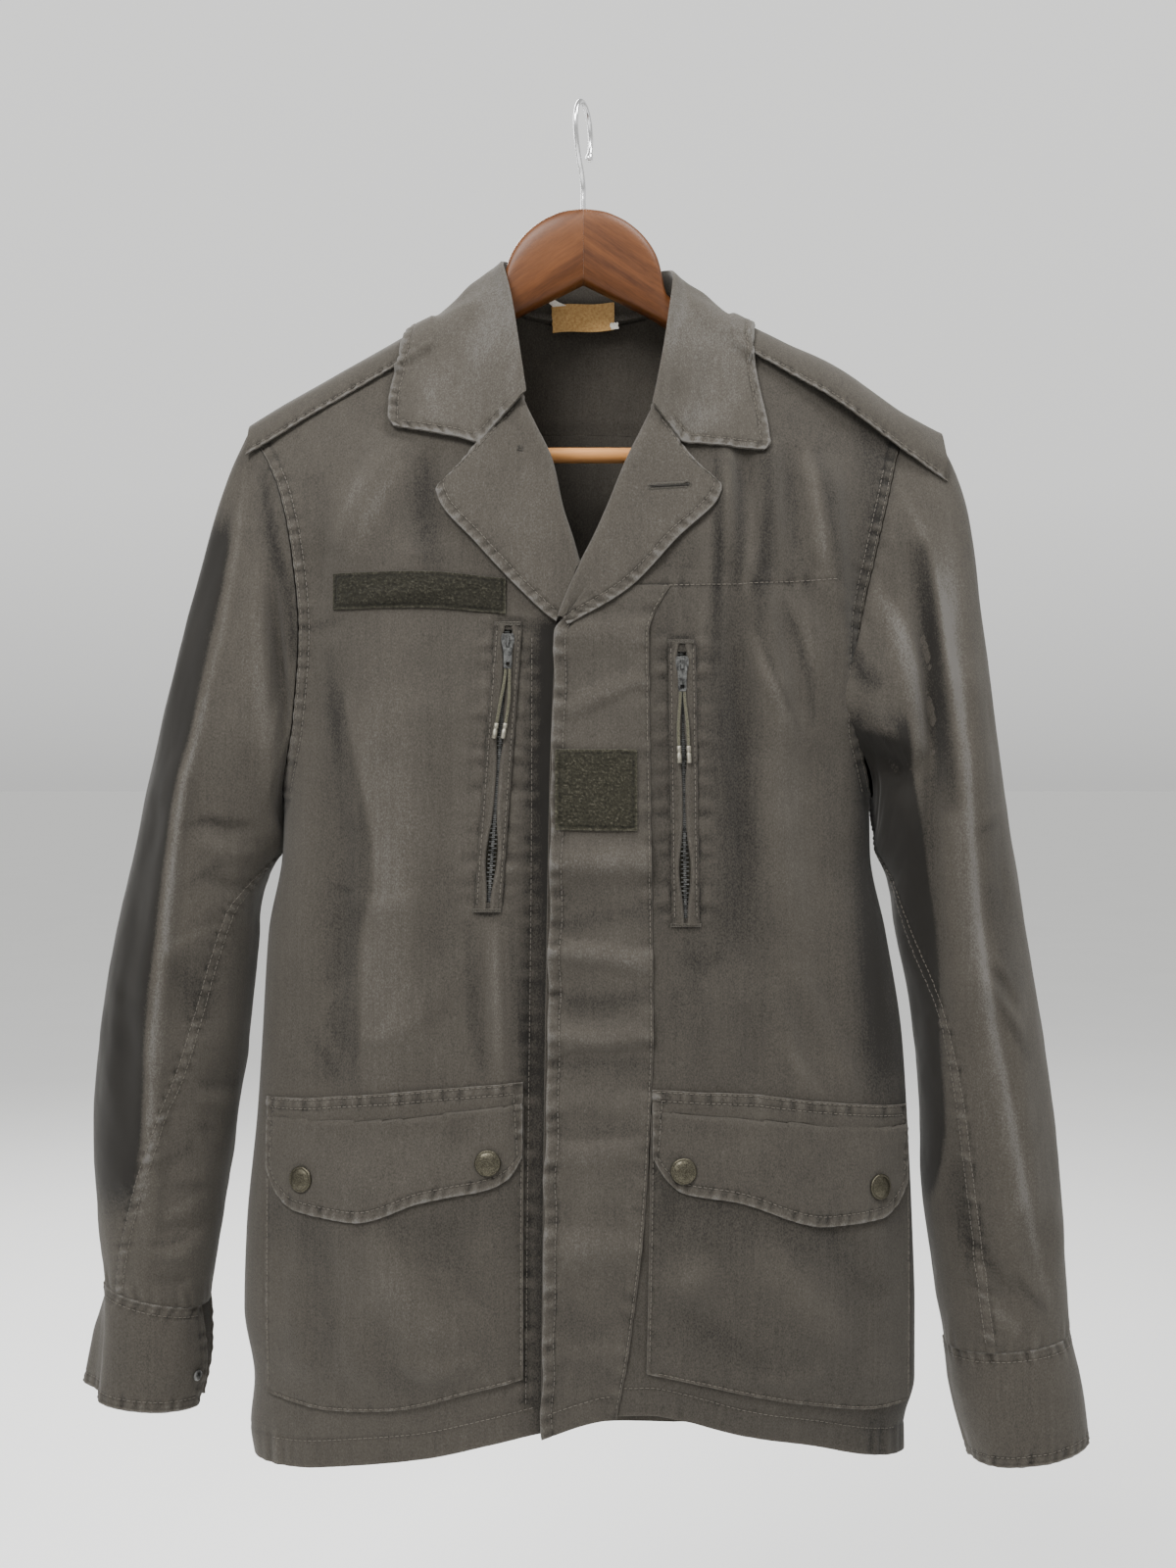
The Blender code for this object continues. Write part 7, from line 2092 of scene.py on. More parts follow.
def build_label(base, finish):
    """The neck label: flat cloth with an uneven left end."""
    share = np.linspace(0, 1, 40)[None, :]
    down = np.linspace(0, 1, 20)[:, None]
    top, bottom = NECK_LABEL.outline[0].top, NECK_LABEL.outline[0].bottom
    z = top + (bottom - top) * down + 0.5 * np.sin(share * 7) + 1.6 * (share - 0.5)
    x = NECK_LABEL.left + 0.8 + (NECK_LABEL.right - NECK_LABEL.left - 1.6) * share + 0.8 * down * (1 - share)
    x = x + 0.5 * value_noise(down * 9, share, 211) * np.exp(-share / 0.05)
    y = np.full(x.shape, float(base) - LABEL_WALL)
    y = y - 0.5 * np.sin(share * 4.0) * np.sin(down * 3.0)
    grid = np.stack([x, y, z], axis=2)
    edge = np.minimum(np.minimum(share, 1 - share) * 40, np.minimum(down, 1 - down) * 18)
    crease = (down - 0.5 - 0.4 * (share - 0.5)) / 0.05
    # The edges are paler, and painted shade darkens a line across the label where it is creased.
    tone = 1.5 * np.exp(-((edge / 0.8) ** 2)) - 0.5 * np.exp(-(crease**2))
    shell_item = shell("label_cloth", grid, grid + [0, LABEL_WALL * 0.6, 0], finish, tone=tone)
    return shell_item, grid


def build_label_lining(grid, finish):
    """The label's pale reverse, turned up at its top left corner and at its lower right end."""
    left, top = grid[0, 0, 0], grid[0, 0, 2]
    right, bottom = grid[-1, -1, 0], grid[-1, -1, 2]
    y = float(grid[..., 1].min()) - 0.35
    corners = (
        ((left - 3.0, top + 2.6), (left + 1.4, top + 3.6), (left + 9.5, top - 0.4), (left + 0.5, top - 1.2)),
        ((right - 3.0, bottom + 4.0), (right + 2.6, bottom + 4.6), (right + 3.0, bottom + 0.4),
         (right - 2.0, bottom)),
    )
    points, faces = [], []
    for a, b, c, d in corners:
        start = len(points)
        for u in np.linspace(0, 1, 9):
            for v in np.linspace(0, 1, 7):
                low = np.array(d) + (np.array(c) - np.array(d)) * u
                high = np.array(a) + (np.array(b) - np.array(a)) * u
                x, z = low + (high - low) * v
                torn = 0.5 * math.sin(u * 31) * v
                points.append((x + 0.3 * math.sin(v * 9), y - 0.9 * v * (1 - u) - 0.2 * u, z + torn))
        for i in range(8):
            for j in range(6):
                k = start + i * 7 + j
                faces.append((k, k + 1, k + 8, k + 7))
    count = len(points)
    points += [(x, y + 0.3, z) for x, y, z in points]
    faces += [tuple(count + v for v in reversed(face)) for face in faces]
    rims = []
    for start in (0, 63):
        ring = [start + j for j in range(7)] + [start + i * 7 + 6 for i in range(1, 9)]
        ring += [start + 56 + j for j in range(5, -1, -1)] + [start + i * 7 for i in range(7, 0, -1)]
        rims += [(a, b, count + b, count + a) for a, b in zip(ring, ring[1:] + ring[:1])]
    return mesh_piece("label_lining", np.array(points, float), faces + rims, finish)


BUTTONHOLE = ((41.5, -256.4), (65.5, -254.6))


def build_buttonhole(base, edging, dark):
    """The lapel's buttonhole: a dark slit of painted shadow, with close stitches along both sides and a round
    eye.
    """
    line = laid_path(BUTTONHOLE, [base], 0.52, 0.2)
    thread = Thread()
    run = unit(line[-1] - line[0])
    up = unit(np.cross(run, [0, -1.0, 0]))
    up = up if up[2] > 0 else -up
    for k, centre in enumerate(line):
        eye = 0.9 * math.exp(-(((k - len(line) + 3) / 2.6) ** 2))
        for hand in (-1, 1):
            near = centre + up * hand * (0.75 + eye) + [0, -0.35, 0]
            far = centre + up * hand * (2.3 + eye) + [0, 0.1, 0]
            thread.bar(near, far, 0.32)
    for end, hand in ((line[0], -1), (line[-1], 1)):
        for k in range(-3, 4):
            thread.bar(end + up * k * 0.4 + run * hand * 0.2, end + up * k * 0.5 + run * hand * 1.5, 0.3)
    edge = thread.piece("buttonhole_edge", edging)
    # Painted shadow: dark bars fill the slit and the eye.
    slit = Thread()
    slit.bar(line[0] + run * 0.3, line[-1] - run * 0.2, 0.7, 10)
    slit.bar(line[-3] + [0, 0.3, -0.9], line[-3] + [0, 0.3, 0.9], 0.9, 10)
    return edge, slit.piece("buttonhole_slit", dark)


# The two ends of each piece of cut thread, as (x, z).
THREAD_ENDS = (
    ((-41, -230), (-38.6, -232)),
    ((-39.4, -229.4), (-40.6, -233)),
    ((-38, -229.8), (-37.2, -232.6)),
    ((-41.2, -232.6), (-37.6, -233.4)),
)


def build_remnant(base, finish):
    """Ends of a cut thread on the left lapel."""
    thread = Thread()
    for a, b in THREAD_ENDS:
        path = laid_path((a, b), [base], 0.8, 0.25)
        thread.bar(path[0], path[-1], 0.26)
    return thread.piece("thread_ends", finish)


# ---------------------------------------------------------------- hardware


def turned(name, centre, profile, finish, sides=40, tilt=None, dents=0.0, seed=0):
    """A solid turned about -Y through `centre`, with a rounded face and shallow dents."""
    profile = np.asarray(profile, float)
    angles = np.linspace(0, 2 * math.pi, sides, endpoint=False)
    rings = []
    for r, h in profile:
        x, z = r * np.cos(angles), r * np.sin(angles)
        push = dents * value_noise(x / 1.5 + 9, z / 1.5 + 9, seed) * min(r / 2, 1)
        rings.append(np.stack([x, -(h + push), z], axis=1))
    points = np.array(rings).reshape(-1, 3)
    points = np.concatenate([points, [[0, -profile[0][1], 0], [0, -profile[-1][1] - 0.02, 0]]])
    if tilt is not None:
        points = points @ tilt.T
    points = points + np.asarray(centre)
    faces = tube_walls(len(profile), sides)
    low, high = len(points) - 2, len(points) - 1
    first = (len(profile) - 1) * sides
    faces += [(i, (i + 1) % sides, low) for i in range(sides)]
    faces += [(first + i, first + (i + 1) % sides, high) for i in range(sides)]
    return mesh_piece(name, points, faces, finish, angle=60)


def facing(x, z):
    step = 2.0
    slope_x = float(cloth_y(x + step, z, FRONT) - cloth_y(x - step, z, FRONT)) / (2 * step)
    slope_z = float(cloth_y(x, z + step, FRONT) - cloth_y(x, z - step, FRONT)) / (2 * step)
    out = unit(np.array([slope_x, -1.0, slope_z]))
    right = unit(np.cross([0, 0, 1.0], -out))
    return np.stack([right, -out, np.cross(-out, right)], axis=1)


SNAP_RINGS = (
    (6.4, 0.0), (7.4, 0.25), (7.95, 0.6), (8.05, 1.1), (7.9, 1.6), (7.6, 1.95), (7.2, 2.15), (6.9, 2.12),
    (6.6, 2.02), (6.2, 2.2), (5.6, 2.5), (4.9, 2.75), (4.1, 2.95), (3.2, 3.1), (2.2, 3.2), (1.1, 3.26),
)


def build_snap(snap, base, finish):
    tilt = facing(snap.x, snap.z)
    rim = [(8.0 * math.cos(a), 8.0 * math.sin(a)) for a in np.linspace(0, 2 * math.pi, 24)] + [(0, 0)]
    seat, out = 400.0, -tilt[:, 1]
    for dx, dz in rim:
        point = tilt @ np.array([dx, 0, dz]) + np.array([snap.x, 0, snap.z])
        hit = base.ray_cast(Vector((point[0], -400.0, point[2])), Vector((0, 1, 0)))[0]
        if hit is not None:
            seat = min(seat, hit.y - point[1])
    centre = np.array([snap.x, seat + 0.5, snap.z]) + out * 0.1
    seed = int(abs(snap.x))
    return turned(snap.name + "_cap", centre, SNAP_RINGS, finish, tilt=tilt, dents=0.12, seed=seed)


def build_teeth(name, slot, side, finish):
    """Two rows of interlocked teeth along the slot's line."""
    points, faces = [], []
    pitch = 1.35
    length = math.hypot(slot.top_x - slot.bottom_x, slot.top_z - slot.bottom_z)
    count = int(length / pitch)
    for k in range(count + 1):
        share = k * pitch / length
        x, z = slot_line(slot, share)
        y = float(front_y(x, z, side)) + WALL + CHAIN_BEHIND
        hand = 1 if k % 2 else -1
        start = len(points)
        for dx, grow in ((hand * 2.4, 0.34), (hand * 0.9, 0.34), (-hand * 0.5, 0.52), (-hand * 0.9, 0.3)):
            for dy, dz in ((0.1, -1), (0.1, 1), (1.5, 1), (1.5, -1)):
                points.append((x + dx, y + dy, z + dz * grow))
        faces += tube_walls(4, 4, start) + [tube_end(0, 4, start), tube_end(3, 4, start)[::-1]]
    return mesh_piece(name, np.array(points), faces, finish, flat=True)


def build_tape(name, slot, side, finish):
    share = np.linspace(-0.02, 1.02, 120)
    across = np.linspace(-TAPE_HALF_WIDTH, TAPE_HALF_WIDTH, 24)
    x, z = slot_line(slot, share)
    x = x[:, None] + across[None, :]
    z = z[:, None] + 0 * x
    y = front_y(x, z, side) + WALL + CHAIN_BEHIND + CHAIN_HEIGHT
    y = y + 0.1 * np.sign(np.abs(across) % 2 - 1)[None, :]
    outer = np.stack([x, y, z], axis=2)
    return shell(name, outer, outer + [0, TAPE_THICKNESS, 0], finish, stride=6)


def pull_place(side_name, side):
    """Where a slider and its tab's axis lie."""
    slot, pull = SLOTS[side_name], PULLS[side_name]
    share = (pull.slider_z - slot.top_z) / (slot.bottom_z - slot.top_z)
    x, z = slot_line(slot, share)
    chain_y = float(front_y(x, z, side)) + WALL + CHAIN_BEHIND
    below = float(front_y(x, z - SLIDER_LENGTH, side)) + WALL + CHAIN_BEHIND
    middle_y = min(chain_y, below) - SEAM - SLIDER_THICKNESS / 2
    bail_top = SLIDER_THICKNESS / 2 + BAIL_HEIGHT
    axis_y = middle_y - bail_top + BAIL_THICKNESS + TAB_THICKNESS / 2 + 0.3
    return x, z, middle_y, axis_y, z - 4.6


def cord_route(side_name, side, spread):
    """A cord end's centre line, from under the tab down onto the cloth."""
    slot, pull = SLOTS[side_name], PULLS[side_name]
    x, _, _, axis_y, axis_z = pull_place(side_name, side)
    start_z = axis_z - TAB_LENGTH - SEAM
    route = []
    for part in np.linspace(0, 1, 12):
        height = start_z - pull.cord_length * part
        swing = pull.spread / 2 * spread * (0.5 + 0.5 * math.sin(math.pi * min(part * 1.3, 1) - math.pi / 2))
        base_x, _ = slot_line(slot, (height - slot.top_z) / (slot.bottom_z - slot.top_z))
        drift = base_x + (x - base_x) * (1 - part)
        cloth_face = float(front_y(drift, height, side)) - CORD_DIAMETER / 2 - 1.6
        cord_y = min(axis_y * (1 - part) + cloth_face * part, cloth_face)
        route.append((drift + swing + spread * 1.25, cord_y, height))
    return np.array(route)


def braided(name, route, radius, finish, sides=12, turns=0.62, braid=0.13):
    """A round cord whose strands cross over and under each other."""
    path = spread_line(route, 0.45)
    points = []
    keys = np.concatenate([[0], np.cumsum(np.linalg.norm(np.diff(path, axis=0), axis=1))])
    tangents = unit(np.gradient(path, axis=0))
    for centre, along, key in zip(path, tangents, keys):
        side = unit(np.cross(along, [0.0, 1.0, 0.0]))
        other = np.cross(along, side)
        for k in range(sides):
            a = 2 * math.pi * k / sides
            weave = math.sin(4 * a + key * 2 * math.pi * turns) * math.sin(4 * a - key * 2 * math.pi * turns)
            r = radius * (1 - braid / 2 + braid * weave)
            points.append(centre + (side * math.cos(a) + other * math.sin(a)) * r)
    ends = [tube_end(0, sides), tube_end(len(path) - 1, sides)[::-1]]
    faces = tube_walls(len(path), sides) + ends
    return mesh_piece(name, np.array(points), faces, finish, angle=80), path


def rod(name, start, end, radii, finish, sides=24):
    """A straight round bar whose radius follows (share, radius) rows."""
    start, end = np.asarray(start, float), np.asarray(end, float)
    along = unit(end - start)
    side = unit(np.cross(along, [0.3, 1.0, 0.2]))
    other = np.cross(along, side)
    angles = np.linspace(0, 2 * math.pi, sides, endpoint=False)
    points = []
    for share, radius in radii:
        centre = start + (end - start) * share
        points += [centre + (side * math.cos(a) + other * math.sin(a)) * radius for a in angles]
    ends = [tube_end(0, sides), tube_end(len(radii) - 1, sides)]
    return mesh_piece(name, np.array(points), ends + tube_walls(len(radii), sides), finish)


# ---------------------------------------------------------------- the hanger


def build_arm(name, side, finish):
    x = np.concatenate([np.linspace(0.03, 60, 46), np.linspace(60, 203, 60)[1:]])
    top, bottom = column(HANGER_ARM, "x", "top")(x), column(HANGER_ARM, "x", "bottom")(x)
    half = column(HANGER_ARM, "x", "half")(x)
    angles = np.linspace(0, 2 * math.pi, 56, endpoint=False)
    c, s = np.cos(angles), np.sin(angles)
    y = half[:, None] * np.sign(c) * np.abs(c) ** 0.5
    z = (top + bottom)[:, None] / 2 + (top - bottom)[:, None] / 2 * np.sign(s) * np.abs(s) ** 0.7
    points = np.stack([side * x[:, None] + 0 * y, y, z], axis=2).reshape(-1, 3)
    ends = [tube_end(0, len(angles)), tube_end(len(x) - 1, len(angles))]
    return mesh_piece(name, points, ends + tube_walls(len(x), len(angles)), finish, angle=40)


def hook_route():
    radius = HOOK_RADIUS + WIRE_DIAMETER / 2
    flat = [(0, STEM_BOTTOM), (0, -62), (0, -54), (-3.5, -46), (-9.5, -39), (-14.5, -31.5)]
    for angle in np.linspace(math.radians(198), math.radians(-28), 17):
        flat.append((radius * math.cos(angle), -HOOK_RADIUS + radius * math.sin(angle)))
    flat.append((14.0, -31.0))
    return np.array([(e * math.cos(HOOK_TURN), e * math.sin(HOOK_TURN), z) for e, z in flat])


def build_hook(finish):
    path = spread_line(hook_route(), 0.6)
    keys = np.linspace(0, 1, len(path))
    path_length = float(np.linalg.norm(np.diff(path, axis=0), axis=1).sum())
    sides = 20
    tangents = unit(np.gradient(path, axis=0))
    points = []
    across = np.array([-math.sin(HOOK_TURN), math.cos(HOOK_TURN), 0])
    for centre, along, key in zip(path, tangents, keys):
        other = unit(np.cross(along, across))
        swell = 1 + 0.5 * math.sqrt(max(1 - ((key * path_length - path_length + 2.6) / 2.6) ** 2, 0))
        for k in range(sides):
            a = 2 * math.pi * k / sides
            points.append(centre + (across * math.cos(a) + other * math.sin(a)) * WIRE_DIAMETER / 2 * swell)
    ends = [tube_end(0, sides), tube_end(len(path) - 1, sides)[::-1]]
    return mesh_piece("hook_wire", np.array(points), tube_walls(len(path), sides) + ends, finish, angle=70)


# ---------------------------------------------------------------- camera and light


def build_camera():
    data = bpy.data.cameras.new("camera")
    data.lens = 41.24
    data.sensor_width = 36.0
    camera = bpy.data.objects.new("camera", data)
    camera.location = (0.003, -1.165, -0.440)
    camera.rotation_euler = (math.pi / 2, 0, 0)
    bpy.context.scene.collection.objects.link(camera)
    bpy.context.scene.camera = camera


def area_light(name, place, aim, size, power, colour=(1, 1, 1)):
    data = bpy.data.lights.new(name, "AREA")
    data.shape = "RECTANGLE"
    data.size, data.size_y = size
    data.energy = power
    data.color = colour
    light = bpy.data.objects.new(name, data)
    light.location = place
    light.rotation_euler = (Vector(aim) - Vector(place)).to_track_quat("-Z", "Y").to_euler()
    bpy.context.scene.collection.objects.link(light)


# Sky brightness by height above the horizon, from the horizon (0) to overhead (1).
SKY = ((0.0, 0.31), (0.05, 0.38), (0.16, 0.50), (0.42, 0.56), (0.58, 0.30), (1.0, 0.26))
SKY_STRENGTH = 2.15


def build_studio():
    world = bpy.data.worlds.new("studio")
    world.use_nodes = True
    tree = world.node_tree
    split = tree.nodes.new("ShaderNodeSeparateXYZ")
    ramp = tree.nodes.new("ShaderNodeValToRGB")
    tree.links.new(tree.nodes.new("ShaderNodeTexCoord").outputs["Generated"], split.inputs[0])
    tree.links.new(split.outputs["Z"], ramp.inputs["Fac"])
    while len(ramp.color_ramp.elements) < len(SKY):
        ramp.color_ramp.elements.new(0.5)
    for element, (place, level) in zip(ramp.color_ramp.elements, SKY):
        element.position = place
        element.color = (level, level, level * 0.985, 1)
    tree.links.new(ramp.outputs["Color"], tree.nodes["Background"].inputs["Color"])
    tree.nodes["Background"].inputs["Strength"].default_value = SKY_STRENGTH
    bpy.context.scene.world = world
    area_light("key", (-0.85, -1.45, 1.25), (0, 0, -0.5), (0.9, 0.9), 92)
    area_light("top", (0.75, -0.5, 1.3), (0.1, 0, -0.35), (0.8, 0.8), 44)
    area_light("behind", (-0.9, 2.0, 1.2), (0, 0, -0.45), (1.4, 1.4), 75)
    nodes = Nodes("floor_paint")
    speck = nodes.noise(nodes.place(), 3.0)
    finish = nodes.finish(nodes.ramp(speck, ((0.3, (0.92, 0.92, 0.91)), (0.7, (0.94, 0.94, 0.93)))), 0.9)
    mesh = bpy.data.meshes.new("floor")
    reach, level = 200.0, -1.25
    mesh.from_pydata([(-reach, -reach, level), (reach, -reach, level), (reach, reach, level),
                      (-reach, reach, level)], [], [(0, 1, 2, 3)])
    mesh.materials.append(finish)
    floor = bpy.data.objects.new("floor", mesh)
    bpy.context.scene.collection.objects.link(floor)


# ---------------------------------------------------------------- the whole


def held(item, body, slot_name, *nodes):
    """Rides on a body and stands for these CAD nodes, which it hides. slot_name is not used."""
    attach(item, body)
    if nodes:
        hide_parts(*nodes)
    return item


def grid_size(grid, wrap=False):
    """A grid's greatest width and length, and its area, in metres."""
    closed = np.concatenate([grid, grid[:, :1]], axis=1) if wrap else grid
    across = np.linalg.norm(np.diff(closed, axis=1), axis=2).sum(axis=1).max()
    along = np.linalg.norm(np.diff(closed, axis=0), axis=2).sum(axis=0).max()
    a, b = closed[1:, 1:] - closed[:-1, :-1], closed[1:, :-1] - closed[:-1, 1:]
    area = np.linalg.norm(np.cross(a, b), axis=2).sum() / 2
    return across * MM, along * MM, area * MM**2


def declare(item, grid, wrap=False, share=1.0):
    """States a piece's flat cut. Only this share of the grid is cloth."""
    width, length, area = grid_size(grid, wrap)
    width, length = round(width, 3), round(length, 3)
    area = min(round(area * share, 5), width * length)
    print("sheet", item.name, width, length, area)


def build():
    build_camera()
    olive = (0.0400, 0.0353, 0.0288)
    olive_cloth = twill("olive_twill", olive)
    thread_finish = woven("olive_thread", (0.055, 0.048, 0.039), (0.105, 0.093, 0.076), 1400.0)
    # Dark thread for the cut thread ends, and painted shadow for the buttonhole's slit.
    dark_thread = woven("dark_thread", (0.006, 0.005, 0.004), (0.020, 0.018, 0.014), 1400.0)
    edge_thread = woven("edge_thread", (0.016, 0.014, 0.011), (0.075, 0.067, 0.054), 1800.0)
    seams_front, seams_far = Thread(), Thread()
    pile, worn_pile = pile_cloth("loop_pile"), pile_cloth("worn_loop_pile", 1.45)
    cord_finish = woven("braid", (0.020, 0.019, 0.012), (0.100, 0.095, 0.064), 1500.0)
    zip_steel = metal("zip_steel", (0.045, 0.045, 0.044), (0.16, 0.16, 0.155), 0.42, 420.0)
    crimp_steel = metal("crimp_steel", (0.16, 0.15, 0.12), (0.30, 0.285, 0.24), 0.55, 500.0)

    for side_name, side in (("left", -1), ("right", 1)):
        body = f"pull_{side_name}"
        for end, spread in (("a", -1), ("b", 1)):
            route = cord_route(side_name, side, spread)
            item, path = braided(f"braid_{side_name}_{end}", route, CORD_DIAMETER / 2, cord_finish)
            held(item, body, "cord", f"cord_{side_name}_{end}")
            along = unit(route[-1] - route[-2])
            start, stop = route[-1] + along * SEAM, route[-1] + along * (SEAM + PULLS[side_name].crimp_length)
            half = CRIMP_DIAMETER / 2
            rows = ((0, half * 0.8), (0.03, half), (0.3, half), (0.34, half * 0.82), (0.42, half * 0.82),
                    (0.46, half), (0.97, half), (1, half * 0.85))
            crimp = rod(f"crimp_{side_name}_{end}", start, stop, rows, crimp_steel)
            held(crimp, body, "zip_metal", f"cord_end_{side_name}_{end}")

    left_item, left = build_front("front_left_cloth", LEFT_FRONT, -1, olive_cloth)
    held(left_item, "root", "twill", "front_left")
    declare(left_item, left)
    right_item, right = build_front("front_right_cloth", RIGHT_FRONT, 1, olive_cloth)
    held(right_item, "root", "twill", "front_right")
    declare(right_item, right)
    backs = build_back(olive_cloth)
    held(backs["back_cloth"][0], "root", "twill", "back")
    declare(backs["back_cloth"][0], backs["back_cloth"][1])
    held(backs["yoke_cloth"][0], "root", "twill", "back_yoke")
    declare(backs["yoke_cloth"][0], backs["yoke_cloth"][1])

    for name, table, folds, seams, side in (
        ("left", LEFT_SLEEVE, LEFT_SLEEVE_FOLDS, LEFT_SLEEVE_SEAMS, -1),
        ("right", RIGHT_SLEEVE, RIGHT_SLEEVE_FOLDS, RIGHT_SLEEVE_SEAMS, 1),
    ):
        item, grid, lines = build_sleeve(f"sleeve_{name}", table, (folds, SLEEVE_CREASES[side]), seams, side,
                                         olive_cloth)
        for k, line in enumerate(lines):
            (seams_front if k < 2 else seams_far).line(line)
        held(item, "root", "twill", f"sleeve_{name}_top", f"sleeve_{name}_under")
        declare(item, grid, wrap=True)
    for name, table, sleeve, folds, side, opening in (
        ("left", LEFT_CUFF, LEFT_SLEEVE, LEFT_SLEEVE_FOLDS, -1, CUFF_VENT),
        ("right", RIGHT_CUFF, RIGHT_SLEEVE, RIGHT_SLEEVE_FOLDS, 1, None),
    ):
        item, grid, normals = build_cuff(
            f"cuff_band_{name}", table, sleeve, folds, side, opening, olive_cloth
        )
        for border in ("top", "bottom"):
            sew(seams_far, grid, normals, border, (6.2,))
        held(item, "root", "twill", f"cuff_{name}")
        declare(item, grid, wrap=not opening)

    bases = {"left": [facets(left)], "right": [facets(right)]}
    item, band, normals = build_band(bases["right"] + bases["left"], olive_cloth)
    sew(seams_front, band, normals, "left", (7.0,))
    sew(seams_front, band, normals, "right", (1.2,))
    sew(seams_front, band, normals, "bottom", (15.0,))
    held(item, "root", "twill", "fly_band")
    declare(item, band)
    for name, table, side in (("left", LEFT_LAPEL, -1), ("right", RIGHT_LAPEL, 1)):
        item, grid, normals = build_lapel(f"lapel_{name}_cloth", table, side, olive_cloth,
                                          bases["left"] + bases["right"] + [facets(band)])
        sew(seams_front, grid, normals, "right", (6.0,), (6, 4))
        sew(seams_front, grid, normals, "top", (6.0,), (16, 6))
        if side > 0:
            edge, slit = build_buttonhole(facets(grid), edge_thread, dark_thread)
            held(edge, "root", "twill")
            held(slit, "root", "twill")
        else:
            held(build_remnant(facets(grid), dark_thread), "root", "twill")
        held(item, "root", "twill", f"lapel_{name}")
        declare(item, grid)
    shoulders = bases["left"] + bases["right"] + [facets(backs["yoke_cloth"][1])]
    straps = []
    for name, table, side in (("left", LEFT_STRAP, -1), ("right", RIGHT_STRAP, 1)):
        item, grid, normals = build_strap(f"strap_{name}", table, side, shoulders, olive_cloth)
        for border in ("left", "right"):
            sew(seams_far, grid, normals, border, (3.2,))
        held(item, "root", "twill", f"shoulder_strap_{name}")
        declare(item, grid)
        straps.append(facets(grid))
    item, grid, normals = build_collar(olive_cloth, shoulders + straps)
    sew(seams_front, grid, normals, "right", (6.0,), (6, 6))
    for border in ("top", "bottom"):
        sew(seams_front, grid, normals, border, (6.0,), (30, 6))
    held(item, "root", "twill", "collar")
    declare(item, grid)

    item, pile_grid, _ = build_pile("square_patch_pile", SQUARE_PATCH, 1, [facets(band)] + bases["right"],
                            worn_pile, 1.0)
    held(item, "root", "loop_fastener", "square_patch")
    declare(item, pile_grid)
    item, pile_grid, _ = build_pile("name_tape_pile", NAME_TAPE, -1, bases["left"], pile, 1.0)
    held(item, "root", "loop_fastener", "name_tape")
    declare(item, pile_grid)

    snap_metal = metal("snap_metal", (0.030, 0.027, 0.019), (0.100, 0.092, 0.068), 0.45, 1500.0)
    for name, side in (("left", -1), ("right", 1)):
        item, pocket, normals = build_pocket(
            f"pocket_{name}_cloth", POCKETS[name], side, bases[name], olive_cloth
        )
        for border in ("left", "right", "bottom"):
            sew(seams_front, pocket, normals, border, (1.4,), (6, 6))
        held(item, "root", "twill", f"pocket_{name}")
        declare(item, pocket)
        under = bases[name] + [facets(pocket)]
        item, flap, normals = build_flap(f"flap_{name}_cloth", FLAPS[name], side, under, olive_cloth)
        sew(seams_front, flap, normals, "top", (1.0, 6.5), (2, 2))
        for border in ("left", "right", "bottom"):
            sew(seams_front, flap, normals, border, (6.0,), (6, 6))
        held(item, "root", "twill", f"flap_{name}")
        declare(item, flap)
        for snap in SNAPS:
            if name in snap.name:
                cap = build_snap(snap, facets(flap), snap_metal)
                held(cap, "root", "snap_metal", snap.name)

    for side, name in ((-1, "left"), (1, "right")):
        for points in FRONT_LINES[side]:
            seams_front.line(laid_path(points, bases[name]))
        x = np.linspace(-195, -30, 40) if side < 0 else np.linspace(-12, 198, 50)
        seams_front.line(laid_path(np.stack([x, hem_front(x) + HEM_STITCH], axis=1), bases[name]))
        z = np.linspace(-445, -238, 50)
        for apart in (1.2, 6.4):
            path = np.stack([outer_edge_x(z, side) - side * apart, z], axis=1)
            seams_front.line(laid_path(path, bases[name]))
    for name in ("back_cloth", "yoke_cloth"):
        _, outer, _ = backs[name]
        sew(seams_far, outer, grid_normals(outer, np.array([0.0, 1.0, 0.0])), "top", (1.0, 6.0))
    sew(seams_far, backs["back_cloth"][1], None, "bottom", (HEM_STITCH,))

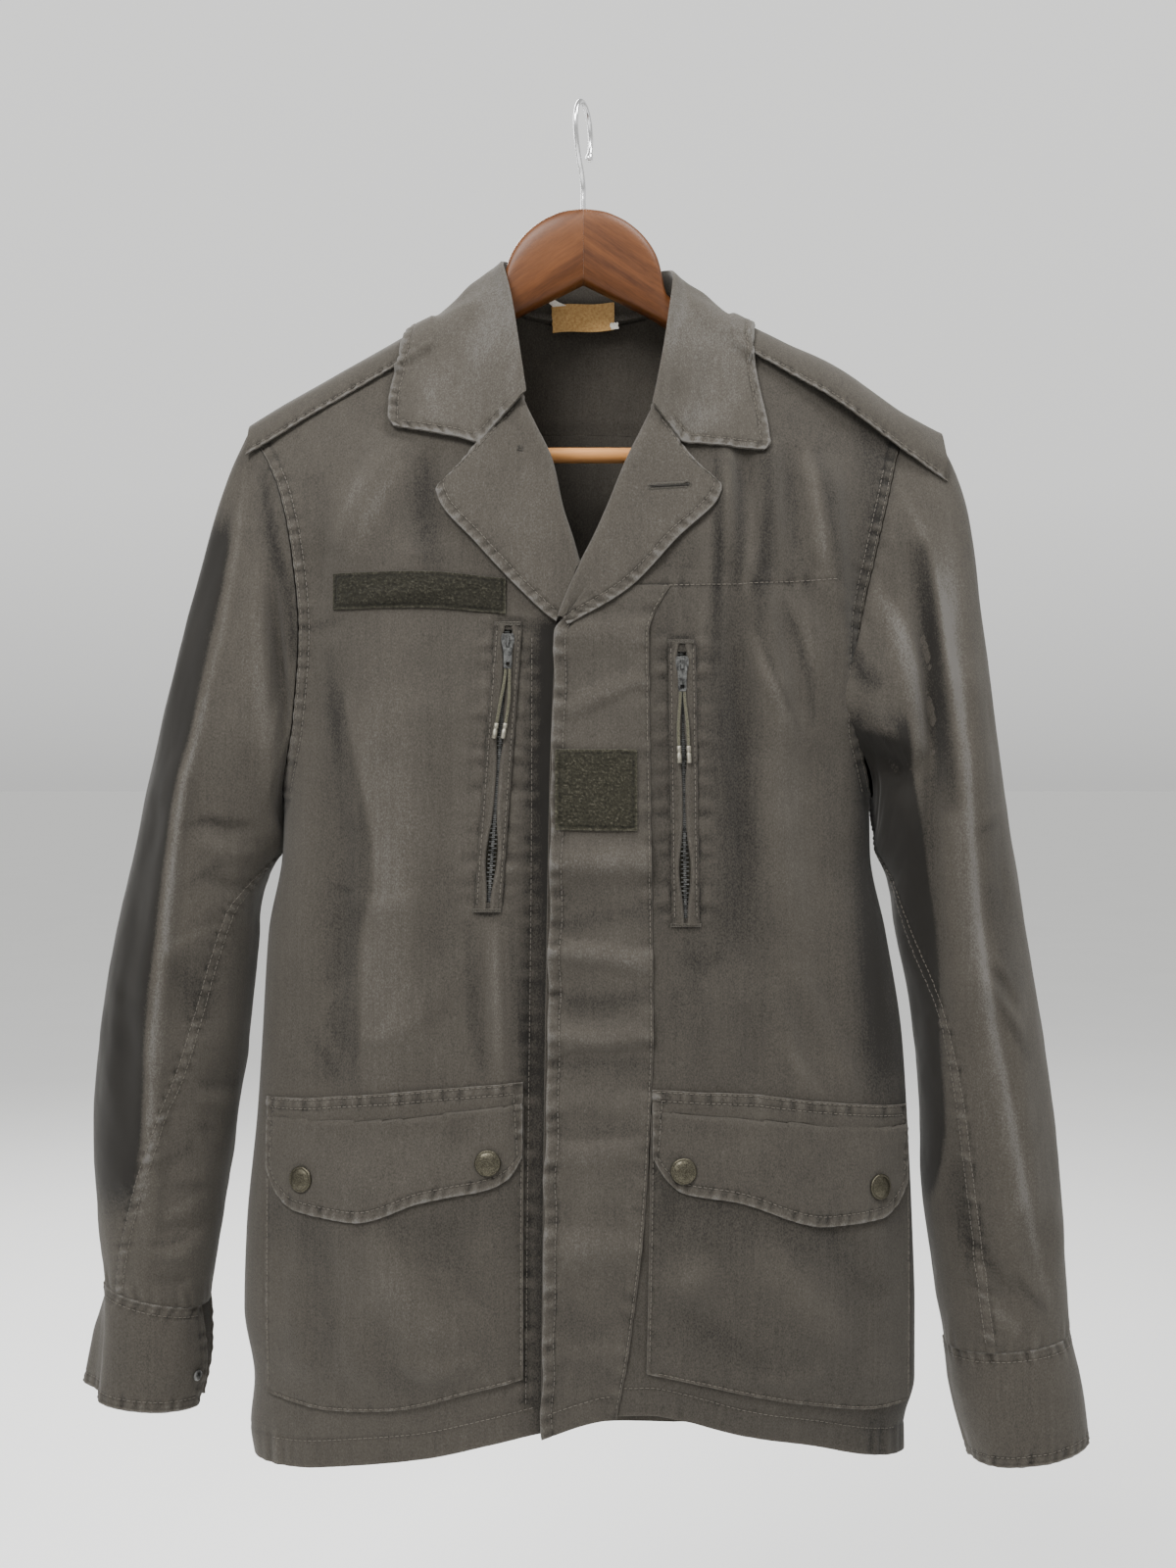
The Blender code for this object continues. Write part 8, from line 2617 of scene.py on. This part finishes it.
    bars = Thread()
    for name, side, item in (("left", -1, left_item), ("right", 1, right_item)):
        slot = SLOTS[name]
        welt, grid, normals = build_welts(f"welts_{name}", slot, side, bases[name], olive_cloth)
        held(welt, "root", "twill")
        declare(welt, grid, share=WELT_CLOTH_SHARE)
        for border in ("left", "right"):
            sew(seams_front, grid, normals, border, (1.6,))
        for share, wide in ((-0.012, 8.6), (1.016, 9.4)):
            x, z = slot_line(slot, share)
            for drop in (-0.7, 0.1, 0.9):
                line = laid_path(((x - wide, z + drop), (x + wide, z + drop)), bases[name], 0.6, 0.9)
                bars.line(line, 1.3, 0.05, 0.42)
    held(bars.piece("zip_bar_tacks", edge_thread), "root", "twill")
    held(seams_front.piece("stitches_front", thread_finish), "root", "twill")
    held(seams_far.piece("stitches_sides_and_back", thread_finish), "root", "twill")

    tape_finish = woven("zip_tape_weave", (0.022, 0.020, 0.014), (0.055, 0.050, 0.038), 800.0)
    for name, side in (("left", -1), ("right", 1)):
        item = build_tape(f"zip_tape_{name}", SLOTS[name], side, tape_finish)
        held(item, "root", "zip_tape", f"zip_{name}")
        item = build_teeth(f"zip_teeth_{name}", SLOTS[name], side, zip_steel)
        held(item, "root", "zip_metal")

    walnut = {
        side: wood(f"walnut_{side}", (0.034, 0.0100, 0.0025), (0.118, 0.0415, 0.0110), tilt)
        for side, tilt in (("left", math.radians(34)), ("right", math.radians(-34)))
    }
    for name, side in (("left", -1), ("right", 1)):
        item = build_arm(f"arm_{name}", side, walnut[name])
        held(item, "root", "walnut", f"hanger_arm_{name}")
    pale = wood("bar_wood", (0.34, 0.138, 0.039), (0.54, 0.252, 0.083), 0.0, 6.0, 0.4)
    half = BAR_DIAMETER / 2
    item = rod("bar", (-BAR_HALF_LENGTH, 0, BAR_Z), (BAR_HALF_LENGTH, 0, BAR_Z),
               ((0, half * 0.9), (0.004, half), (0.996, half), (1, half * 0.9)), pale, 32)
    held(item, "root", "bar_wood", "hanger_bar")
    chrome = metal("chrome", (0.72, 0.72, 0.73), (0.62, 0.62, 0.62), 0.2, 200.0)
    item = build_hook(chrome)
    held(item, "root", "hook_wire", "hanger_hook")

    for name in ("slider_left", "slider_right", "pull_tab_left", "pull_tab_right", "cuff_stud"):
        node = bpy.data.objects[name]
        for slot_item in node.material_slots:
            slot_item.material = zip_steel
    tan = woven("label_weave", (0.30, 0.165, 0.055), (0.48, 0.30, 0.12), 600.0)
    lining = woven("label_lining", (0.60, 0.57, 0.50), (0.78, 0.75, 0.68), 900.0)
    label_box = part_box("neck_label")
    item, label = build_label(label_box[0][1] / MM, tan)
    held(item, "root", "label_cloth", "neck_label")
    declare(item, label)
    held(build_label_lining(label, lining), "root", "label_cloth")
    build_studio()


build()
